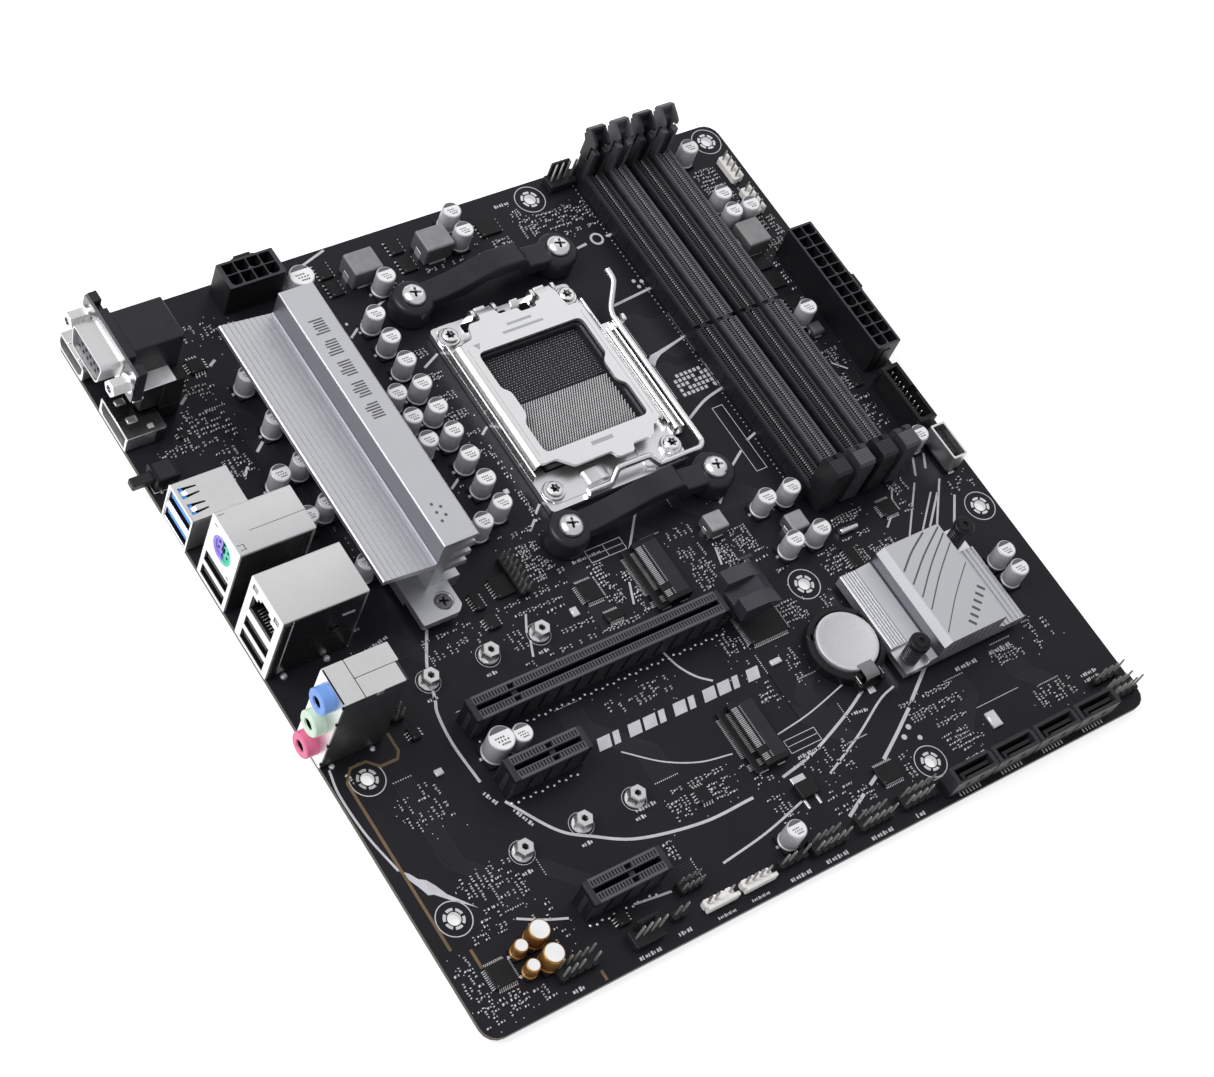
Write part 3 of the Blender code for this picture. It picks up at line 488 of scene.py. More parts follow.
RAYS = [(0.8, [(228, 139), (224, 146)]), (0.8, [(232, 140), (229, 145)]), (0.6, [(214, 146), (211, 150)]),
        (0.6, [(207, 155), (203, 158)]), (0.6, [(222, 148), (208, 163.5)]), (0.6, [(225, 153), (213.5, 163.5)]),
        (0.7, [(227, 154), (216.5, 163.5)]), (0.7, [(231, 150), (219.5, 163.5)]),
        (0.8, [(232, 157), (224, 167)])]
DOTS = [(179.5, 47, 0.7), (182, 48, 0.7), (180, 49.5, 0.7), (165.8, 217.6, 0.9), (162.5, 219.8, 0.9),
        (167, 222, 0.8), (83.3, 28, 0.5)]
AUDIO_LINES = [[(4.5, 217), (4.5, 162.5), (7.5, 159), (12.5, 159), (15.5, 162), (21, 162), (22.5, 160), (22.5, 154)],
               [(9.5, 219), (9.5, 225)], [(31, 233.5), (36, 233.5), (38.5, 235.5)], [(38.5, 240), (38.5, 243)]]


def outline_box(piece, x0, x1, y0, y1, w=0.25):
    """Printed rectangle, drawn as a thin frame."""
    piece.add(framed(rect(x0, x1, y0, y1), rect(x0 + w, x1 - w, y0 + w, y1 - w), 0.0, INK), SILK)


def printed_lines():
    p = Piece("printed_lines")
    for width, points in ORBITS + DASHES + RAYS:
        line = smooth_line(points, 8) if len(points) > 2 else points
        p.add(ribbon(line, width), SILK)
    for x, y, r in DOTS:
        p.add(turned(x, y, [(r, 0), (r, 0.03)], 16), SILK)
    swell = [(3.8, 190.8), (6.0, 193.0), (7.4, 195.4), (9.2, 196.6), (10.6, 198.9), (12.2, 202.6), (18, 209.8),
             (11.6, 203.9), (9.0, 201.2), (7.4, 200.6), (6.6, 198.2), (5.2, 195.0)]
    p.add(prism("z", swell, 0.0, INK), SILK)
    flare = [(165.6, 75.6), (168.0, 73.8), (171.0, 73.4), (177, 72.4), (184, 71.1), (184, 71.8), (177, 73.4),
             (171.4, 74.8), (168.6, 76.4), (167, 78)]
    p.add(prism("z", flare, 0.0, INK), SILK)
    p.add(ring(177.5, 28, 2.4, 1.6, 24, 0, INK), SILK)
    return p


def printed_boxes(p):
    outline_box(p, 175.2, 179.4, 98.5, 124.0, 0.22)
    outline_box(p, 107.5, 120.5, 126.5, 131.0, 0.22)
    p.slabs(SILK, 0, (107.5, 120.5, 128.7, 128.9, 0, INK), (113.9, 114.1, 126.5, 131.0, 0, INK))
    outline_box(p, 127.0, 138.5, 205.0, 209.5, 0.22)
    p.add(slab(127.0, 138.5, 207.1, 207.3, 0, INK), SILK)
    outline_box(p, 0.8, 8.8, 52.6, 60.0, 0.25)
    for x0, x1, y in ((162.0, 183.0, 235.2), (190.0, 207.0, 221.6), (43.5, 66.5, 156.4)):
        p.add(slab(x0, x1, y, y + 0.2, 0, INK), SILK)


def hole_marks():
    """Printed ring, plated arcs and wall of each mounting hole."""
    rings = Piece("hole_rings")
    plating = Piece("hole_plating")
    for x, y in HOLES:
        rings.add(ring(x, y, 5.3, 5.0, 48, 0, INK), SILK)
        plating.add(ring(x, y, 1.97, 1.9, 32, -1.62, 0.07), TIN)
        for k in range(6):
            start = 60 * k + 8
            arc = circle(x, y, 3.15, 8, start, 44) + circle(x, y, 2.3, 8, start + 44, -44)
            plating.add(prism("z", arc, 0.03, 0.09), TIN)
            plating.add(prism("z", arc, -1.69, -1.63), TIN)
    rings.make()
    plating.make()


def m2_standoffs():
    p = Piece("m2_standoffs")
    for x, y in STANDOFFS:
        p.add(ring(x, y, 3.75, 3.6, 32, 0, 0.04), SILK)
        p.add(hollow(x, y, [(1.0, 0.05), (3.05, 0.05), (3.1, 0.35), (2.9, 0.6), (1.0, 0.6)], 32), SHELL)
        wall = [(2.6, 0.5), (2.8, 0.7), (2.8, 3.6), (2.5, 4.0), (1.2, 4.0), (1.0, 3.8), (1.0, 0.6), (1.2, 0.5)]
        p.add(hollow(x, y, wall, 6), SHELL)
        p.add(turned(x, y, [(0.98, 0.6), (0.98, 0.9)], 12), PIT)
    p.make(smooth=20)


def exposed_audio_trace():
    p = Piece("audio_divider")
    for line in AUDIO_LINES:
        p.add(ribbon(line, 0.9, 0, 0.035), COPPER)
    p.make()


# ---------------------------------------------------------------- capacitors

CAN_SIZE, BIG_SIZE = (3.1, 9.0), (4.0, 9.6)   # radius, height
TOP_BARS = 4                   # printed bars in each row on a capacitor's top
CAPS = {
    "vrm_right": [(88.9, 32.5 + 9.15 * i) for i in range(9)],
    "vrm_left": [(80.0, 60.2), (80.0, 69.4), (80.0, 78.3), (80.2, 109.1)],
    "vrm_top": [(99.4, 21.2), (132.4, 6.6), (132.2, 14.5)],
    "vrm_rear": [(41.8, 38.2), (41.8, 54.4), (41.8, 70.2), (41.4, 85.5), (41.4, 107.6), (33.5, 72.0), (34.0, 87.4)],
    "memory": [(223.5, 11.4), (223.4, 31.8), (222.8, 39.1), (229.9, 39.1), (223.2, 81.5)],
    "memory_end": [(166.8, 136.4), (176.4, 136.4), (166.2, 152.5), (176.5, 152.5), (228.6, 136.7)],
    "edge": [(228.4, 183.3), (228.4, 190.4), (53.1, 173.0), (108.7, 232.0)],
}
BIG_CAPS = [(74.5, 12.5), (46.4, 172.2)]
GOLD_CAPS = [(26.1, 224.4, 3.1), (26.1, 231.8, 3.1), (20.0, 225.6, 2.1), (20.0, 231.8, 2.1)]


def segment(x, y, r, cut, n=14):
    """Round segment on the top-edge side of a capacitor."""
    half = math.degrees(math.acos(cut / r))
    return circle(x, y, r, n, 270 - half, 2 * half)


def capacitor(p, x, y, r, h, gold):
    """Can on a square base; gold ones carry no print."""
    base = rounded(x - r - 0.1, x + r + 0.1, y - r - 0.1, y + r + 0.1, 0.6, 2)
    p.add(prism("z", base, 0.05, 1.1), BLACK)
    for a, b in ((x - r - 0.7, x - r + 0.6), (x + r - 0.6, x + r + 0.7)):
        p.add(slab(a, b, y - 0.45, y + 0.45, 0.0, 0.35), TIN)
    side = [(r + 0.12, 1.1), (r + 0.16, 1.3), (r + 0.12, 1.55), (r - 0.12, 1.75), (r - 0.16, 2.0), (r - 0.05, 2.25),
            (r, 2.5), (r, h - 0.45), (r - 0.06, h - 0.2), (r - 0.2, h - 0.05), (r - 0.38, h)]
    p.add(turned(x, y, side, 36), GOLD_CAN if gold else CAN)
    flat = r - 0.4
    p.add(turned(x, y, [(flat, h - 0.1), (flat, h + 0.03)], 36), CAN_TOP)
    if gold:
        return
    p.add(prism("z", segment(x, y, flat - 0.02, flat * 0.5), h, h + 0.05), CAN_MARK)
    for k, (a, b) in enumerate(((-0.62, 0.3), (-0.5, 0.62), (-0.3, 0.5))):
        row = y + flat * (-0.12 + 0.3 * k)
        for i in range(TOP_BARS):
            u = x + flat * (a + (b - a) * i / TOP_BARS)
            p.add(slab(u, u + flat * 0.16, row, row + flat * 0.15, h, h + 0.045), CAN_MARK)


def capacitors():
    sized = [(name, [(x, y, *CAN_SIZE) for x, y in spots]) for name, spots in CAPS.items()]
    sized.append(("large", [(x, y, *BIG_SIZE) for x, y in BIG_CAPS]))
    sized.append(("audio", [(x, y, r, 7.6 if r > 3 else 5.8) for x, y, r in GOLD_CAPS]))
    for name, spots in sized:
        p = Piece("capacitors_" + name)
        for spot in spots:
            capacitor(p, *spot, gold=name == "audio")
        p.make(smooth=40)


# ---------------------------------------------------------------- chokes

SMALL_CHOKES = [("choke_slot", 145.8, 152.5, 132.3, 138.8, 5.0), ("choke_memory", 170.2, 176.8, 142.5, 148.9, 5.0),
                ("choke_edge", 223.6, 228.0, 84.2, 88.7, 3.0)]


def choke_block(p, x0, x1, y0, y1, h, mat):
    """Moulded inductor: dark sides, a paler cap and foot, and its terminals."""
    p.add(slab(x0, x1, y0, y1, 0.6, h - 0.3, 0.4), CHOKE_SIDE)
    p.add(slab(x0 + 0.15, x1 - 0.15, y0 + 0.15, y1 - 0.15, h - 0.8, h, 0.35), mat)
    p.add(slab(x0 + 0.4, x1 - 0.4, y0 + 0.4, y1 - 0.4, 0.15, 0.8), mat)
    mid, side = (x0 + x1) / 2, (y0 + y1) / 2
    p.add(slab(x0 - 0.08, x0 + 0.3, side - h * 0.2, side + h * 0.2, 0.1, h * 0.42, 0.06), TIN)
    w = (x1 - x0) * 0.3
    for a, b in ((y0 - 0.25, y0 + 0.9), (y1 - 0.9, y1 + 0.25)):
        p.add(slab(mid - w, mid + w, a, b, 0.0, 0.6, 0.1), TIN)


def chokes():
    for i in (1, 2, 3):
        x0, x1, y0, y1, _, h = span("choke_%d" % i)
        p = Piece("choke_block_%d" % i)
        choke_block(p, x0, x1, y0, y1, h - 0.02, FERRITE)
        p.make(stands_for=["choke_%d" % i])
    for name, x0, x1, y0, y1, h in SMALL_CHOKES:
        p = Piece(name)
        choke_block(p, x0, x1, y0, y1, h, PALE_BLOCK if h > 4 else CHOKE_SIDE)
        p.make()


# ---------------------------------------------------------------- chips

POWER_CHIPS = [(83.9, 88.9, 4.6, 11.1), (83.9, 88.9, 12.1, 18.1), (109.9, 114.9, 4.6, 10.6),
               (109.9, 115.4, 12.1, 18.1), (141.3, 149.3, 8.6, 14.6), (221.2, 228.2, 53.5, 59.5),
               (221.2, 228.2, 61.5, 67.5), (223.2, 229.2, 71.5, 77.5), (225.2, 229.2, 103.5, 110.4)]
GULL_CHIPS = [(74.4, 80.4, 123.4, 130.4, "x", 1.2), (66.5, 69.4, 125.4, 131.4, "x", 1.4),
              (66.5, 70.4, 133.4, 138.4, "x", 1.4), (27.5, 30.5, 155.4, 159.4, "x", 1.2),
              (50.0, 53.5, 228.3, 232.2, "x", 1.4), (183.3, 187.3, 158.4, 166.4, "x", 1.3),
              (97.9, 104.4, 135.4, 142.4, "xy", 1.0), (100.4, 106.4, 147.4, 150.4, "y", 1.1),
              (136.8, 150.8, 163.9, 174.9, "xy", 1.3), (9.5, 16.5, 225.3, 232.2, "xy", 1.3),
              (92.4, 96.9, 206.3, 211.3, "xy", 0.9), (204.2, 210.2, 149.4, 154.9, "xy", 0.9),
              (146.3, 154.3, 224.3, 230.3, "y", 1.2), (30.5, 35.5, 22.6, 27.6, "xy", 0.9),
              (16.5, 19.5, 43.6, 46.6, "xy", 0.8)]
PALE_PARTS = [(91.9, 94.2, 141.6, 144.6), (27.8, 30.3, 169.6, 171.6), (138.4, 142.2, 181.4, 183.2),
              (190.4, 194.1, 224.5, 229.9), (95.6, 97.4, 98.7, 100.5)]


def gull_leads(p, x0, x1, y0, y1, sides, h):
    """Bent leads along a chip's sides."""
    pitch, w = 0.95, 0.36
    if x1 - x0 > 5.5 and "y" in sides:
        pitch, w = 0.62, 0.26
    bend = [(0.0, h * 0.55), (0.35, h * 0.55), (0.55, 0.12), (1.0, 0.12), (1.0, 0.0), (0.45, 0.0), (0.25, h * 0.42),
            (0.0, h * 0.42)]
    for side in sides:
        axis, a, b, low, high = ("y", y0, y1, x0, x1) if side == "x" else ("x", x0, x1, y0, y1)
        count = max(int((b - a - 0.6) / pitch), 1)
        for i in range(count):
            u = (a + b) / 2 + (i - (count - 1) / 2) * pitch
            for edge, out in ((high, 1), (low, -1)):
                p.add(prism(axis, [(edge + out * s, z) for s, z in bend], u - w / 2, u + w / 2), LEAD)


def pin_one_dot(p, x0, y1, h):
    """Dot in a chip's corner."""
    p.add(turned(x0 + 0.7, y1 - 0.7, [(0.28, h - 0.02), (0.28, h + 0.01)], 12), PRINT)


def chips():
    p = Piece("power_chips")
    for x0, x1, y0, y1 in POWER_CHIPS:
        p.add(slab(x0 + 0.3, x1 - 0.3, y0, y1, 0.1, 1.05, 0.12), CHIP)
        pin_one_dot(p, x0 + 0.3, y1, 1.05)
        steps = int((y1 - y0) / 1.27)
        for i in range(steps):
            u = y0 + (y1 - y0) * (i + 0.5) / steps
            for a, b in ((x0 - 0.35, x0 + 0.5), (x1 - 0.5, x1 + 0.35)):
                p.add(slab(a, b, u - 0.28, u + 0.28, 0.0, 0.25, 0.05), LEAD)
    p.make()
    p = Piece("lead_chips")
    for x0, x1, y0, y1, sides, h in GULL_CHIPS:
        p.add(slab(x0, x1, y0, y1, 0.15, h, 0.15), CHIP)
        pin_one_dot(p, x0, y1, h)
        gull_leads(p, x0, x1, y0, y1, sides, h)
    p.make()
    p = Piece("crystals")
    for x0, x1, y0, y1 in PALE_PARTS:
        p.add(slab(x0, x1, y0, y1, 0.1, 0.9, 0.12), PAD)
        p.add(slab(x0 + 0.35, x1 - 0.35, y0 + 0.35, y1 - 0.35, 0.85, 0.98, 0.05), STEEL)
    p.add(turned(153.6, 1.25, [(0.9, 186.3), (1.15, 186.6), (1.15, 192.6), (0.85, 193.0)], 20, "x"), NICKEL)
    p.make(smooth=40)
    p = Piece("regulator")
    p.add(slab(120.4, 126.8, 218.3, 223.4, 0.1, 2.2, 0.25), CHIP)
    p.add(slab(121.2, 126.0, 216.0, 218.6, 0.05, 0.6, 0.1), TIN)
    for x in (121.4, 125.6):
        p.add(slab(x - 0.4, x + 0.4, 223.2, 226.4, 0.0, 0.55, 0.1), TIN)
    p.make()


# ---------------------------------------------------------------- small surface parts

# x0, x1, y0, y1, column pitch, row pitch, share that is filled, kind
FIELDS = [
    (24, 46, 11, 17, 1.9, 2.0, 0.55, "v"), (25, 38, 28, 36, 2.0, 1.5, 0.6, "h"), (14, 24, 38, 42, 1.6, 1.7, 0.7, "v"),
    (21, 34, 40, 52, 2.1, 1.6, 0.6, "h"), (10, 22, 48, 52, 1.5, 1.8, 0.75, "v"), (23, 32, 54, 66, 1.8, 1.7, 0.6, "v"),
    (17.6, 26, 60, 66, 1.5, 1.6, 0.7, "v"), (24.5, 31, 90, 106, 1.6, 1.7, 0.6, "h"),
    (28, 38, 92, 104, 1.9, 1.9, 0.35, "v"), (27.5, 33, 110, 124, 1.5, 1.6, 0.65, "h"),
    (93.6, 102.5, 44.5, 47.5, 1.3, 1.5, 0.9, "v"), (93.6, 102, 53.6, 57, 1.3, 1.6, 0.9, "v"),
    (93.6, 102, 61.5, 64.5, 1.3, 1.5, 0.9, "v"), (93.6, 102, 68.5, 71.5, 1.3, 1.5, 0.9, "v"),
    (93.6, 101.5, 76.5, 79, 1.3, 1.6, 0.9, "v"), (93.6, 101.5, 83, 86.5, 1.3, 1.6, 0.9, "v"),
    (84.5, 87, 91, 99, 1.5, 2.6, 0.6, "v"), (99.8, 101.8, 86, 116, 1.2, 1.05, 0.6, "h"),
    (81, 87.5, 111.5, 114.5, 1.45, 1.7, 1.0, "v"), (89.5, 98, 112.5, 115, 1.3, 1.6, 0.85, "v"),
    (88, 92, 117, 131, 1.0, 1.1, 0.8, "h"), (93, 97.5, 117, 129, 1.2, 1.2, 0.7, "h"),
    (46, 64, 131, 134.5, 1.5, 1.7, 0.55, "v"), (46, 65, 137, 140.5, 1.5, 1.7, 0.55, "v"),
    (70, 97, 132.5, 133.9, 1.5, 1.6, 0.7, "v"), (76, 93, 136.2, 137.8, 1.4, 1.6, 1.0, "v"),
    (84, 92, 138.8, 142, 1.6, 1.7, 0.6, "h"), (70, 76, 141, 148, 1.7, 1.6, 0.7, "v"),
    (84, 99, 146.5, 149.4, 1.5, 1.6, 0.7, "v"), (105, 110.5, 131, 147, 1.3, 1.25, 0.6, "h"),
    (99, 112, 151.4, 154.6, 1.35, 1.6, 0.75, "v"), (70, 97, 151.2, 154.2, 1.7, 1.7, 0.6, "v"),
    (113.2, 116.6, 137, 152, 1.4, 1.25, 0.6, "h"), (133.6, 144, 131, 136, 2.0, 1.7, 0.75, "v"),
    (133.6, 143, 138, 155, 1.5, 1.7, 0.6, "v"), (144.4, 155, 127.6, 130.2, 1.6, 1.9, 1.0, "v"),
    (146, 152, 140, 150, 1.7, 1.15, 0.85, "h"), (153, 160, 138, 152, 1.4, 1.5, 0.7, "v"),
    (158, 163, 156, 160, 1.3, 1.4, 0.7, "v"), (155, 162, 8, 21, 1.4, 1.5, 0.7, "v"),
    (163, 182, 12.5, 21, 1.7, 1.5, 0.65, "h"), (168, 184, 21.5, 24.5, 1.5, 1.7, 0.6, "v"),
    (143, 150, 16.5, 21, 1.4, 1.6, 0.8, "v"), (224, 233, 16, 27.5, 1.5, 1.45, 0.75, "h"),
    (231, 237, 27, 49, 1.5, 1.6, 0.65, "h"), (228, 231, 44, 53, 1.4, 1.6, 0.7, "v"),
    (221.5, 231, 92, 101, 1.6, 1.8, 0.6, "v"), (221.5, 229, 112, 127, 1.7, 1.6, 0.65, "h"),
    (186, 199, 148, 151.5, 1.3, 1.5, 0.75, "v"), (186, 202, 155.5, 158, 1.2, 1.5, 0.6, "v"),
    (211.5, 219, 141, 150, 1.5, 1.4, 0.7, "v"), (212, 217, 152, 157.5, 1.3, 1.4, 0.8, "h"),
    (232, 239, 152, 157, 1.5, 1.5, 0.6, "v"), (240, 242.6, 136, 160, 1.3, 1.4, 0.5, "v"),
    (175, 183, 156.5, 166.5, 1.5, 1.45, 0.7, "h"), (188.5, 202, 161, 166, 1.2, 1.4, 0.65, "v"),
    (166.5, 172, 167.6, 178, 1.5, 1.6, 0.6, "v"), (150.6, 161, 166, 178, 1.2, 1.25, 0.7, "h"),
    (128, 136, 160, 176, 1.5, 1.5, 0.55, "v"), (128.5, 135, 178, 195, 1.5, 1.6, 0.55, "h"),
    (143, 149, 178, 192, 1.6, 1.7, 0.45, "v"), (84, 108, 171.5, 178, 1.9, 1.9, 0.5, "v"),
    (13, 27, 171, 186, 2.0, 1.9, 0.5, "v"), (16.5, 34, 200.5, 214, 1.7, 1.7, 0.55, "v"),
    (11, 24, 213, 220, 1.7, 1.6, 0.5, "h"), (1.5, 8, 220, 241, 1.5, 1.6, 0.55, "v"),
    (18.5, 25, 236, 242, 1.4, 1.6, 0.65, "v"), (9, 18, 234, 241, 1.3, 1.5, 0.6, "h"),
    (29, 38, 216, 231, 1.9, 1.8, 0.3, "h"), (75, 79, 216, 224, 1.4, 1.6, 0.8, "v"),
    (86, 106, 203.5, 205.6, 1.5, 1.7, 0.8, "v"), (98, 106, 206.5, 213, 1.4, 1.5, 0.7, "h"),
    (83, 91.5, 206.5, 213, 1.5, 1.6, 0.7, "v"), (110, 119, 205.5, 214, 1.6, 1.7, 0.45, "h"),
    (127, 146, 211.5, 222, 1.8, 1.8, 0.5, "v"), (111, 118, 218, 230, 1.6, 1.7, 0.5, "v"),
    (128, 144, 224, 233, 1.7, 1.7, 0.5, "h"), (156, 162, 224, 232, 1.5, 1.6, 0.7, "v"),
    (167, 190, 210.5, 212.5, 1.05, 1.4, 0.85, "v"), (168, 188, 214.5, 217.5, 1.3, 1.5, 0.85, "v"),
    (174, 187, 220.5, 223, 1.5, 1.6, 0.95, "v"), (174, 188, 224.5, 233, 1.6, 1.5, 0.65, "h"),
    (205, 218, 208.5, 214, 1.5, 1.7, 0.7, "v"), (210, 226, 225, 231.5, 1.5, 1.5, 0.65, "v"),
    (222.5, 226, 203.5, 215.5, 1.4, 1.35, 0.8, "h"), (229.5, 232, 203.5, 214, 1.4, 1.35, 0.8, "h"),
    (222.8, 226, 176.5, 178.5, 1.3, 1.5, 0.8, "v"), (39, 53, 88, 102, 2.2, 2.1, 0.2, "v"),
    (116, 131, 183.5, 187.4, 1.4, 1.5, 0.5, "v"), (44, 53, 14.5, 24, 1.6, 1.7, 0.6, "v"),
    (103.5, 110, 19.5, 24.5, 1.5, 1.6, 0.6, "v"), (117, 131, 18.8, 22, 1.4, 1.6, 0.7, "v"),
    (134.5, 140, 4, 18, 1.4, 1.6, 0.6, "h"), (96, 101, 118, 132, 1.4, 1.5, 0.5, "v"),
    (231.5, 241.2, 49.6, 55.8, 1.5, 1.5, 0.8, "v"), (229.4, 231.6, 56, 80, 1.3, 1.4, 0.75, "h"),
    (238, 241.4, 40.5, 49, 1.5, 1.4, 0.7, "h"), (220.5, 226, 103, 111, 1.5, 1.5, 0.7, "v"),
]
KEEP_OUT_NODES = [n for n in NODES if n not in ("pcb", "cpu_backplate", "load_lever")]


def taken_spots():
    """Boxes on the board that small parts stay clear of."""
    boxes = [span(n)[:4] for n in KEEP_OUT_NODES if span(n)[4] < 4.0]
    boxes.append((103.5, 165.5, 40.0, 113.0))
    for spots in CAPS.values():
        boxes += [(x - 3.7, x + 3.7, y - 3.3, y + 3.3) for x, y in spots]
    boxes += [(x - 4.6, x + 4.6, y - 4.2, y + 4.2) for x, y in BIG_CAPS]
    boxes += [(x - r, x + r, y - r, y + r) for x, y, r in GOLD_CAPS]
    boxes += [(x - 5.3, x + 5.3, y - 5.3, y + 5.3) for x, y in HOLES]
    boxes += [(x - 3.5, x + 3.5, y - 3.5, y + 3.5) for x, y in STANDOFFS]
    boxes += [c[:4] for c in POWER_CHIPS + PALE_PARTS + GULL_CHIPS]
    boxes += [(x0, x1, y0 - 0.4, y1 + 0.4) for _, x0, x1, y0, y1, _ in SMALL_CHOKES]
    boxes += [(120, 127, 215, 227), (186, 193.5, 152, 155), (73, 138, 180.2, 185.2)]
    return boxes


def small_part(p, x, y, kind):
    """Chip resistor or capacitor: two tinned ends, a body and its two pads."""
    long, wide = (0.95, 0.46) if random.random() < 0.78 else (1.25, 0.66)
    body = CHIP if random.random() < 0.6 else CERAMIC
    tall = 0.35 if body is CHIP else 0.5
    turn = 0 if kind == "h" else 90
    a, b = long / 2, wide / 2
    p.add(slab(-a + 0.22, a - 0.22, -b, b, 0.04, tall), body, (x, y, 0, turn))
    for s in (-1, 1):
        p.add(slab(min(s * a, s * (a - 0.22)), max(s * a, s * (a - 0.22)), -b, b, 0.02, tall + 0.03), PAD,
              (x, y, 0, turn))
        near, far = s * (a - 0.1), s * (a + 0.15)
        p.add(slab(min(near, far), max(near, far), -b, b, 0.0, 0.14), PAD, (x, y, 0, turn))


def small_parts():
    boxes = taken_spots()
    margin = 0.75
    groups = {}
    for x0, x1, y0, y1, dx, dy, share, kind in FIELDS:
        region = "small_parts_%d_%d" % ((x0 + x1) // 123, (y0 + y1) // 123)
        p = groups.setdefault(region, Piece(region))
        rows = max(int((y1 - y0) / dy), 1)
        cols = max(int((x1 - x0) / dx), 1)
        for j in range(rows):
            for i in range(cols):
                if random.random() > share:
                    continue
                x = x0 + (i + 0.5) * dx + random.uniform(-0.18, 0.18)
                y = y0 + (j + 0.5) * dy + random.uniform(-0.18, 0.18)
                if any(a - margin < x < b + margin and c - margin < y < d + margin for a, b, c, d in boxes):
                    continue
                small_part(p, x, y, kind if random.random() < 0.78 else "vh"[kind == "v"])
    for p in groups.values():
        p.make()


# ---------------------------------------------------------------- traces, vias and label marks

# Buses: count, pitch, points of the first trace, direction (x, y) in which the others follow
BUSES = [
    (26, 0.62, [(166.6, 58), (172, 58), (176, 62), (183, 62)], (0, 1)),
    (22, 0.62, [(166.6, 78), (171, 78), (174, 81), (183, 81)], (0, 1)),
    (14, 0.55, [(104, 116), (104, 124), (98, 130), (98, 152)], (1, 0)),
    (12, 0.6, [(122, 116), (122, 126), (126, 130)], (1, 0)),
    (14, 0.6, [(142, 116), (150, 124), (166, 124), (172, 130)], (0, 1)),
    (12, 0.7, [(70, 168), (70, 176), (84, 190), (84, 200)], (1, 0)),
    (10, 0.7, [(136, 178), (136, 196), (142, 202), (150, 202)], (0, 1)),
    (12, 0.6, [(150, 190), (146, 194), (146, 208), (152, 214)], (-1, 0)),
    (10, 0.8, [(186, 210), (186, 218), (176, 228)], (1, 0)),
    (12, 0.7, [(208, 206), (208, 218), (214, 224)], (1, 0)),
    (9, 0.8, [(28, 40), (34, 46), (34, 84)], (1, 0)),
    (10, 0.8, [(26, 128), (40, 128), (46, 134)], (0, 1)),
    (8, 0.8, [(16, 168), (16, 196), (24, 204), (24, 214)], (1, 0)),
    (8, 0.8, [(40, 204), (60, 224), (80, 224)], (0, 1)),
    (9, 0.8, [(218, 90), (218, 132), (212, 138)], (1, 0)),
    (8, 0.7, [(72, 16), (72, 22), (66, 28)], (1, 0)),
]


def traces():
    """Groups of parallel copper lines that show faintly through the mask, and the vias they end in."""
    p = Piece("mask_traces")
    v = Piece("vias")
    for count, pitch, points, (dx, dy) in BUSES:
        for k in range(count):
            line = [(x + dx * pitch * k, y + dy * pitch * k) for x, y in points]
            p.add(ribbon(line, 0.2, 0.0, 0.012), TRACE)
            for x, y in (line[0], line[-1]):
                v.add(turned(x, y, [(0.2, 0.0), (0.2, 0.03)], 8), TIN)
    for x0, x1, y0, y1, *_ in FIELDS:
        for _ in range(int((x1 - x0) * (y1 - y0) * 0.1)):
            x, y = random.uniform(x0 - 2, x1 + 2), random.uniform(y0 - 2, y1 + 2)
            on_board = 0.5 < min(x, y) and max(x, y) < BOARD - 0.5
            if on_board and all(math.hypot(x - a, y - b) > 3.4 for a, b in HOLES):
                v.add(turned(x, y, [(0.17, 0.0), (0.17, 0.02)], 6), TIN)
    p.make()
    v.make()


# Plain bars where a board carries its labels: x, y, number of bars, direction in degrees, height
LABELS = [(8.6, 49.6, 2, 0, 1.2), (11, 61.6, 9, 0, 1.2), (30, 128.6, 9, -12, 1.2), (38, 181, 5, 68, 1.3),
          (43, 189, 7, 68, 1.3), (74, 204, 7, 0, 1.3), (6, 160, 5, 70, 1.2), (102, 128, 12, 0, 1.1),
          (128, 210.8, 10, 0, 1.1), (152, 206, 7, 8, 1.1), (192, 207.6, 8, 0, 1.4), (206, 207.6, 8, 0, 1.4),
          (176, 233.8, 8, 0, 1.2), (28, 241.2, 4, 0, 1.3), (50, 241.6, 8, 0, 1.2), (64, 240.6, 5, 0, 1.2),
          (77, 241.8, 9, 0, 0.9), (89, 241.8, 9, 0, 0.9), (103, 241.6, 8, 0, 1.2), (116, 241.6, 8, 0, 1.3),
          (133, 241.6, 8, 0, 1.3), (150, 241.6, 3, 0, 1.5), (229, 226.8, 7, 0, 1.2), (229, 228.8, 7, 0, 1.2),
          (141, 21.8, 6, 0, 1.2), (152, 4.5, 6, 0, 1.2), (38, 149.6, 4, 0, 1.2), (58, 149.6, 4, 0, 1.2),
          (76, 149.6, 4, 0, 1.2), (34, 206.3, 4, 0, 1.2), (54, 206.3, 4, 0, 1.2), (72.5, 206.3, 4, 0, 1.2)]


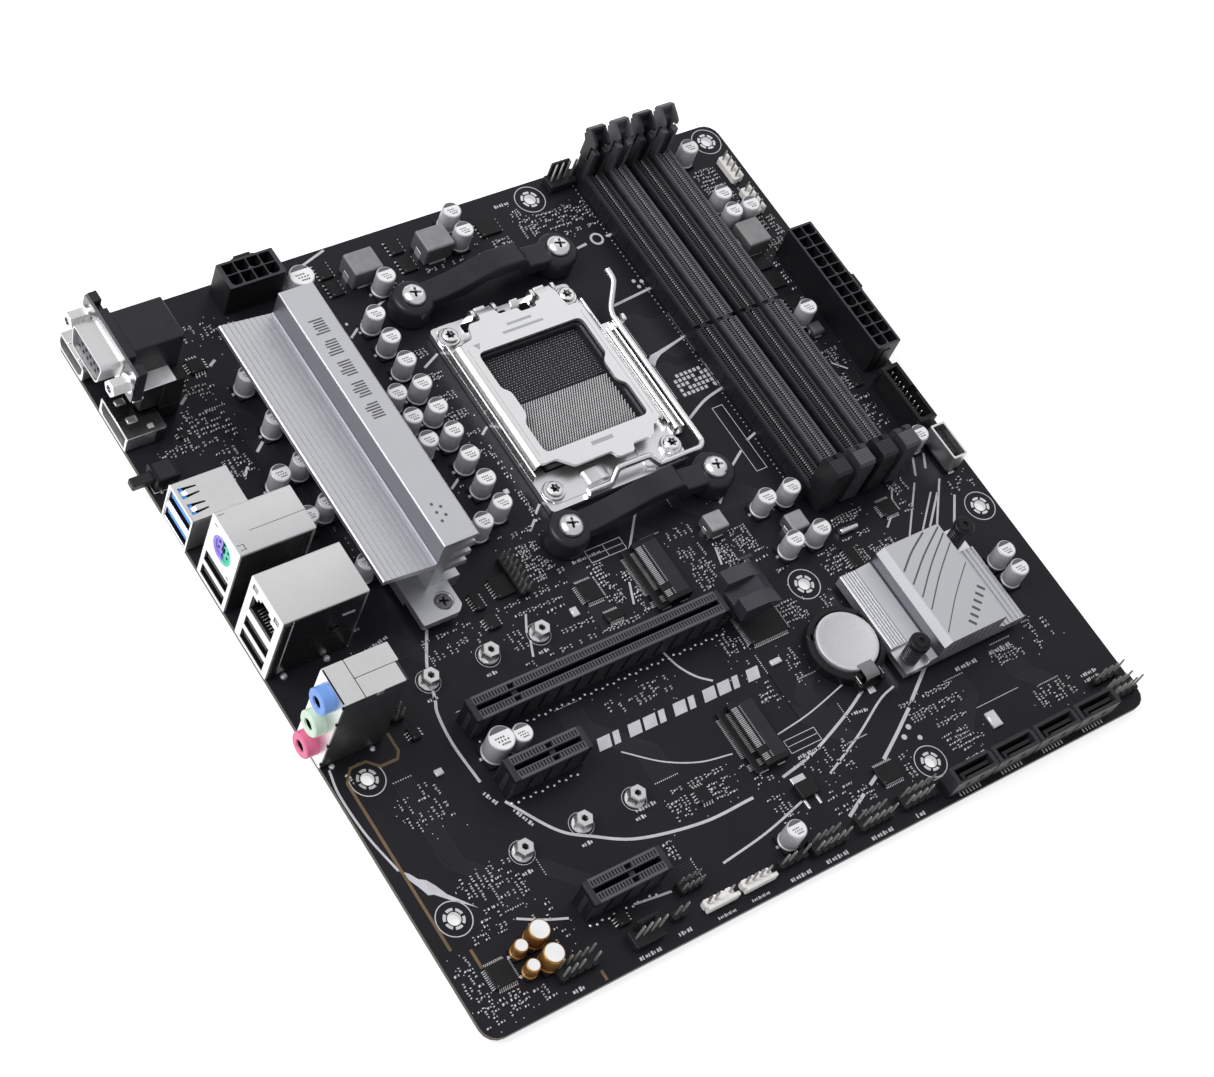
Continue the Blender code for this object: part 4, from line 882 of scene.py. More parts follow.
def label_marks():
    """Rows of plain bars in place of the printed words."""
    p = Piece("label_marks")
    for x, y, count, turn, high in LABELS:
        for k in range(count):
            u = k * high * 0.8
            wide = high * (0.55, 0.4, 0.6, 0.3)[(k * 3 + count) % 4]
            cut = high * (0.0, 0.25, 0.12)[(k + count) % 3]
            p.add(slab(u, u + wide, cut, high - cut * 0.5, 0.0, INK), SILK, (x, y, 0, turn))
    for k, wide in enumerate((4.4, 2.2, 4.4, 4.4, 2.2, 4.4, 2.2, 4.4, 4.4, 2.2, 4.4)):
        x = 74.8 + 5.4 * k
        p.add(prism("z", [(x, 184.6), (x + 1.4, 180.8), (x + 1.4 + wide, 180.8), (x + wide, 184.6)], 0, INK), SILK)
    for row in range(9):
        for col in range(5):
            if (row * 5 + col * 3) % 7:
                x = 169.4 + 1.7 * row
                p.add(slab(x, x + 1.1, 83.2 + 1.75 * col, 84.4 + 1.75 * col, 0.0, INK), SILK)
    p.make()


def pad_rows():
    """Solder ends of the slots' leads, in rows beside them."""
    p = Piece("slot_solder")
    for x0, y, count in ((45.0, 167.2, 44), (43.0, 187.3, 12), (43.0, 227.8, 12)):
        for i in range(count):
            p.add(turned(x0 + 2.0 * i, y + 0.5 * (i % 2), [(0.42, 0.0), (0.3, 0.12), (0.12, 0.22)], 10), TIN)
    x0, _, y0, y1 = span("dimm_slot_1")[:4]
    for k in range(int((y1 - y0 - 12) / 1.7)):
        p.add(turned(x0 - 0.9, y0 + 4 + 1.7 * k, [(0.25, 0.0), (0.16, 0.1)], 8), TIN)
    p.make()


def build_board():
    soften("pcb", MASK)
    soften("cpu_backplate", FRAME_GREY, 0.3)
    lines = printed_lines()
    printed_boxes(lines)
    lines.make()
    hole_marks()
    m2_standoffs()
    exposed_audio_trace()
    capacitors()
    chokes()
    chips()
    small_parts()
    pad_rows()
    traces()
    label_marks()


# ---------------------------------------------------------------- outlines, plates and screws

def fillet(points, r, n=4):
    """Outline with every corner rounded by up to r."""
    out = []
    pts = [Vector(p) for p in points]
    for i, p in enumerate(pts):
        a, b = pts[i - 1] - p, pts[(i + 1) % len(pts)] - p
        reach = min(r, a.length * 0.45, b.length * 0.45)
        a, b = p + a.normalized() * reach, p + b.normalized() * reach
        for k in range(n + 1):
            t = k / n
            out.append(tuple((1 - t) ** 2 * a + 2 * t * (1 - t) * p + t * t * b))
    return out


def sheet_with_holes(outer, holes, a, b, axis="z"):
    """Flat plate between a and b with openings through it."""
    loops = [outer, *holes]
    flat = [p for loop in loops for p in loop]
    tris = tessellate_polygon([[Vector((u, v, 0)) for u, v in loop] for loop in loops])
    n = len(flat)
    verts = [PUT[axis](u, v, w) for w in (a, b) for u, v in flat]
    faces = [tuple(t) for t in tris] + [tuple(i + n for i in t) for t in tris]
    start = 0
    for loop in loops:
        m = len(loop)
        for i in range(m):
            j = (i + 1) % m
            faces.append((start + i, start + j, n + start + j, n + start + i))
        start += m
    return verts, faces


def star(r, wave, n=48):
    """Six-lobed drive outline about the origin."""
    return [(d * math.cos(t), d * math.sin(t)) for t, d in
            ((2 * math.pi * i / n, r + wave * math.cos(12 * math.pi * i / n)) for i in range(n))]


def cross(length, half, n=48):
    """Cross-shaped drive outline about the origin."""
    out = []
    for i in range(n):
        t = 2 * math.pi * i / n
        c, s = abs(math.cos(t)), abs(math.sin(t))
        d = min(length / max(c, s), half / max(min(c, s), 1e-6))
        out.append((d * math.cos(t), d * math.sin(t)))
    return out


def screw(p, x, y, profile, drive, depth, mat):
    """Screw head: a turned profile (radius, height) that ends in a recess of the drive's outline."""
    n = len(drive)
    rings = [[(u, v, z) for u, v in circle(0, 0, r, n)] for r, z in profile]
    top = profile[-1][1]
    rings.append([(u, v, top - 0.05) for u, v in drive])
    rings.append([(u * 0.8, v * 0.8, top - depth) for u, v in drive])
    p.add(loft(rings), mat, (x, y, 0, 20))
    p.add(turned(0, 0, [(drive[0][0] * 0.75, top - depth - 0.02), (drive[0][0] * 0.7, top - depth + 0.03)], 12), PIT,
          (x, y, 0, 0))


def middle(node):
    """A node's centre in plan, and its lowest and highest points."""
    x0, x1, y0, y1, z0, z1 = span(node)
    return (x0 + x1) / 2, (y0 + y1) / 2, z0, z1


# ---------------------------------------------------------------- cooling

GROOVES = 10
CROWN_TOP = 29.0
SHELF_INNER, SHELF_EDGE = Vector((53.6, 19.6)), Vector((35.2, 22.2))   # x and height of its top


def shelf_line():
    """Top of the ribbed shelf, from the wall out to its free edge, with its grooves."""
    across = SHELF_EDGE - SHELF_INNER
    run = across.normalized()
    down = Vector((-run.y, run.x))
    pitch = across.length / GROOVES
    out = []
    for i in range(GROOVES):
        mid = SHELF_INNER + run * pitch * (i + 0.5)
        out += [mid - run * 0.24, mid - run * 0.14 + down * 0.2, mid + run * 0.14 + down * 0.2, mid + run * 0.24]
    return [tuple(q) for q in out] + [(35.5, 22.15), (35.2, 21.9)]


def vrm_heatsink():
    y0 = span("vrm_heatsink")[2]
    fins = []
    for i in range(3):
        z = 13.2 + 4.8 * i
        fins += [(57.6, z), (64.6 + 0.2 * i, z), (64.8 + 0.2 * i, z + 0.3), (64.8 + 0.2 * i, z + 1.9),
                 (64.6 + 0.2 * i, z + 2.2), (57.6, z + 2.2)]
    section = [(46.7, 2.0), (64.6, 2.0), (64.6, 7.2), (57.6, 7.2), *fins, (57.6, 27.0), (65.4, 27.0), (65.4, 28.3),
               (64.7, CROWN_TOP), (53.75, CROWN_TOP), (53.6, CROWN_TOP - 0.15), (53.6, 6.0), (46.7, 6.0)]
    shelf = [(53.7, 19.6), *shelf_line(), (35.2, 20.4), (49.0, 18.0), (53.7, 17.2)]
    p = Piece("vrm_heatsink_body")
    p.add(prism("y", section, y0 + HAIR, 121.4), ALLOY)
    p.add(prism("y", shelf, y0 + HAIR, 121.4), ALLOY)
    # each shelf groove gets a dark strip of painted shadow and a bright strip of painted highlight on its edge
    for i in range(GROOVES):
        m = SHELF_INNER + (SHELF_EDGE - SHELF_INNER) * (i + 0.5) / GROOVES
        p.add(slab(m.x - 0.13, m.x + 0.13, y0 + 0.04, 121.38, m.y - 0.3, m.y - 0.08), GROOVE)
        p.add(slab(m.x - 0.44, m.x - 0.26, y0 + 0.04, 121.38, m.y - 0.1, m.y + 0.07), MILLED_HIGHLIGHT)
    # thin dark sheet on the crown's upright wall, and a dark strip in the crease at its foot: painted shade
    p.add(slab(53.55, 53.62, y0 + 0.03, 121.36, 20.1, 28.3), WALL_SHADE)
    p.add(slab(53.3, 53.65, y0 + 0.03, 121.36, 19.62, 20.1, 0.1), GROOVE)
    for y in (y0 + HAIR, 121.4):
        s = 0.05 if y > 100 else -0.05
        p.add(prism("y", [(54.2, 27.3), (65.0, 27.3), (64.6, 28.8), (54.2, 28.8)], y, y + s), MILLED_HIGHLIGHT)
    foot = fillet([(46.8, 118.4), (60.8, 118.4), (60.8, 129.5), (58.8, 131.45), (46.8, 131.45)], 0.8)
    p.add(sheet_with_holes(foot, [circle(56.4, 126.4, 3.1, 32)[::-1]], 4.9, 5.99), ALLOY)
    p.add(prism("z", foot, 3.42, 4.92), ALLOY)
    p.add(ring(56.4, 126.4, 3.08, 2.8, 32, 4.92, 5.2), MILLED_HIGHLIGHT)
    p.make(smooth=20, stands_for=["vrm_heatsink"])
    s = Piece("heatsink_screw_head")
    screw(s, 56.4, 126.4, [(2.65, 5.12), (2.65, 5.6), (2.4, 5.88), (1.6, 5.9)], cross(1.5, 0.35), 0.6, SHADED_SHELL)
    s.make(stands_for=["heatsink_screw"])


def crown_print():
    """Generic pattern on the crown: five hatched blocks and five dots."""
    p = Piece("crown_print")
    z = CROWN_TOP
    for block in range(5):
        y0 = 40.0 + 7.9 * block
        for line in range(6):
            y = y0 + 0.95 * line
            inset = (0.0, 1.1, 0.5, 0.5, 1.1, 0.0)[(line + block) % 6]
            p.add(slab(56.5 + inset, 61.1, y, y + 0.5, z - HAIR, z + HAIR), PRINT)
    for x, y in ((57.3, 108.0), (59.4, 109.6), (57.3, 110.9), (59.4, 112.5), (57.3, 113.9)):
        p.add(turned(x, y, [(0.5, z - HAIR), (0.5, z + HAIR)], 16), PRINT)
    p.make()


def comb(x0, x1, z, count, deep=0.7):
    """Grooved run of a section from x0 to x1 at height z."""
    pitch = (x1 - x0) / count
    out = []
    for i in range(count):
        m = x0 + pitch * (i + 0.5)
        out += [(m - pitch * 0.22, z), (m - pitch * 0.1, z - deep), (m + pitch * 0.1, z - deep),
                (m + pitch * 0.22, z)]
    return out


def chipset_heatsink():
    x0, x1, y0, y1 = span("chipset_heatsink")[:4]
    y0, y1 = y0 + HAIR, y1 - HAIR
    left = [(185.0, 11.4), (185.0, 6.4), (184.4, 6.9), (183.6, 6.8), (180.2, 6.1)]
    left += comb(x0 + 0.4, 179.6, 5.9, 6, 0.45)[::-1] + [(x0 + HAIR, 5.6)]
    right = comb(211.8, 220.4, 5.95, 5, 0.5)[::-1]
    block = [(185.0, 2.0), (209.2, 2.0), (209.2, 13.3), (208.9, 13.6), (187.2, 13.6), (185.0, 11.4)]
    strip = [(x0 + HAIR, 2.0), (185.1, 2.0), (185.1, 6.4), *left[2:]]
    flange = [(209.1, 2.0), (x1 - HAIR, 2.0), (x1 - HAIR, 5.6), *right, (211.4, 6.0), (210.6, 7.4), (209.1, 7.4)]
    p = Piece("chipset_heatsink_body")
    p.add(prism("y", block, y0, y1), ALLOY)
    p.add(prism("y", strip, y0, 195.7), ALLOY)
    p.add(prism("y", [(181.7, 2.0), (185.1, 2.0), (185.1, 6.4), (184.4, 6.9), (181.7, 6.4)], 195.6, y1), ALLOY)
    p.add(slab(x0 + HAIR, 181.8, 195.6, y1, 2.0, 4.4), MILLED_HIGHLIGHT)
    # thin dark sheet on the block's upright wall: painted shade
    p.add(slab(184.9, 185.02, y0 + 0.01, y1 - 0.01, 6.5, 11.4), WALL_SHADE)
    # pale strip on the bevel: painted highlight
    p.add(prism("y", [(184.95, 11.42), (187.17, 13.65), (187.3, 13.4), (185.2, 11.2)], y0 + HAIR, y1 - HAIR), SLOPE_HIGHLIGHT)
    # each groove gets a dark strip of painted shadow and a bright strip of painted highlight beside it
    for k in range(6):
        x = x0 + 0.4 + (179.6 - x0 - 0.4) * (k + 0.5) / 6
        p.add(slab(x - 0.12, x + 0.12, y0 + HAIR, 195.68, 5.4, 5.72), GROOVE)
        p.add(slab(x - 0.55, x - 0.38, y0 + HAIR, 195.68, 5.6, 5.96), MILLED_HIGHLIGHT)
    p.add(prism("y", flange, 176.9, y1), ALLOY)
    p.add(prism("y", [(209.1, 2.0), (212.3, 2.0), (212.3, 5.9), (210.9, 7.2), (209.1, 7.4)], y0, 177.0), ALLOY)
    p.add(slab(212.2, x1 - HAIR, y0, 177.0, 2.0, 4.4), MILLED_HIGHLIGHT)
    for k in range(9):
        x = 187.6 + 2.45 * k
        p.add(slab(x, x + 0.5, y1 - 0.01, y1 + HAIR, 6.2, 12.4 - 0.12 * (k - 4) ** 2), PRINT)
    p.make(smooth=20, stands_for=["chipset_heatsink"])
    q = Piece("chipset_print")
    z = 13.6
    lines = [((187.8, 178.0), (202.3, 169.1)), ((187.8, 182.9), (208.2, 169.4)), ((187.8, 187.7), (208.6, 171.8)),
             ((187.8, 192.4), (208.6, 175.5)), ((187.8, 201.0), (208.6, 183.4))]
    for i, (a, b) in enumerate(lines):
        mid = ((a[0] + b[0]) / 2 - 0.3, (a[1] + b[1]) / 2 - 0.4)
        q.add(ribbon(smooth_line([a, mid, b], 10), 0.62 - 0.07 * i, z - 0.02, 0.04), PRINT)
    for k in range(6):
        x, y = 196.2 + 2.05 * k, 200.6 - 1.75 * k
        q.add(prism("z", [(x, y), (x + 0.7, y - 0.6), (x + 2.3, y + 1.6), (x + 1.6, y + 2.2)], z - HAIR, z + HAIR),
              PRINT)
    q.make()


def push_pins():
    for i in (1, 2):
        node = "push_pin_%d" % i
        x, y, z0, _ = middle(node)
        p = Piece("push_pin_body_%d" % i)
        p.add(turned(x, y, [(1.45, z0), (1.45, 11.3), (3.2, 11.9), (3.28, 12.2), (3.28, 13.9), (3.0, 14.2),
                            (2.5, 14.3), (2.3, 14.85), (0.9, 14.88), (0.7, 14.3)], 32), BLACK)
        p.make(smooth=35, stands_for=[node])
        turns, steps = 6.0, 20
        coil = []
        for k in range(int(turns * steps) + 1):
            a = 2 * math.pi * k / steps
            coil.append((x + 2.5 * math.cos(a), y + 2.5 * math.sin(a), 4.9 + 6.4 * k / (turns * steps)))
        s = Piece("push_pin_spring_%d" % i)
        s.add(wire(coil, 0.36, 8), SPRING_AND_SHADE)
        s.make(smooth=60)


# ---------------------------------------------------------------- processor socket

CPU_X, CPU_Y = 130.4, 76.2
PLATE_LOW, PLATE_TOP = 6.2, 7.4
LEVER = (111.2, 4.0)           # from the top edge, height


def plate_window():
    x0, x1 = CPU_X - 19.1, CPU_X + 19.5
    y0, y1 = CPU_Y - 19.7, CPU_Y + 19.5
    pts = [(x1, y1), (x0, y1), (x0, CPU_Y + 7.6), (x0 + 2.2, CPU_Y + 5.4), (x0 + 2.2, CPU_Y - 3.6), (x0, CPU_Y - 5.8),
           (x0, y0), (x1, y0), (x1, CPU_Y - 5.0), (x1 - 2.4, CPU_Y - 2.8), (x1 - 2.4, CPU_Y + 5.0), (x1, CPU_Y + 7.2)]
    return fillet(pts, 2.4, 5)


def load_plate():
    outline = [(108.1, 52.1), (112.6, 51.3), (114.4, 46.1), (118.9, 46.1), (119.3, 44.2), (125.3, 44.2),
               (125.7, 46.1), (132.6, 46.1), (132.8, 47.8), (138.8, 47.8), (139.0, 46.1), (141.2, 46.1),
               (141.5, 44.2), (147.5, 44.2), (147.8, 46.1), (148.4, 51.3), (152.1, 51.3), (152.1, 98.3),
               (149.2, 99.3), (147.0, 102.9), (139.0, 102.9), (138.0, 105.5), (132.0, 105.5), (131.0, 102.9),
               (117.6, 102.9), (113.4, 98.7), (108.1, 98.7)]
    p = Piece("load_plate_sheet", "plate")
    p.add(sheet_with_holes(fillet(outline, 0.9, 4), [plate_window()[::-1]], PLATE_LOW + HAIR, PLATE_TOP - HAIR),
          PLATE)
    low = PLATE_TOP - 2.52
    for x, start, a, b in ((108.1, 90, 52.3, 98.5), (152.1, 0, 51.5, 98.1)):
        roll = circle(x, low, 2.5, 9, start, 90) + circle(x, low, 1.7, 9, start, 90)[::-1]
        p.add(prism("y", roll, a, b), PLATE)
    ay, az = 42.4, 5.2
    knuckle = circle(ay, az, 1.28, 14, 90, 240)
    arm = [(47.2, 7.33), (44.6, 7.33), *knuckle, (45.6, 6.27), (47.2, 6.27)]
    for a in (119.3, 141.5):
        p.add(prism("x", arm, a, a + 6.0), PLATE)
    p.make(smooth=35, bevel=0.18, stands_for=["load_plate"])
    relief = Piece("load_plate_relief", "plate")
    z = PLATE_TOP - 0.03
    tab = fillet(rect(CPU_X + 18.4, CPU_X + 20.2, CPU_Y - 3.4, CPU_Y + 5.6), 0.9, 5)
    inner = [(CPU_X + 19.3 + (u - CPU_X - 19.3) * 0.6, CPU_Y + 1.1 + (v - CPU_Y - 1.1) * 0.9) for u, v in tab]
    relief.add(prism("z", tab, z, z + 0.02, inner), PLATE)
    relief.add(prism("z", [(111.4, 53.4), (114.0, 53.4), (112.7, 55.6)], z, z + 0.02), MARK_AND_SHADE_LINE)
    for k, wide in enumerate((9.0, 15.0)):
        y = 50.0 + 2.4 * k
        relief.add(slab(CPU_X - wide / 2, CPU_X + wide / 2, y, y + 0.9, z, z + 0.02), MARK_AND_SHADE_LINE)
    relief.add(slab(CPU_X - 4, CPU_X + 4, 97.6, 99.0, z, z + 0.02), MARK_AND_SHADE_LINE)
    relief.make()
    # grey lines just inside the plate's rolled edges: painted shade in the crease
    rim = Piece("load_plate_rim_shade_line", "plate")
    for x in (109.0, 151.2):
        rim.add(ribbon([(x, 54.5), (x, 75.0), (x, 96.0)], 0.22, PLATE_TOP - 0.03, 0.03), MARK_AND_SHADE_LINE)
    rim.make(smooth=60)


def socket_frame():
    x0, _, y0, y1 = span("socket_frame")[:4]
    x1 = 156.0                 # its right side; the lever's hook stands beyond
    p = Piece("socket_frame_sheet")
    outer = fillet(rect(x0, x1, y0, y1), 1.6, 4)
    inner = rect(CPU_X - 20.3, CPU_X + 20.3, CPU_Y - 23.2, CPU_Y + 23.4)
    p.add(sheet_with_holes(outer, [inner[::-1]], 0.32, 2.58), STEEL)
    p.add(slab(x0 + HAIR, x0 + 0.6, 49.0, 101.0, 2.0, 5.78, 0.15), NICKEL)
    p.add(slab(x0 + 1.1, x0 + 1.5, 50.0, 100.0, 2.5, 4.4, 0.1), STEEL)
    p.add(slab(x1 - 0.7, x1 - HAIR, 49.0, 100.0, 2.0, 5.18, 0.15), NICKEL)
    p.add(slab(155.9, 160.4, 60.5, 103.0, 1.0, 1.5), SHADED_SHELL)
    for a, b, h in ((156.9, 158.3, 4.7), (159.9, 160.5, 4.2)):
        p.add(slab(a, b, 61.5, 102.4, 1.2, h, 0.3), NICKEL)
    for a in (117.8, 125.7, 140.0, 147.9):
        side = fillet([(y0 + 0.05, 2.4), (y0 + 0.05, 6.85), (y0 + 2.95, 6.85), (y0 + 2.95, 2.4)], 0.9, 4)
        p.add(prism("x", side, a, a + 1.1), NICKEL)
    for a in (121.5, 143.7):
        p.add(slab(a - 1.9, a + 1.9, 40.95, 41.15, 2.4, 6.6, 0.08), PLATE)
        p.add(slab(a - 1.9, a + 1.9, 40.95, 42.0, 6.2, 6.6, 0.15), PLATE)
    tongue = [(45.6, 2.4), (45.0, 5.2), (43.6, 6.6), (42.4, 6.8), (42.4, 6.2), (43.3, 6.0), (44.4, 4.9), (45.0, 2.4)]
    p.add(prism("x", fillet(tongue, 0.3, 2), 132.0, 134.6), PLATE)
    for a, b in ((114.6, 118.6), (126.4, 131.4), (135.2, 139.6)):
        p.add(prism("z", fillet(rect(a, b, 42.6, 45.9), 0.7, 3), 2.5, 2.62), PIT)
    p.add(prism("z", rect(155.3, 164.88, 59.0, 62.0), 1.5, 2.58), NICKEL)
    hook = fillet([(59.05, 1.5), (59.05, 5.78), (61.95, 5.78), (61.95, 1.5)], 0.8, 4)
    p.add(prism("x", hook, 163.92, 164.88), NICKEL)
    steps = [(106.6, 40.95, 113.5, 49.5), (148.2, 40.95, 155.0, 49.5), (106.6, 102.6, 119.0, 110.4),
             (141.0, 102.6, 155.0, 110.4)]
    for a, b, c, d in steps:
        p.add(prism("z", fillet(rect(a, c, b, d), 1.5, 4), 2.5, 2.85), STEEL)
    p.add(prism("y", fillet([(119.5, 2.5), (120.6, 3.8), (125.0, 4.2), (128.0, 3.6), (128.6, 2.5)], 0.5, 3),
                104.0, 108.6), STEEL)
    p.make(smooth=30, stands_for=["socket_frame"])


def socket_body():
    x0, x1, y0, y1, z0, z1 = span("socket_body")
    p = Piece("socket_housing")
    outer = fillet(rect(x0, x1, y0, y1), 1.0, 3)
    inner = fillet(rect(CPU_X - 18.2, CPU_X + 18.2, CPU_Y - 18.8, CPU_Y + 18.8), 1.6, 3)
    p.add(sheet_with_holes(outer, [inner[::-1]], 3.1, z1 - HAIR), SATIN)
    p.add(prism("z", outer, z0 + HAIR, 3.15), SATIN)
    for y in (CPU_Y - 19.4, CPU_Y + 19.0):
        for x in (CPU_X - 6.0, CPU_X + 6.0):
            p.add(slab(x - 1.4, x + 1.4, y, y + 0.5, 4.5, z1 + 0.15, 0.12), DARK_SLOT)
    p.make(stands_for=["socket_body"])


def contact_leaf(p, x, y, lean, mat):
    """Spring contact: a thin leaf that rises from the floor."""
    run = Vector((0.5, -0.87)) * lean
    side = Vector((0.87, 0.5)) * 0.15
    rings = []
    reach = 0.3 if lean > 0 else 0.18
    for along, z in ((-reach, 3.12), (reach, 3.8), (reach + 0.16, 3.82)):
        c = Vector((x, y)) + run * along
        rings.append([(c.x - side.x, c.y - side.y, z), (c.x + side.x, c.y + side.y, z),
                      (c.x + side.x, c.y + side.y, z + 0.09), (c.x - side.x, c.y - side.y, z + 0.09)])
    p.add(loft(rings), mat)


def contacts():
    upper, lower = Piece("socket_contacts_upper"), Piece("socket_contacts_lower")
    pitch = 0.88
    rows, cols = 42, 40
    for j in range(rows):
        y = CPU_Y - 18.1 + pitch * j
        for i in range(cols):
            x = CPU_X - 17.5 + pitch * i + (pitch / 2 if j % 2 else 0)
            if j == rows // 2 - 1:
                continue
            if j < rows // 2:
                # upper rows alternate the bright contact finish with its darker copy, painted shade
                contact_leaf(upper, x, y, -1.0, CONTACT if (i + j) % 2 else SHADED_CONTACT)
            else:
                contact_leaf(lower, x, y, 1.0, CONTACT)
    for p in (upper, lower):
        p.make(smooth=60)


def lever_path():
    ay, az = LEVER
    path = [(167.8, 44.3, 8.2), (168.0, 47.4, 7.6), (167.2, 49.6, 7.0), (163.4, 55.0, 4.8), (162.3, 58.0, 4.1),
            (162.2, 61.0, az), (162.2, 80.0, az), (162.2, 100.0, az)]
    path += [(x, y, az) for x, y in circle(159.2, ay - 3.0, 3.0, 6, 0, 90)]
    path += [(152.0, ay, az), (145.2, ay, az), (144.0, ay - 0.4, az + 0.4), (141.8, ay - 2.2, az + 2.2),
             (140.6, ay - 2.6, az + 2.6), (135.4, ay - 2.6, az + 2.6), (130.4, ay - 2.6, az + 2.6),
             (129.2, ay - 2.2, az + 2.2), (127.0, ay - 0.4, az + 0.4), (125.8, ay, az), (118.05, ay, az)]
    return path


def load_lever():
    p = Piece("load_lever_wire", "lever")
    p.add(wire(smooth_line(lever_path(), 4), 1.07, 16), NICKEL)
    p.make(smooth=50, stands_for=["load_lever"])


def socket_screws():
    for i in range(1, 5):
        node = "socket_screw_%d" % i
        x, y, z0, z1 = middle(node)
        p = Piece("socket_screw_head_%d" % i)
        screw(p, x, y, [(3.58, z0), (3.58, z0 + 0.7), (3.3, z0 + 1.05), (2.7, z0 + 1.2), (2.55, z1 - 0.25),
                        (2.2, z1 - HAIR)], star(1.35, 0.26), 1.3, NICKEL)
        p.make(smooth=28, stands_for=[node])


def brackets():
    for name in ("cooler_bracket_upper", "cooler_bracket_lower"):
        _, y, z0, _ = middle(name)
        ends = (CPU_X - 27, CPU_X + 27)
        under = [(ends[0], 3.4), (ends[0] + 9, 4.2), (ends[0] + 18, 5.2), (125.4, 7.4), (128.6, 9.0), (140.2, 9.0),
                 (142.2, 6.4), (143.4, 4.4), (ends[1], 4.0)]
        over = [(ends[1], 8.3), (150.0, 8.7), (144.4, 9.4), (143.2, 11.4), (141.4, 13.7), (140.4, 14.15),
                (131.4, 14.15), (129.4, 13.9), (122.0, 11.4), (117.0, 9.9), (112.0, 8.8), (107.0, 8.4),
                (ends[0], 8.3)]
        p = Piece(name + "_body")
        p.add(prism("y", under + over, y - 3.85, y + 3.85), SATIN)
        for x in ends:
            p.add(turned(x, y, [(6.75, z0), (6.78, 6.6), (6.6, 7.4), (6.2, 8.0), (5.6, 8.4), (4.6, 8.48)], 40), SATIN)
        p.make(smooth=40, bevel=0.55, segments=3, stands_for=[name])
    for i in range(1, 5):
        node = "bracket_screw_%d" % i
        x, y, z0, z1 = middle(node)
        p = Piece("bracket_screw_head_%d" % i)
        screw(p, x, y, [(3.88, z0), (3.86, z0 + 0.4), (3.6, z0 + 0.95), (3.1, z0 + 1.4), (2.5, z0 + 1.72),
                        (2.1, z1 - HAIR)], cross(1.9, 0.42), 1.2, NICKEL)
        p.make(smooth=40, stands_for=[node])


def build_socket():
    load_plate()
    socket_frame()
    socket_body()
    contacts()
    load_lever()
    socket_screws()
    brackets()


def build_cooling():
    vrm_heatsink()
    crown_print()
    chipset_heatsink()
    push_pins()
    soften("chipset_chip", CHIP)


# ---------------------------------------------------------------- memory slots

def flank(mid, s, near, far):
    """Limits of a strip between two distances from a middle, on side s (-1 or 1)."""
    return sorted((mid + s * near, mid + s * far))


def ladder(p, along, lo, hi, mid, inner, outer, edge, z0, z1, pitch, bar, mat, leaf, skip=()):
    """Two rows of contact cells beside a card groove: rails and rungs over an open floor."""
    def bit(a0, a1, b0, b1, c0, c1, m):
        p.add(slab(a0, a1, b0, b1, c0, c1) if along == "x" else slab(b0, b1, a0, a1, c0, c1), m)
    count = int((hi - lo) / pitch)
    for s in (-1, 1):
        for near, far in ((inner, inner + 0.35), (outer, edge)):
            bit(lo, hi, *flank(mid, s, near, far), z0, z1, mat)
        a, b = flank(mid, s, inner + 0.3, outer + 0.05)
        bit(lo, hi, a, b, z0 + 0.01, z0 + 0.05, PIT)
        c, d = flank(mid, s, inner - 0.28, inner)
        for k in range(count + 1):
            u = lo + (hi - lo - bar) * k / count
            if any(u0 < u < u1 for u0, u1 in skip):
                continue
            bit(u, u + bar, a, b, z0, z1, mat)
            if k < count:
                v = u + pitch * 0.5
                bit(v, v + pitch * 0.36, c, d, z1 - 1.1, z1 - 0.5, leaf)


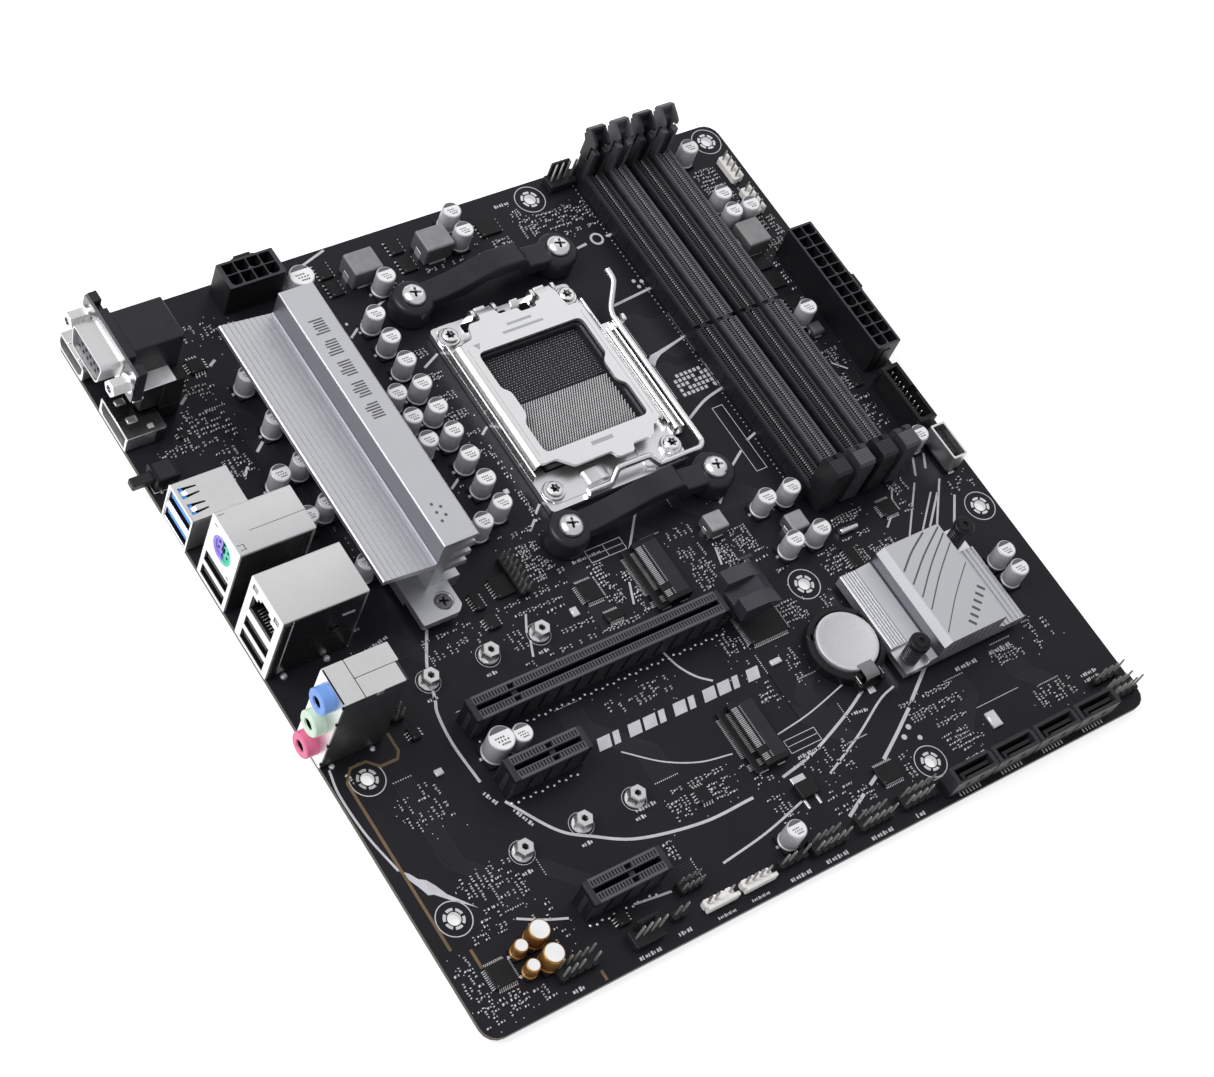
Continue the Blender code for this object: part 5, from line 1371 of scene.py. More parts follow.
def dimm_slot(i):
    node = "dimm_slot_%d" % i
    x, _, z0, _ = middle(node)
    # rails and rungs take the lighter rung plastic: painted highlight
    mat, rail = (DARK_SLOT, DARK_RUNG) if i % 2 else (MID_SLOT, RUNG)
    top, floor, key, card, half = 7.48, 6.1, 74.1, 0.8, 3.18
    p = Piece("dimm_body_%d" % i)
    for s in (-1, 1):
        p.add(slab(*flank(x, s, card, half - 0.14), 6.92, 138.0, z0 + HAIR, floor), mat)
        for k in range(23):
            v = 9.5 + 5.6 * k
            p.add(slab(*flank(x, s, half - 0.3, half), v, v + 4.4, 0.6, top - 1.6), mat)
    p.slabs(mat, 0, (x - card, x + card, 6.92, 139.3, z0 + HAIR, 2.4),
            (x - 1.2, x + 1.2, key - card, key + card, 2.3, top - 0.2))
    for a, b in ((9.4, key - card), (key + card, 138.6)):
        ladder(p, "y", a, b, x, card, 2.45, half, floor - 0.02, top, 0.85, 0.34, rail, CONTACT)
    for s in (-1, 1):
        tower, outside = flank(x, s, 1.0, 3.08), flank(x, s, 2.55, 3.08)
        p.add(slab(*tower, 7.02, 9.3, 4.8, 17.9, 0.2), rail)
        p.add(slab(*outside, 3.9, 7.2, 5.6, 12.6, 0.15), mat)
        p.add(slab(*outside, 2.62, 7.6, 0.45, 5.98, 0.12), mat)
        p.add(slab(*flank(x, s, 1.0, 1.5), 8.9, 9.62, 6.0, 17.4, 0.1), mat)
    head = [(139.2, 2.0), (144.86, 2.0), (144.86, 20.4), (144.2, 21.4), (139.2, 21.4)]
    p.add(prism("x", head, x - 3.05, x + 3.05), mat)
    for s in (-1, 1):
        cheek = [(137.0, 2.0), (139.3, 2.0), (139.3, 21.4), (138.0, 21.4), (137.0, 20.2)]
        p.add(prism("x", cheek, *flank(x, s, card, 3.05)), mat)
        for k in range(3):
            p.add(slab(*flank(x, s, 1.7, 3.0), 144.7, 144.98, 4.0 + 5.2 * k, 7.4 + 5.2 * k, 0.05), mat)
    for k in range(6):
        v = 139.45 + 0.8 * k
        p.add(slab(x - 2.95, x + 2.95, v, v + 0.66, 21.3, 21.5), rail)
    p.make(stands_for=[node])


def dimm_latch(i):
    node = "dimm_latch_%d" % i
    x = middle(node)[0]
    mat = SATIN if i % 2 else GREY_SLOT
    cy, cz = 4.6, 2.9
    p = Piece("dimm_latch_body_%d" % i, "memory_latch_%d" % i)
    foot = circle(cy, cz, 1.87, 9, 180, 180)
    p.add(prism("x", foot + [(6.4, 12.4), (2.8, 12.4)], x - 2.28, x + 2.28), mat)
    grip = [(3.4, 23.9), (1.7, 22.7), (1.45, 21.4), (2.1, 20.9), (1.5, 20.1), (2.75, 18.2), (2.75, 11.85)]
    hook = [(6.45, 11.85), (6.45, 18.5), (8.3, 19.2), (8.1, 20.7), (6.2, 22.2), *grip]
    back = [(5.2, 11.85), (5.2, 19.2), (3.9, 20.4), (3.9, 23.4), *grip]
    for s in (-1, 1):
        p.add(prism("x", hook, *flank(x, s, 2.0, 2.96)), mat)
    p.add(prism("x", back, x - 2.02, x + 2.02), mat)
    p.add(slab(x - 2.02, x + 2.02, 5.1, 6.4, 12.0, 15.2, 0.1), mat)
    for k in range(3):
        z = 21.0 + 0.8 * k
        p.add(slab(x - 1.7, x + 1.7, 3.8, 3.98, z, z + 0.35), mat)
    p.make(bevel=0.12, stands_for=[node])


# ---------------------------------------------------------------- expansion slots

# walls, rims and ends default to the lighter rung plastic: painted highlight
def pcie_slot(node, key, mat=DARK_RUNG):
    x0, x1, y0, y1, z0, z1 = span(node)
    y, top, half = (y0 + y1) / 2, z1 - HAIR, 3.66
    tail = x1 > 132.0          # only the long slot has one
    end = x1 - 2.6 if tail else x1
    p = Piece(node + "_body")
    floor = 9.6
    for s in (-1, 1):
        p.add(slab(x0 + HAIR, end - HAIR, *flank(y, s, 0.9, 3.25), z0 + HAIR, floor), BLACK)
        c, d = flank(y, s, 3.2, half)
        p.slabs(mat, 0, (x0 + HAIR, end - HAIR, c, d, 9.0, 10.0), (x0 + HAIR, end - HAIR, c, d, z0 + HAIR, 1.2))
        count = int((end - x0) / 5.9)
        step = (end - x0 - 1.4) / count
        for k in range(count):
            u = x0 + 0.1 + step * k
            panel = [(u, 1.1), (u + step - 1.3, 1.1), (u + step - 0.5, 9.1), (u + 0.8 if k else u, 9.1)]
            p.add(prism("y", panel, c, d), mat)
    p.slabs(mat, 0, (x0 + HAIR, end - HAIR, y - 0.9, y + 0.9, z0 + HAIR, 3.0),
            (key - 0.9, key + 0.9, y - 1.4, y + 1.4, 2.9, 9.8))
    for a, b in ((x0 + HAIR, x0 + 1.8), (end - 1.8, end - HAIR)):
        p.add(slab(a, b, y - half, y + half, 9.0, top, 0.15), mat)
        p.add(slab(a, b, y - 1.0, y + 1.0, 2.8, 9.8), mat)
    # contacts deep in the groove in the dark spring finish: painted shade
    ladder(p, "x", x0 + 1.7, end - 1.7, y, 0.92, 2.9, half, floor - 0.02, top, 1.0, 0.4, RUNG, SPRING_AND_SHADE,
           ((key - 1.3, key + 0.8),))
    if tail:
        p.add(slab(end - 0.5, x1 - HAIR, y - 3.28, y + 3.28, 0.42, 2.98, 0.2), mat)
        for s in (-1, 1):
            p.add(slab(x1 - 1.0, x1 - 0.1, *flank(y, s, 2.2, 3.2), 2.8, 4.6, 0.1), mat)
    p.make(stands_for=[node])


def slot_latch():
    cx, cz, y = 136.4, 4.0, 161.9
    p = Piece("pcie_latch_hood", "slot_latch")
    foot = circle(cx, cz, 1.87, 9, 150, 210)
    p.add(prism("y", foot + [(cx + 1.87, 8.6), (cx - 1.6, 8.6)], y - 3.55, y + 3.55), SMOKE)
    under = [(cx - 2.75, 7.65), (cx + 3.0, 6.85), (cx + 11.5, 9.25), (cx + 11.5, 10.5)]
    roof = [*under, (cx + 6.0, 13.1), (cx - 2.75, 13.5)]
    low = [*under, (cx + 8.2, 12.0), (cx + 1.8, 9.7), (cx - 2.75, 9.4)]
    for s in (-1, 1):
        p.add(prism("y", roof, *flank(y, s, 2.6, 7.35)), SMOKE)
    p.add(prism("y", low, y - 2.62, y + 2.62), SMOKE)
    p.add(slab(cx + 8.8, cx + 10.9, y - 9.4, y - 4.2, 9.3, 10.3, 0.3), SMOKE)
    p.add(slab(cx + 7.2, cx + 12.6, y - 10.4, y - 8.9, 9.0, 10.5, 0.4), SMOKE)
    for k in range(4):
        u = cx - 1.6 + 1.7 * k
        p.add(slab(u, u + 0.6, y - 6.6, y - 3.4, 13.0 - 0.08 * k, 13.45 - 0.1 * k, 0.1), SMOKE)
    p.make(bevel=0.25, stands_for=["pcie_latch"])


def m2_socket(i):
    node = "m2_socket_%d" % i
    x0, x1, y0, y1, z0, _ = span(node)
    p = Piece("m2_body_%d" % i)
    y = (y0 + y1) / 2
    upper = [(x0 + 3.0, 2.9), (x0 + 11.38, 2.9), (x0 + 11.38, 4.1), (x0 + 11.1, 4.38), (x0 + 5.6, 4.38),
             (x0 + 3.0, 3.6)]
    p.add(prism("y", upper, y0 + HAIR, y1 - HAIR), BLACK)
    p.add(slab(x0 + HAIR, x0 + 11.3, y0 + HAIR, y1 - HAIR, z0 + HAIR, 1.4, 0.1), BLACK)
    p.add(slab(x0 + 8.6, x0 + 11.38, y0 + HAIR, y1 - HAIR, 1.2, 3.0), BLACK)
    for a, b in ((y0 + HAIR, y0 + 1.2), (y1 - 1.2, y1 - HAIR)):
        p.add(slab(x0 + 3.0, x0 + 9.0, a, b, 1.3, 3.0), BLACK)
    p.add(slab(x0 + 6.4, x0 + 10.9, y0 + 1.4, y1 - 1.4, 4.3, 4.42, 0.04), SATIN)
    for k in range(33):
        v = y - 8.8 + 0.55 * k
        if 24 < k < 29:
            continue
        # contact lines under the lid in the darker copy: painted shade
        p.add(prism("y", [(x0 + 3.3, 3.66), (x0 + 5.0, 4.2), (x0 + 5.0, 4.3), (x0 + 3.3, 3.8)], v, v + 0.26),
              SHADED_CONTACT)
        p.add(slab(x0 + 5.7, x0 + 6.1, v, v + 0.26, 4.3, 4.44), SHADED_CONTACT)
        p.slabs(LEAD, 0, (x0 + 2.2, x0 + 3.4, v, v + 0.26, 1.4, 1.75), (x1 - 0.5, x1 + 0.9, v, v + 0.24, 0.05, 0.25),
                (x0 - 0.9, x0 + 0.4, v, v + 0.24, 0.05, 0.25))
    for v in (y0 - 0.2, y1 - 0.9):
        p.slabs(TIN, 0.1, (x0 + 1.2, x0 + 4.6, v, v + 1.1, 0.05, 0.5), (x0 + 8.0, x0 + 10.8, v, v + 1.1, 0.05, 0.5))
    p.make(stands_for=[node])


# ---------------------------------------------------------------- battery

def battery():
    x, y = 162.6, 187.3
    limit = span("battery_holder")[1] - 0.02

    def cut(verts, faces):
        """The shape with its side flattened where the holder ends."""
        return [(min(a, limit), b, c) for a, b, c in verts], faces
    p = Piece("battery_holder_ring")
    wall = [(10.45, 1.4), (12.58, 1.4), (12.58, 3.5), (12.3, 3.9), (11.4, 4.28), (10.7, 4.28), (10.45, 3.9)]
    p.add(cut(*hollow(x, y, wall, 72)), BLACK)
    p.add(cut(*turned(x, y, [(12.58, 0.32), (12.58, 1.45)], 72)), BLACK)
    for s in (-1, 1):
        p.add(slab(*flank(x, s, 3.4, 4.95), y + 9.6, y + 14.55, 0.42, 3.58, 0.2), BLACK)
    p.add(slab(x - 3.5, x + 3.5, y + 10.5, y + 14.55, 0.42, 1.5), BLACK)
    for t in (-1, 1):
        p.add(slab(x + t * 9.6 - 1.1, x + t * 9.6 + 1.1, y - 7.2, y - 4.6, 1.4, 4.28, 0.25), BLACK)
    p.make(smooth=30, stands_for=["battery_holder"])
    c = Piece("coin_cell_body")
    c.add(turned(x, y, [(9.1, 1.82), (9.15, 2.4), (9.95, 2.62), (10.0, 2.9), (10.0, 4.6), (9.9, 4.86), (9.7, 4.97),
                        (8.9, 4.99), (8.8, 4.94), (0.5, 4.95)], 72), CELL)
    c.add(ring(x, y, 8.5, 8.38, 64, 4.9, 4.98), CELL)
    for s in (-1, 1):
        c.add(slab(x + 3.4 * s - 0.9, x + 3.4 * s + 0.9, y - 0.12, y + 0.12, 4.9, 4.985), CELL)
    c.add(slab(x - 3.52, x - 3.28, y - 0.9, y + 0.9, 4.9, 4.985), CELL)
    c.make(smooth=35, stands_for=["coin_cell"])
    s = Piece("battery_clip")
    strip = [(y + 13.2, 1.5), (y + 13.2, 4.6), (y + 12.6, 5.3), (y + 9.2, 5.45), (y + 8.2, 5.1), (y + 8.2, 5.25),
             (y + 9.2, 5.6), (y + 12.8, 5.5), (y + 13.5, 4.8), (y + 13.5, 1.5)]
    s.add(prism("x", strip, x - 2.6, x + 2.6), SHADED_SHELL)
    for a in (x - 4.6, x + 4.2):
        s.add(slab(a, a + 0.4, y + 10.2, y + 13.6, 3.4, 4.2, 0.1), SHADED_SHELL)
    s.add(slab(x - 1.2, x + 1.2, y + 14.4, y + 16.4, 0.0, 0.4, 0.1), TIN)
    s.make()


# ---------------------------------------------------------------- power plugs

def power_plug(node, cols, rows, nub):
    x0, x1, y0, y1, _, z1 = span(node)
    if nub == "x":
        x1 = 241.8
    else:
        y0 = 2.2
    cx = (x0 + x1) / 2 - 2.1 * (cols - 1)
    cy = (y0 + y1) / 2 - 2.1 * (rows - 1)
    holes = []
    p = Piece(node + "_shroud")
    for c in range(cols):
        for r in range(rows):
            u, v = cx + 4.2 * c, cy + 4.2 * r
            w = 1.92
            clip = 0.9 if (c + 2 * r) % 4 in (1, 2) else 0.25
            hole = [(u - w, v - w), (u + w, v - w), (u + w, v + w - clip), (u + w - clip, v + w),
                    (u - w + clip, v + w), (u - w, v + w - clip)]
            holes.append(hole[::-1])
            p.add(slab(u - 0.45, u + 0.45, v - 0.45, v + 0.45, 3.4, 8.6, 0.15), LEAD)
    outer = fillet(rect(x0 + HAIR, x1 - HAIR, y0 + HAIR, y1 - HAIR), 0.5, 3)
    p.add(sheet_with_holes(outer, holes, 3.5, z1 - 0.12), BLACK)
    # thin top skin in a lighter plastic: painted highlight on the top face
    p.add(sheet_with_holes(outer, holes, z1 - 0.13, z1 - HAIR), MID_SLOT)
    p.add(prism("z", outer, 0.32, 3.55), BLACK)
    if nub == "x":
        p.add(slab(x1 - 0.1, 243.18, 78.0, 83.6, 8.0, 12.6, 0.2), BLACK)
        p.slabs(BLACK, 0.1, (x1 - 0.1, x1 + 0.7, 77.0, 78.1, 2.0, 12.4), (x1 - 0.1, x1 + 0.7, 83.5, 84.6, 2.0, 12.4))
        for v in (y0, y1):
            p.add(slab(x0 + 3.4, x0 + 6.2, v - 0.28, v + 0.28, 1.0, 10.5, 0.1), BLACK)
    else:
        p.add(slab(56.6, 62.2, 0.82, y0 + 0.1, 8.0, 12.6, 0.2), BLACK)
        for u in (55.6, 62.1):
            p.add(slab(u, u + 1.1, y0 - 0.7, y0 + 0.1, 2.0, 12.4, 0.1), BLACK)
    p.make(stands_for=[node])


def build_slots():
    for i in range(1, 5):
        dimm_slot(i)
        dimm_latch(i)
    pcie_slot("pcie_x16_slot", 57.2)
    pcie_slot("pcie_x1_slot_1", 57.0)
    pcie_slot("pcie_x1_slot_2", 57.0)
    slot_latch()
    m2_socket(1)
    m2_socket(2)
    battery()
    power_plug("power_24pin", 2, 12, "x")
    power_plug("power_8pin", 4, 2, "y")


# ---------------------------------------------------------------- rear connectors

def port_box(p, x0, x1, y0, y1, z0, z1, mouths, depth=12.0, r=0.5):
    """Stamped shell a hair inside its limits: a front part with mouths through it, closed by a back part."""
    x0, x1 = x0 + HAIR, x1 - HAIR
    outer = rounded(y0 + HAIR, y1 - HAIR, z0 + HAIR, z1 - HAIR, r, 3)
    p.add(sheet_with_holes(outer, mouths, x0, x0 + depth, "x"), SHELL)
    p.add(prism("x", outer, x0 + depth - 0.01, x1), SHELL)


def usb_inside(p, x0, y0, y1, z0, z1, tongue):
    """Tongue, contacts and grounding springs of one USB mouth."""
    mid = z1 - 1.5
    wide = 0.35 if tongue is BLUE else 0.9
    thick = 1.25 if tongue is BLUE else 0.95
    p.add(slab(x0 + 0.35, x0 + 12.0, y0 + wide, y1 - wide, mid - thick, mid + thick, 0.2), tongue)
    side = mid - thick - 0.05
    for k in range(4):
        v = y0 + 2.6 + (y1 - y0 - 5.2) * k / 3
        p.add(slab(x0 + 1.6, x0 + 9.0, v - 0.5, v + 0.5, side, side + 0.1), CONTACT)
    p.add(slab(x0 + 0.2, x0 + 11.0, y0 - HAIR, y1 + HAIR, z0 - HAIR, z0 + 0.03), PIT)
    for k in (0.28, 0.72):
        v = y0 + (y1 - y0) * k
        arch = [(x0 + 1.4, z0 - 0.05), (x0 + 2.4, z0 + 0.65), (x0 + 3.2, z0 + 0.6), (x0 + 6.0, z0 - 0.05)]
        p.add(prism("y", arch, v - 0.45, v + 0.45), SHADED_SHELL)


def hdmi_port():
    x0, x1, y0, y1, z0, z1 = span("hdmi_port")
    p = Piece("hdmi_shell")
    mouth = fillet([(4.1, 5.4), (17.1, 5.4), (17.1, 2.9), (15.9, 1.2), (5.3, 1.2), (4.1, 2.9)], 0.5, 3)
    port_box(p, x0, x1, y0, y1, z0, z1, [mouth], 9.0, 1.2)
    p.add(slab(x0 + 1.0, x0 + 9.0, 6.0, 15.2, 2.9, 4.0, 0.2), BLACK)
    for k in range(10):
        p.add(slab(x0 + 1.2, x0 + 8.0, 6.5 + 0.9 * k, 6.85 + 0.9 * k, 2.84, 2.95), CONTACT)
    for v in (7.2, 13.4):
        p.add(slab(x0 + 0.1, x0 + 1.2, v, v + 1.2, 5.0, 6.35, 0.25), NICKEL)
        p.add(slab(x0 + 1.0, x0 + 6.6, v + 0.2, v + 1.0, z1 - 0.05, z1 + 0.12, 0.05), NICKEL)
    p.make(smooth=40, stands_for=["hdmi_port"])


def displayport():
    x0, x1, y0, y1, z0, z1 = span("displayport_port")
    p = Piece("displayport_shell")
    mouth = [(29.7, 5.8), (43.4, 5.8), (43.4, 1.3), (31.2, 1.3), (29.7, 2.8)]
    port_box(p, x0, x0 + 9.52, y0, y1, z0, z1 - 0.23, [mouth], 9.0)
    p.add(slab(x0 + 9.4, x1 - HAIR, y0 + HAIR, y1 - HAIR, z0 + HAIR, z1 - 0.25), SHADED_SHELL)
    spots = [(x0 + 3.9, 31.9), (x0 + 4.3, 38.6)]
    cuts = [fillet(rect(u - 1.7, u + 1.7, v - 1.2, v + 1.2), 0.5, 3)[::-1] for u, v in spots]
    lid = rect(x0 + HAIR, x1 - HAIR, y0 + HAIR, y1 - HAIR)
    slot = [(x0 + 7.4, 43.2), (x0 + 7.4, 42.0), (x0 + 7.9, 41.5), (x0 + 9.3, 41.5), (x0 + 9.8, 42.0),
            (x0 + 9.8, 43.2)]
    p.add(sheet_with_holes(lid, [*cuts, slot[::-1]], z1 - 0.3, z1 - HAIR), SHADED_SHELL)
    for u, v in spots:
        p.add(slab(u - 1.7, u + 1.7, v - 1.2, v + 1.2, z1 - 0.5, z1 - 0.26), PIT)
        p.add(slab(u - 1.3, u + 1.2, v - 0.9, v + 0.9, z1 - 0.32, z1, 0.1), SHELL)
    p.slabs(NICKEL, 0.1, (x0 + HAIR, x1 - 0.3, y1 - 0.12, y1 + 0.12, z1 - 0.7, z1 + HAIR),
            (x0, x0 + 0.35, y0 + 0.1, y1, z1 - 0.35, z1 + 0.05))
    p.add(slab(x0 + 1.0, x0 + 9.0, 31.6, 41.6, 3.4, 4.5, 0.2), BLACK)
    for k in range(10):
        p.add(slab(x0 + 1.2, x0 + 8.0, 32.2 + 0.95 * k, 32.6 + 0.95 * k, 3.34, 3.45), CONTACT)
    for v in (y0 + 0.4, y1 - 1.6):
        p.add(slab(x0 + 2.0, x0 + 4.0, v, v + 1.2, 0.02, 0.5, 0.1), TIN)
    p.make(smooth=40, stands_for=["displayport_port"])


def vga_port():
    y, z = 25.6, 25.8
    pins = [(k // 5, y + (k % 5 - 2) * 2.3 + (0.0, 1.15, 0.0)[k // 5]) for k in range(15)]   # row, place along y
    p = Piece("vga_housing")
    slabside = [(y - 15.35, z - 6.15), (y + 15.35, z - 6.15), (y + 15.35, z + 6.15), (y + 11.9, z + 6.15),
                (y + 11.9, z + 3.9), (y + 8.9, z + 3.9), (y + 8.9, z + 6.15), (y - 8.9, z + 6.15), (y - 8.9, z + 3.9),
                (y - 11.9, z + 3.9), (y - 11.9, z + 6.15), (y - 15.35, z + 6.15)]
    p.add(prism("x", slabside, 1.3, 3.98), SATIN)
    p.add(slab(3.9, 20.05, y - 7.28, y + 7.28, z - 7.45, z + 6.05, 0.3), SATIN)
    p.add(slab(12.85, 19.95, y - 12.35, y + 12.35, 6.4, 18.2, 0.3), BLACK)
    for a, b in ((y - 12.35, y - 8.6), (y + 8.6, y + 12.35), (y - 2.0, y + 2.0)):
        p.add(slab(12.85, 19.95, a, b, 0.35, 6.6, 0.2), BLACK)
    for row, v in pins:
        p.add(wire([(14.2 + 2.2 * row, v, 6.6), (14.2 + 2.2 * row, v, -2.6)], 0.3, 6), LEAD)
    p.make(stands_for=["vga_port"])
    s = Piece("vga_shell")
    plate = fillet(rect(y - 15.35, y + 15.35, z - 6.15, z + 6.15), 0.6, 3)
    holes = [circle(v, z, 1.3, 12)[::-1] for v in (y + 12.5, y - 12.5)]
    s.add(sheet_with_holes(plate, holes, 0.42, 1.35, "x"), SHADED_SHELL)
    for v0, v1 in ((y - 15.35, y - 13.9), (y + 13.9, y + 15.35)):
        s.add(slab(1.2, 4.6, v0, v1, z - 7.0, z - 5.9, 0.15), NICKEL)
    wide, thin, foot = (fillet([(y - top, z + h), (y + top, z + h), (y + low, z - h), (y - low, z - h)], r, 6)
                        for top, low, h, r in ((8.55, 7.3, 4.15, 1.9), (8.1, 6.95, 3.7, 1.7), (9.3, 8.0, 4.9, 2.0)))
    s.add(framed(wide, thin, -6.36, 0.5, "x"), SHELL)
    s.add(prism("x", foot, 0.0, 0.5, foot), SHELL)
    s.make(smooth=50)
    f = Piece("vga_face")
    f.add(prism("x", thin, -5.3, 0.2), VGA_GREY)
    for row, v in pins:
        f.add(turned(v - 0.4, z + 2.1 - 2.1 * row, [(0.55, -5.33), (0.5, -5.25)], 14, "x"), PIT)
    f.make(smooth=50)
    j = Piece("vga_jack_posts")
    for t in (-1, 1):
        c = y + 12.5 * t
        wall = [(1.35, -5.76), (2.45, -5.76), (2.75, -5.45), (2.75, -0.4), (2.3, 0.1), (2.3, 0.44), (1.35, 0.44)]
        j.add(hollow(c, z, wall, 6, "x"), NICKEL)
        j.add(hollow(c, z, rect(1.35, 3.1, -0.2, 0.44), 28, "x"), NICKEL)
        j.add(turned(c, z, [(1.33, -3.0), (1.33, -2.8)], 12, "x"), PIT)
        for k in range(5):
            j.add(hollow(c, z, [(1.2, -5.6 + 0.5 * k), (1.38, -5.45 + 0.5 * k), (1.38, -5.25 + 0.5 * k)], 16, "x"),
                  NICKEL)
    j.make(smooth=25)
    t = Piece("vga_tabs")
    for a, b in ((y + 6.9, y + 12.6), (y - 12.6, y - 6.9)):
        # bright half-matte contact finish on the tab tops: painted highlight where the housing shades them
        t.add(slab(4.4, 16.6, a, b, 18.5, 19.1, 0.15), CONTACT)
        t.add(slab(4.4, 5.0, a, b, 17.0, 18.8, 0.15), NICKEL)
        t.add(slab(7.0, 11.4, a + 0.3, b - 0.3, 0.4, 2.4, 0.3), BLACK)
    for a, b in ((y + 7.6, y + 12.2), (y - 12.2, y - 7.6)):
        t.add(slab(6.4, 12.9, a, b, 8.0, 18.52, 0.3), BLACK)
    t.make()
    m = Piece("vga_print")
    m.add(ribbon(circle(19.2, 24.0, 7.2, 16, -75, 105), 0.3), SILK)
    m.make()


def usb3_stack():
    x0, x1, y0, y1, z0, z1 = span("usb3_stack")
    p = Piece("usb3_shell")
    mouths = [(67.95, 79.65, 1.6, 6.4), (67.95, 79.65, 9.2, 14.0)]
    port_box(p, x0, x1, y0, y1, z0, z1 - 0.6, [rect(*m) for m in mouths])
    top = rect(x0 + HAIR, x1 - HAIR, y0 + HAIR, y1 - HAIR)
    springs = (71.0, 76.6)
    slits = []
    for v in springs:
        slits.append([(x0 + 0.9, v - 1.9), (x0 + 6.4, v - 1.3), (x0 + 6.4, v - 0.8), (x0 + 2.9, v - 0.9),
                      (x0 + 2.9, v + 0.9), (x0 + 6.4, v + 0.8), (x0 + 6.4, v + 1.3), (x0 + 0.9, v + 1.9)][::-1])
    p.add(sheet_with_holes(top, slits, z1 - 0.36, z1 - HAIR), SHELL)
    for a, b, c, d in ((x0 + HAIR, x1, y0 + HAIR, y0 + 0.3), (x0 + HAIR, x1, y1 - 0.3, y1 - HAIR),
                       (x1 - 0.3, x1 - HAIR, y0, y1)):
        p.add(slab(a, b, c, d, z1 - 0.66, z1 - 0.3), SHELL)
    p.add(slab(x0 + 2.4, x0 + 6.8, y0 + 1.4, y1 - 1.4, z1 - 0.62, z1 - 0.56), PIT)
    p.add(slab(x0 + 0.5, x0 + 2.4, y0 + 1.4, y1 - 1.4, z1 - 0.62, z1 - 0.54), BLUE)
    for v in springs:
        bent = [(x0 + 3.2, z1 - 0.1), (x0 + 1.9, z1 - 0.52), (x0 + 1.2, z1 - 0.3), (x0 + 1.2, z1 - 0.2),
                (x0 + 1.9, z1 - 0.4), (x0 + 3.2, z1 - HAIR)]
        p.add(prism("y", bent, v - 0.75, v + 0.75), NICKEL)
    rim = rounded(y0 - 0.25, y1 + 0.25, z0 - 0.1, z1 + 0.3, 0.6, 3)
    hole = rounded(67.7, 79.9, 1.3, z1 - 0.9, 0.4, 3)
    p.add(framed(rim, hole, x0 - 0.35, x0 + 0.1, "x"), NICKEL)
    p.add(slab(x0 - 0.3, x0 + 0.2, 67.8, 79.8, 6.6, 9.0, 0.1), SHELL)
    for mouth in mouths:
        usb_inside(p, x0, *mouth, BLUE)
    p.add(slab(x0 + 0.15, x0 + 1.6, 69.4, 78.3, z1 - 1.3, z1 - 0.7, 0.1), BLUE)
    p.add(slab(x1 - 0.6, x1 - HAIR, y0 + 1.0, y1 - 1.0, z0, 3.0), BLACK)
    p.make(stands_for=["usb3_stack"])


def ps2_stack():
    x0, x1, y0, y1, z0, z1 = span("ps2_usb_stack")
    y = (y0 + y1) / 2
    c, r = (y, 21.4), 4.6
    p = Piece("ps2_shell")
    mouths = [(88.5, 100.7, 1.7, 6.3), (88.5, 100.7, 8.5, 13.1)]
    slots = [rect(y - 5.6, y - 4.2, 26.9, 27.4), rect(y + 4.4, y + 5.6, 14.3, 14.9)]
    port_box(p, x0, x1, y0, y1, z0, z1, [*(rect(*m) for m in mouths), circle(*c, r, 36), *slots])
    p.add(slab(x0 + 0.5, x1 - 1.0, y1 - 0.1, y1 + 0.05, 1.0, z1 - 0.9), SHADED_SHELL)
    p.add(slab(x0 + 6.2, x1, y + 1.2, y + 1.2 + 0.14, z1 - 0.03, z1), PIT)
    for a, v in ((x0 + 0.6, y0 + 1.4), (x0 + 0.6, y1 - 3.2), (x0 + 0.9, y1 - 1.5)):
        p.add(slab(a, a + 2.0, v, v + 0.16, z1 - 0.03, z1), PIT)
    p.add(slab(x0 + 2.4, x0 + 2.6, y1 - 3.2, y1 - 1.4, z1 - 0.03, z1), PIT)
    for mouth in mouths:
        usb_inside(p, x0, *mouth, BLACK)
    p.make(smooth=40, stands_for=["ps2_usb_stack"])
    d = Piece("ps2_disc")
    for start, mat in ((100, PURPLE), (280, TEAL)):
        d.add(prism("x", circle(*c, r - 0.05, 20, start, 180), x0 + 0.55, x0 + 4.0), mat)
    d.add(ring(*c, r, r - 0.9, 36, x0 + 0.25, x0 + 0.6, "x"), TEAL)
    half = framed(circle(*c, r + 0.02, 20, 100, 180), circle(*c, r - 0.92, 20, 100, 180), x0 + 0.22, x0 + 0.62, "x")
    d.add(half, PURPLE)
    for a in (30, 90, 150, 210, 270, 330):
        u, v = c[0] + 2.5 * math.cos(math.radians(a)), c[1] + 2.5 * math.sin(math.radians(a))
        d.add(turned(u, v, [(0.5, x0 + 0.5), (0.5, x0 + 0.6)], 12, "x"), PIT)
    d.add(slab(x0 + 0.5, x0 + 0.6, c[0] - 0.8, c[0] + 0.8, c[1] - 0.9, c[1] + 1.1), PIT)
    d.make(smooth=40)


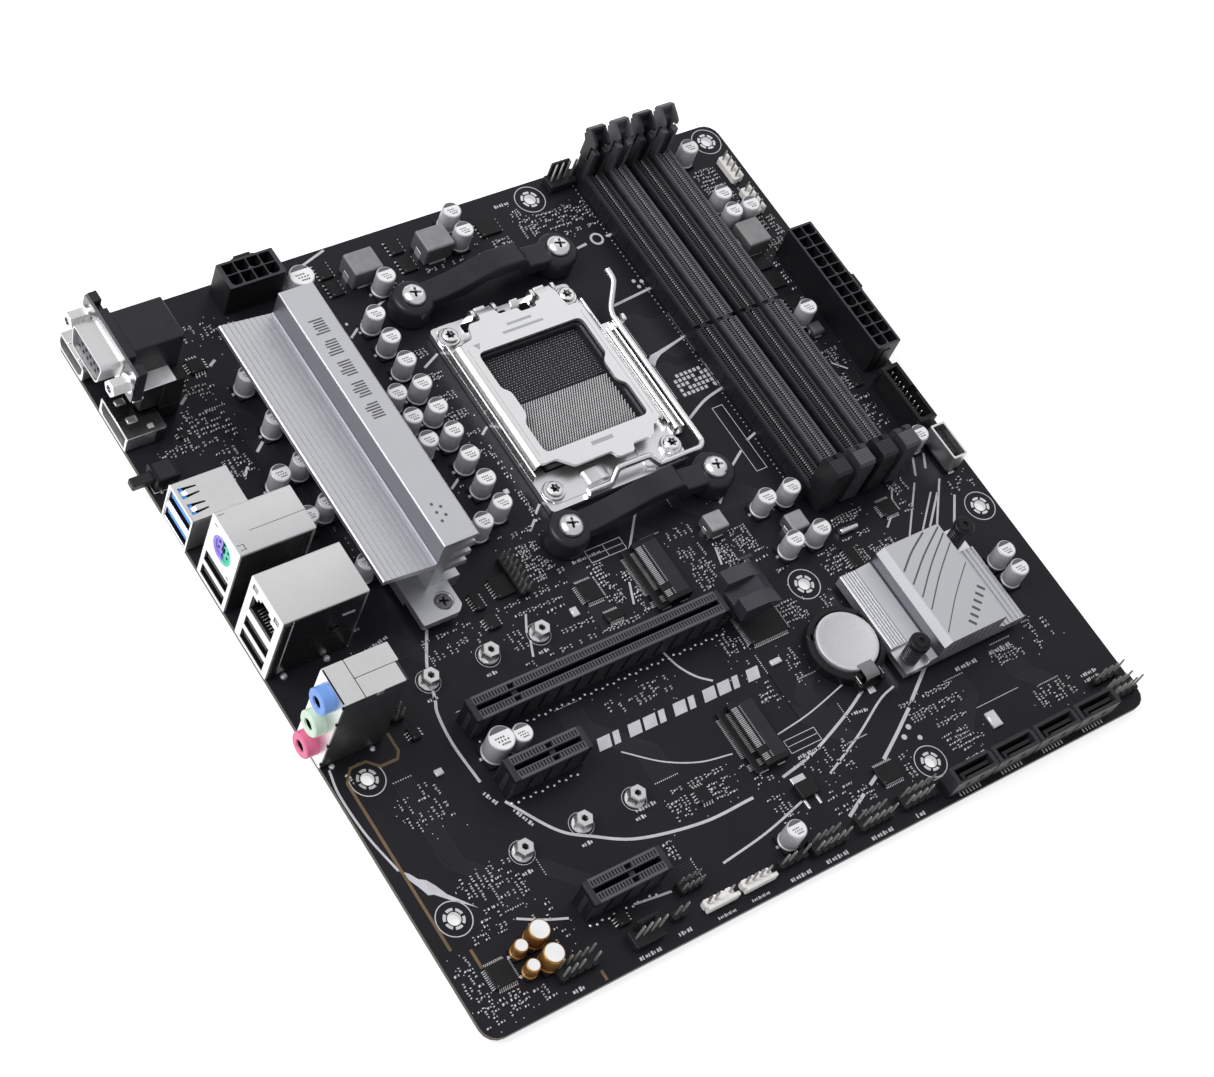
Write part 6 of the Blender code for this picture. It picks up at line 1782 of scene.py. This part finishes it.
def lan_stack():
    x0, x1, y0, y1, z0, z1 = span("lan_usb_stack")
    p = Piece("lan_shell")
    y = (y0 + y1) / 2
    jack = [(y - 5.9, 16.5), (y + 5.9, 16.5), (y + 5.9, 23.4), (y + 3.4, 23.4), (y + 3.4, 25.0), (y + 2.0, 25.0),
            (y + 2.0, 26.3), (y - 2.0, 26.3), (y - 2.0, 25.0), (y - 3.4, 25.0), (y - 3.4, 23.4), (y - 5.9, 23.4)]
    mouths = [(111.1, 123.3, 1.7, 6.3), (111.1, 123.3, 8.5, 13.1)]
    lamps = (y - 6.9, y + 4.3)
    openings = [*(rect(*m) for m in mouths), jack, *(rect(v, v + 2.6, 25.6, 27.9) for v in lamps)]
    port_box(p, x0, x1, y0, y1, z0, z1, openings)
    for mouth in mouths:
        usb_inside(p, x0, *mouth, BLACK)
    for v in lamps:
        p.add(slab(x0 + 0.3, x0 + 2.0, v + 0.05, v + 2.55, 25.65, 27.85, 0.2), LENS)
    for a, b, top in ((y - 5.9, y - 5.5, 23.4), (y + 5.5, y + 5.9, 23.4), (y - 5.9, y + 5.9, 16.9)):
        p.add(slab(x0 + 0.9, x0 + 12.0, a, b, 16.5, top), BLACK)
    p.slabs(PIT, 0, (x0 + 11.0, x0 + 12.1, y - 5.9, y + 5.9, 16.5, 26.3),
            (x0 + 0.7, x0 + 12.0, y - 5.9, y + 5.9, 16.45, 16.95))
    # contact lines in the dark spring finish: painted shade in the jack
    for k in range(8):
        v = y - 3.57 + 1.02 * k
        line = [(x0 + 1.4, 17.1), (x0 + 8.0, 19.6), (x0 + 8.0, 19.9), (x0 + 1.4, 17.45)]
        p.add(prism("y", line, v - 0.14, v + 0.14), SPRING_AND_SHADE)
    p.add(slab(x0 + 0.4, x1 - 0.6, y1 - 0.1, y1 + 0.05, 0.8, z1 - 0.7), SHADED_SHELL)
    fold = [(x0 + 0.2, y1 - 0.1), (x0 + 2.6, y1 - 0.1), (x0 + 2.6, y1 + 0.3), (x0 + 1.0, y1 + 0.3)]
    p.add(prism("z", fold, 1.0, z1 - 1.4), SHADED_SHELL)
    p.add(slab(x0 + 3.4, x0 + 3.6, y1, y1 + 0.2, 1.2, z1 - 1.0), SHELL)
    p.add(slab(x0 + 17.0, x0 + 20.4, y1 + HAIR, y1 + 0.08, 15.2, 16.6), PIT)
    p.add(prism("x", [(y1, 20.5), (y1 + 0.45, 21.0), (y1 + 0.45, 21.6), (y1, 22.2)], x0 + 20.0, x0 + 24.0),
          SHADED_SHELL)
    for u, v in ((x0 + 5.6, y1 + 1.0), (x0 + 19.4, y1 + 1.0)):
        p.add(turned(u, v, [(1.1, 0.0), (1.0, 0.5), (0.6, 0.95), (0.2, 1.05)], 16), TIN)
    p.make(stands_for=["lan_usb_stack"])


def audio_stack():
    _, x1, y0, y1, z0, z1 = span("audio_stack")
    y = (y0 + y1) / 2
    front = -0.5
    p = Piece("audio_housing")
    heights = (6.0, 18.0, 30.0)
    p.add(slab(front + 0.5, x1 - 0.1, y0 + 0.1, y1 - 0.1, z0 + HAIR, z1 - 0.45, 0.2), AUDIO_GREY)
    p.add(slab(x1 - 1.4, x1 - HAIR, y0 + 1.2, y1 - 1.2, 1.0, 3.0), BLACK)
    face = rounded(y0 + HAIR, y1 - HAIR, z0 + HAIR, z1 - HAIR, 0.5, 3)
    p.add(sheet_with_holes(face, [circle(y, z, 4.05, 28)[::-1] for z in heights], front + 0.02, front + 0.55, "x"),
          SHELL)
    for z in (2.0, 12.2, 24.0, 33.0):
        p.add(slab(front - 0.03, front + 0.6, y1 - 0.5, y1 + 0.03, z, z + 1.5), PIT)
    top = z1 - 0.46
    for panel in ((front + 0.05, 6.1, y0 + HAIR, y1 - HAIR), (6.35, x1 - HAIR, y0 + HAIR, y - 0.1),
                  (6.35, x1 - 1.2, y + 0.1, y1 - HAIR)):
        p.add(prism("z", fillet(rect(*panel), 0.3, 2), top, z1 - HAIR), SHELL)
    p.add(slab(6.1, 6.35, y0 + 0.6, y1 - 0.6, top - 0.05, z1 - 0.2), PIT)
    p.add(slab(10.0, 12.0, y1 - 0.1, y1 + 0.08, z1 - 2.0, z1 - 0.1, 0.06), SHELL)
    for a in (3.2, 16.2):
        p.add(turned(a, y1 + 0.7, [(0.9, 0.0), (0.8, 0.4), (0.4, 0.75)], 14), TIN)
    p.make(smooth=40, stands_for=["audio_stack"])
    for z, mat, name in zip(heights, (PINK, MINT, SKY), ("lower", "middle", "upper")):
        b = Piece("audio_jack_" + name)
        wall = [(1.8, -4.1), (1.95, -4.28), (3.6, -4.28), (3.95, -3.95), (3.98, 0.2), (3.98, 1.5), (1.8, 1.5)]
        b.add(hollow(y, z, wall, 40, "x"), mat)
        b.add(turned(y, z, [(1.82, 1.0), (1.82, 1.4)], 24, "x"), PIT)
        b.add(hollow(y, z, rect(1.74, 1.83, -3.7, 1.2), 24, "x"), PIT)
        b.make(smooth=40)


def flashback():
    y, z = 56.3, 3.0
    x0, x1, y0, y1, z0, z1 = span("flashback_switch")
    p = Piece("flashback_housing")
    outer = rounded(y0 + HAIR, y1 - HAIR, z0 + HAIR, z1 - HAIR, 0.3, 2)
    hole = rect(y - 1.95, y + 1.95, z - 1.5, z + 1.5)
    p.add(sheet_with_holes(outer, [hole[::-1]], x0 + HAIR, 5.2, "x"), BLACK)
    p.add(prism("x", outer, 5.19, x1 - HAIR), BLACK)
    p.add(slab(x0 + 1.0, x1 - 1.0, y0 + 0.6, y1 - 0.6, z1 - 0.05, z1 + 0.08, 0.04), SATIN)
    for u in (x0 + 1.2, x1 - 1.6):
        for s in (y0 - 1.1, y1 - 0.2):
            p.add(slab(u, u + 0.8, s, s + 1.3, 0.02, 0.35, 0.08), TIN)
    p.make(stands_for=["flashback_switch"])
    q = Piece("flashback_print")
    q.add(ribbon(rect(x0 + 4.0, x1 + 0.8, y1 + 0.9, y0 - 0.9), 0.25), SILK)
    q.make()
    b = Piece("flashback_plunger", "button")
    b.add(slab(-5.38, 4.35, y - 1.62, y + 1.62, z - 1.22, z + 1.22, 0.25), SATIN)
    b.add(slab(-5.4, -5.2, y - 1.1, y + 1.1, z - 0.75, z + 0.75, 0.08), SATIN)
    b.make(stands_for=["flashback_button"])


def build_rear():
    hdmi_port()
    displayport()
    vga_port()
    usb3_stack()
    ps2_stack()
    lan_stack()
    audio_stack()
    flashback()


# ---------------------------------------------------------------- edge connectors

def sata_port(i):
    node = "sata_port_%d" % i
    x, *_, z0, z1 = span(node)
    p = Piece("sata_body_%d" % i)
    outer = [(x + 0.02, 236.42), (x + 15.0, 236.42), (x + 16.18, 237.6), (x + 16.18, 242.08), (x + 0.02, 242.08)]
    key = [(x + 1.35, 237.55), (x + 14.85, 237.55), (x + 14.85, 240.95), (x + 3.9, 240.95), (x + 3.9, 241.5),
           (x + 1.35, 241.5)]
    # top layer in the lighter rung plastic: painted highlight on the top and its rims
    p.add(sheet_with_holes(fillet(outer, 0.35, 2), [key[::-1]], 2.6, z1 - HAIR), DARK_RUNG)
    p.add(prism("z", fillet(outer, 0.35, 2), z0 + HAIR, 2.65), DARK_SLOT)
    tongue = [(x + 2.6, 239.05), (x + 13.6, 239.05), (x + 13.6, 240.15), (x + 3.75, 240.15), (x + 3.75, 241.3),
              (x + 2.6, 241.3)]
    p.add(prism("z", tongue, 2.5, 8.38), DARK_SLOT)
    p.add(prism("z", key, 2.6, 2.75), PIT)
    for k in range(7):
        u = x + 4.6 + 1.27 * k
        p.add(slab(u - 0.3, u + 0.3, 238.96, 239.1, 2.7, 8.0), PIN)
        for a, b in ((242.0, 243.2), (235.5, 236.6)):
            p.add(slab(u - 0.25, u + 0.25, a, b, 0.05, 0.3, 0.05), LEAD)
    for a, b in ((x + 4.6, x + 6.2), (x + 9.8, x + 11.4)):
        p.slabs(PIT, 0.03, (a, b, 242.0, 242.12, 4.4, 6.6), (a, b, 236.34, 236.5, 4.4, 6.6))
    p.make(stands_for=[node])


def usb3_header():
    x0, _, y0, y1, z0, z1 = span("usb3_header")
    p = Piece("usb3_header_shroud")
    outer = rect(x0 + HAIR, 238.38, y0 + HAIR, y1 - HAIR)
    p.add(sheet_with_holes(outer, [rect(232.6, 237.2, 112.6, 132.2)[::-1]], 1.6, 5.0), BLACK)
    notched = [(232.6, 112.6), (237.2, 112.6), (237.2, 120.6), (238.2, 120.6), (238.2, 123.4), (237.2, 123.4),
               (237.2, 132.2), (232.6, 132.2)]
    p.add(sheet_with_holes(outer, [notched[::-1]], 4.99, z1 - HAIR), BLACK)
    p.add(prism("z", outer, z0 + HAIR, 1.65), BLACK)
    for k in range(10):
        for u in (233.9, 235.9):
            if k == 9 and u > 235:
                continue
            p.add(slab(u - 0.2, u + 0.2, 113.2 + 2.0 * k, 113.6 + 2.0 * k, 1.5, 7.4, 0.1), LEAD)
    for v in (y0 + 0.1, y1 - 1.3):
        p.add(slab(x0 + 1.4, x0 + 3.0, v, v + 1.2, z1 - 0.1, z1, 0.03), DARK_SLOT)
        p.add(slab(x0 - 0.25, x0 + 0.1, v, v + 1.2, 2.0, 8.0, 0.08), BLACK)
    p.make(stands_for=["usb3_header"])


def usbc_header():
    x0, x1, y0, y1, z0, z1 = span("usbc_header")
    p = Piece("usbc_header_shell")
    outer = fillet(rect(x0 + HAIR, x1 - HAIR, y0 + HAIR, y1 - HAIR), 0.6, 4)
    well = fillet(rect(234.3, 238.7, 136.7, 148.7), 0.4, 4)
    p.add(framed(outer, well, 1.6, z1 - HAIR), SHELL)
    p.add(prism("z", outer, z0 + HAIR, 1.65), BLACK)
    p.add(slab(235.9, 237.1, 138.0, 147.4, 1.6, 7.6, 0.15), BLACK)
    for k in range(10):
        for u in (235.82, 237.08):
            p.add(slab(u, u + 0.1, 138.6 + 0.9 * k, 138.95 + 0.9 * k, 2.0, 7.2), CONTACT)
    for k in range(5):
        p.add(slab(234.3, 235.3, 138.0 + 2.0 * k, 138.9 + 2.0 * k, 1.6, 8.2, 0.08), BLACK)
    for v in (y0 - 0.7, y1 - 0.4):
        p.add(slab(x0 + 1.4, x0 + 3.6, v, v + 1.1, 0.02, 0.5, 0.1), TIN)
    p.make(stands_for=["usbc_header"])


def pin(p, x, y, top):
    """Square pin with a tapered tip, and its solder joint under the board."""
    rings = [[(x + a * s, y + b * s, z) for a, b in rect(-0.27, 0.27, -0.27, 0.27)]
             for s, z in ((1, -2.2), (1, top - 0.5), (0.45, top))]
    p.add(loft(rings), PIN)
    p.add(turned(x, y, [(0.85, UNDER), (0.6, -1.85), (0.36, -2.1)], 10), TIN)


def pin_header(name, x, y, cols, rows, base=DARK_SLOT, pitch=2.54, skip=(), height=8.4):
    """Bare pin header whose first pin stands at (x, y); skip lists missing (column, row) pins."""
    p = Piece(name)
    half = pitch / 2 - 0.03
    for c in range(cols):
        u = x + c * pitch
        v0, v1 = y - half, y + (rows - 1) * pitch + half
        base_outline = [(u - half, v0 + 0.5), (u - half + 0.5, v0), (u + half - 0.5, v0), (u + half, v0 + 0.5),
                        (u + half, v1 - 0.5), (u + half - 0.5, v1), (u - half + 0.5, v1), (u - half, v1 - 0.5)]
        p.add(prism("z", base_outline, 0.1, 2.4), base)
        for r in range(rows):
            if (c, r) not in skip:
                pin(p, u, y + r * pitch, height)
    p.make()


def fan_header(name, x0, y0, stands_for=()):
    """Four pins on a base with a raised, ribbed wall."""
    p = Piece(name)
    wide = 10.2
    for a, b, c, d, e, f, chamfer in (
            (0.02, wide - 0.02, 0.3, 5.58, 0.32, 3.18, 0.2), (1.6, wide - 1.6, 0.02, 1.0, 0.4, 8.58, 0.15),
            (2.3, 3.2, 0.9, 1.5, 0.4, 8.3, 0.1), (wide - 3.2, wide - 2.3, 0.9, 1.5, 0.4, 8.3, 0.1)):
        p.add(slab(x0 + a, x0 + b, y0 + c, y0 + d, e, f, chamfer), DARK_SLOT)
    for k in range(4):
        u = 1.32 + 2.54 * k
        pin(p, x0 + u, y0 + 3.02, 11.3)
    p.make(stands_for=stands_for)


def headers():
    fan_header("cpu_fan_header_body", 172.6, 1.2, ["cpu_fan_header"])
    fan_header("chassis_fan_header", 49.6, 234.4)
    pin_header("light_header_upper", 236.6, 16.3, 1, 4, NYLON, height=7.0)
    pin_header("light_header_lower", 236.2, 30.3, 1, 4, NYLON, height=7.0)
    p = Piece("light_header_walls")
    for x, y in ((237.95, 15.2), (237.55, 29.2)):
        p.add(slab(x, x + 1.1, y, y + 10.0, 0.2, 3.6, 0.2), NYLON)
        for k in range(4):
            p.add(slab(x + 0.9, x + 1.5, y + 0.4 + 2.5 * k, y + 1.9 + 2.5 * k, 0.2, 2.6, 0.15), NYLON)
    for x in (75.4, 88.8):
        p.add(slab(x - 0.9, x + 10.0, 238.6, 239.8, 0.2, 3.6, 0.2), NYLON)
    p.make()
    pin_header("module_header", 81.5, 119.6, 2, 7, pitch=2.0, height=6.4)
    pin_header("audio_side_header", 26.0, 145.6, 2, 4, pitch=2.0, height=6.4)
    pin_header("front_audio_header", 27.2, 234.8, 5, 2, skip=((3, 1),))
    pin_header("clear_header", 65.2, 236.4, 2, 1)
    pin_header("debug_header", 71.6, 229.2, 4, 2, pitch=2.0, height=6.4)
    pin_header("light_header_left", 75.6, 237.5, 4, 1, NYLON, height=7.0, skip=((2, 0),))
    pin_header("light_header_right", 89.0, 237.5, 4, 1, NYLON, height=7.0)
    pin_header("digital_audio_header", 102.4, 237.4, 4, 1, skip=((2, 0),))
    pin_header("usb2_header_1", 114.3, 235.9, 5, 2, skip=((4, 0),))
    pin_header("usb2_header_2", 131.6, 235.9, 5, 2, skip=((4, 0),))
    pin_header("serial_header", 148.0, 235.9, 5, 2, skip=((4, 1),))
    pin_header("panel_header", 231.2, 235.4, 5, 2, skip=((4, 0),), height=9.4)
    pin_header("speaker_header", 231.2, 231.2, 4, 1, height=9.4)


# ---------------------------------------------------------------- underside

def joint(p, x, y, r):
    """Cone of solder round a lead's end, under the board."""
    p.add(turned(x, y, [(r, UNDER), (r * 0.7, -1.95), (r * 0.38, -2.6), (r * 0.3, -3.0)], 8), TIN)


def underside():
    p = Piece("underside_solder")
    for i in range(1, 5):
        x = middle("dimm_slot_%d" % i)[0]
        for k in range(78):
            joint(p, x + (-1.2, 1.2)[k % 2], 10 + 1.7 * k, 0.45)
    for node, count in (("pcie_x16_slot", 82), ("pcie_x1_slot_1", 24), ("pcie_x1_slot_2", 24)):
        x0, y = span(node)[0], middle(node)[1]
        for k in range(count):
            for s in (-1, 1):
                joint(p, x0 + 2.6 + 1.0 * k, y + s * (1.2 + 1.3 * (k % 2)), 0.42)
    for node, cols, rows in (("power_24pin", 2, 12), ("power_8pin", 4, 2)):
        x, y = middle(node)[:2]
        for c in range(cols):
            for r in range(rows):
                joint(p, x + 4.2 * (c - (cols - 1) / 2), y + 4.2 * (r - (rows - 1) / 2), 1.1)
    for node in ("usb3_stack", "ps2_usb_stack", "lan_usb_stack", "audio_stack", "hdmi_port", "displayport_port"):
        _, x1, y0, y1 = span(node)[:4]
        for u in (4.5, 11.5):
            joint(p, u, y0 + 0.4, 1.2)
            joint(p, u, y1 - 0.4, 1.2)
        for k in range(4):
            for row in (0.0, 2.2):
                joint(p, x1 - 2.4 - row, y0 + 2.6 + (y1 - y0 - 5.2) * k / 3, 0.8)
    for node in ("usb3_header", "sata_port_1", "sata_port_3"):
        x0, x1, y0, y1 = span(node)[:4]
        for k in range(9):
            t = (k + 0.5) / 9
            if y1 - y0 > x1 - x0:
                joint(p, 233.9 + 2.0 * (k % 2), y0 + (y1 - y0) * t, 0.7)
            else:
                joint(p, x0 + (x1 - x0) * t, 239.3, 0.7)
    p.make(smooth=60)
    q = Piece("underside_parts")
    for k in range(90):
        x, y = 20 + random.random() * 200, 118 + random.random() * 116
        if random.random() < 0.5:
            x, y = 100 + random.random() * 60, 28 + random.random() * 18
        if any(abs(x - a) < 7 and abs(y - b) < 7 for a, b in HOLES) or 95 < x < 165 and 24 < y < 128:
            continue
        q.add(slab(x - 0.3, x + 0.3, y - 0.25, y + 0.25, -1.95, -1.62), CERAMIC)
        for s in (-1, 1):
            q.add(slab(x + s * 0.45 - 0.15, x + s * 0.45 + 0.15, y - 0.25, y + 0.25, -1.98, -1.6), PAD)
    q.make()
    b = Piece("backplate_screw_ends")
    for x in (CPU_X - 27, CPU_X + 27):
        for y in (CPU_Y - 45, CPU_Y + 45):
            b.add(hollow(x, y, [(1.5, -3.85), (3.0, -3.85), (3.2, -3.6), (3.2, -1.95), (1.5, -1.95)], 24), NICKEL)
            b.add(turned(x, y, [(1.45, -3.3), (1.45, -3.1)], 16), PIT)
    b.make(smooth=35)


def build_edge():
    for i in range(1, 5):
        sata_port(i)
    usb3_header()
    usbc_header()
    headers()
    underside()


build_board()
build_socket()
build_cooling()
build_slots()
build_rear()
build_edge()


# ---------------------------------------------------------------- studio

def camera():
    """Long lens from the rear left of the board, looking down on it; fitted to the photo's framing, in metres."""
    cam = bpy.data.cameras.new("camera")
    cam.lens = 77.21
    cam.sensor_width = 36.0
    obj = bpy.data.objects.new("camera", cam)
    bpy.context.scene.collection.objects.link(obj)
    right = Vector((0.79978104, -0.53251437, 0.27708977))
    up = Vector((0.33143686, 0.77657936, 0.53579297))
    back = Vector((-0.50049965, -0.3366793, 0.79758833))
    turn = Matrix((right, up, back)).transposed()
    obj.matrix_world = Matrix.Translation(Vector((-0.387333, -0.262747, 0.617843))) @ turn.to_4x4()
    bpy.context.scene.camera = obj


def lamp(name, spot, target, size, power):
    """Square soft light aimed at a point."""
    light = bpy.data.lights.new(name, "AREA")
    light.shape = "RECTANGLE"
    light.size, light.size_y = size
    light.energy = power
    obj = bpy.data.objects.new(name, light)
    bpy.context.scene.collection.objects.link(obj)
    obj.location = spot
    obj.rotation_euler = (Vector(target) - Vector(spot)).to_track_quat("-Z", "Y").to_euler()


def studio():
    world = bpy.data.worlds.new("studio")
    bpy.context.scene.world = world
    world.use_nodes = True
    sky = world.node_tree.nodes["Background"]
    sky.inputs["Color"].default_value = (0.98, 0.985, 1.0, 1)
    sky.inputs["Strength"].default_value = 0.6
    mesh = bpy.data.meshes.new("floor")
    size, low = 6.0, CAD_BOX[0].z - 0.0002
    mesh.from_pydata([(-size, -size, low), (size, -size, low), (size, size, low), (-size, size, low)], [],
                     [(0, 1, 2, 3)])
    floor = bpy.data.objects.new("floor", mesh)
    bpy.context.scene.collection.objects.link(floor)
    mesh.materials.append(finish("floor_paper", (0.5, 0.5, 0.503), 0.9, scale=0.02, tone=0.01, bump=0, gloss=0.02,
                                 Emission_Color=(1, 1, 1, 1), Emission_Strength=0.7))
    lamp("key", (-0.75, 0.35, 0.95), (0, 0, 0), (0.8, 0.8), 13)
    lamp("back", (0.75, 0.6, 0.75), (0, 0, 0), (0.9, 0.7), 0.8)
    bpy.context.scene.view_settings.view_transform = "Standard"


camera()
studio()
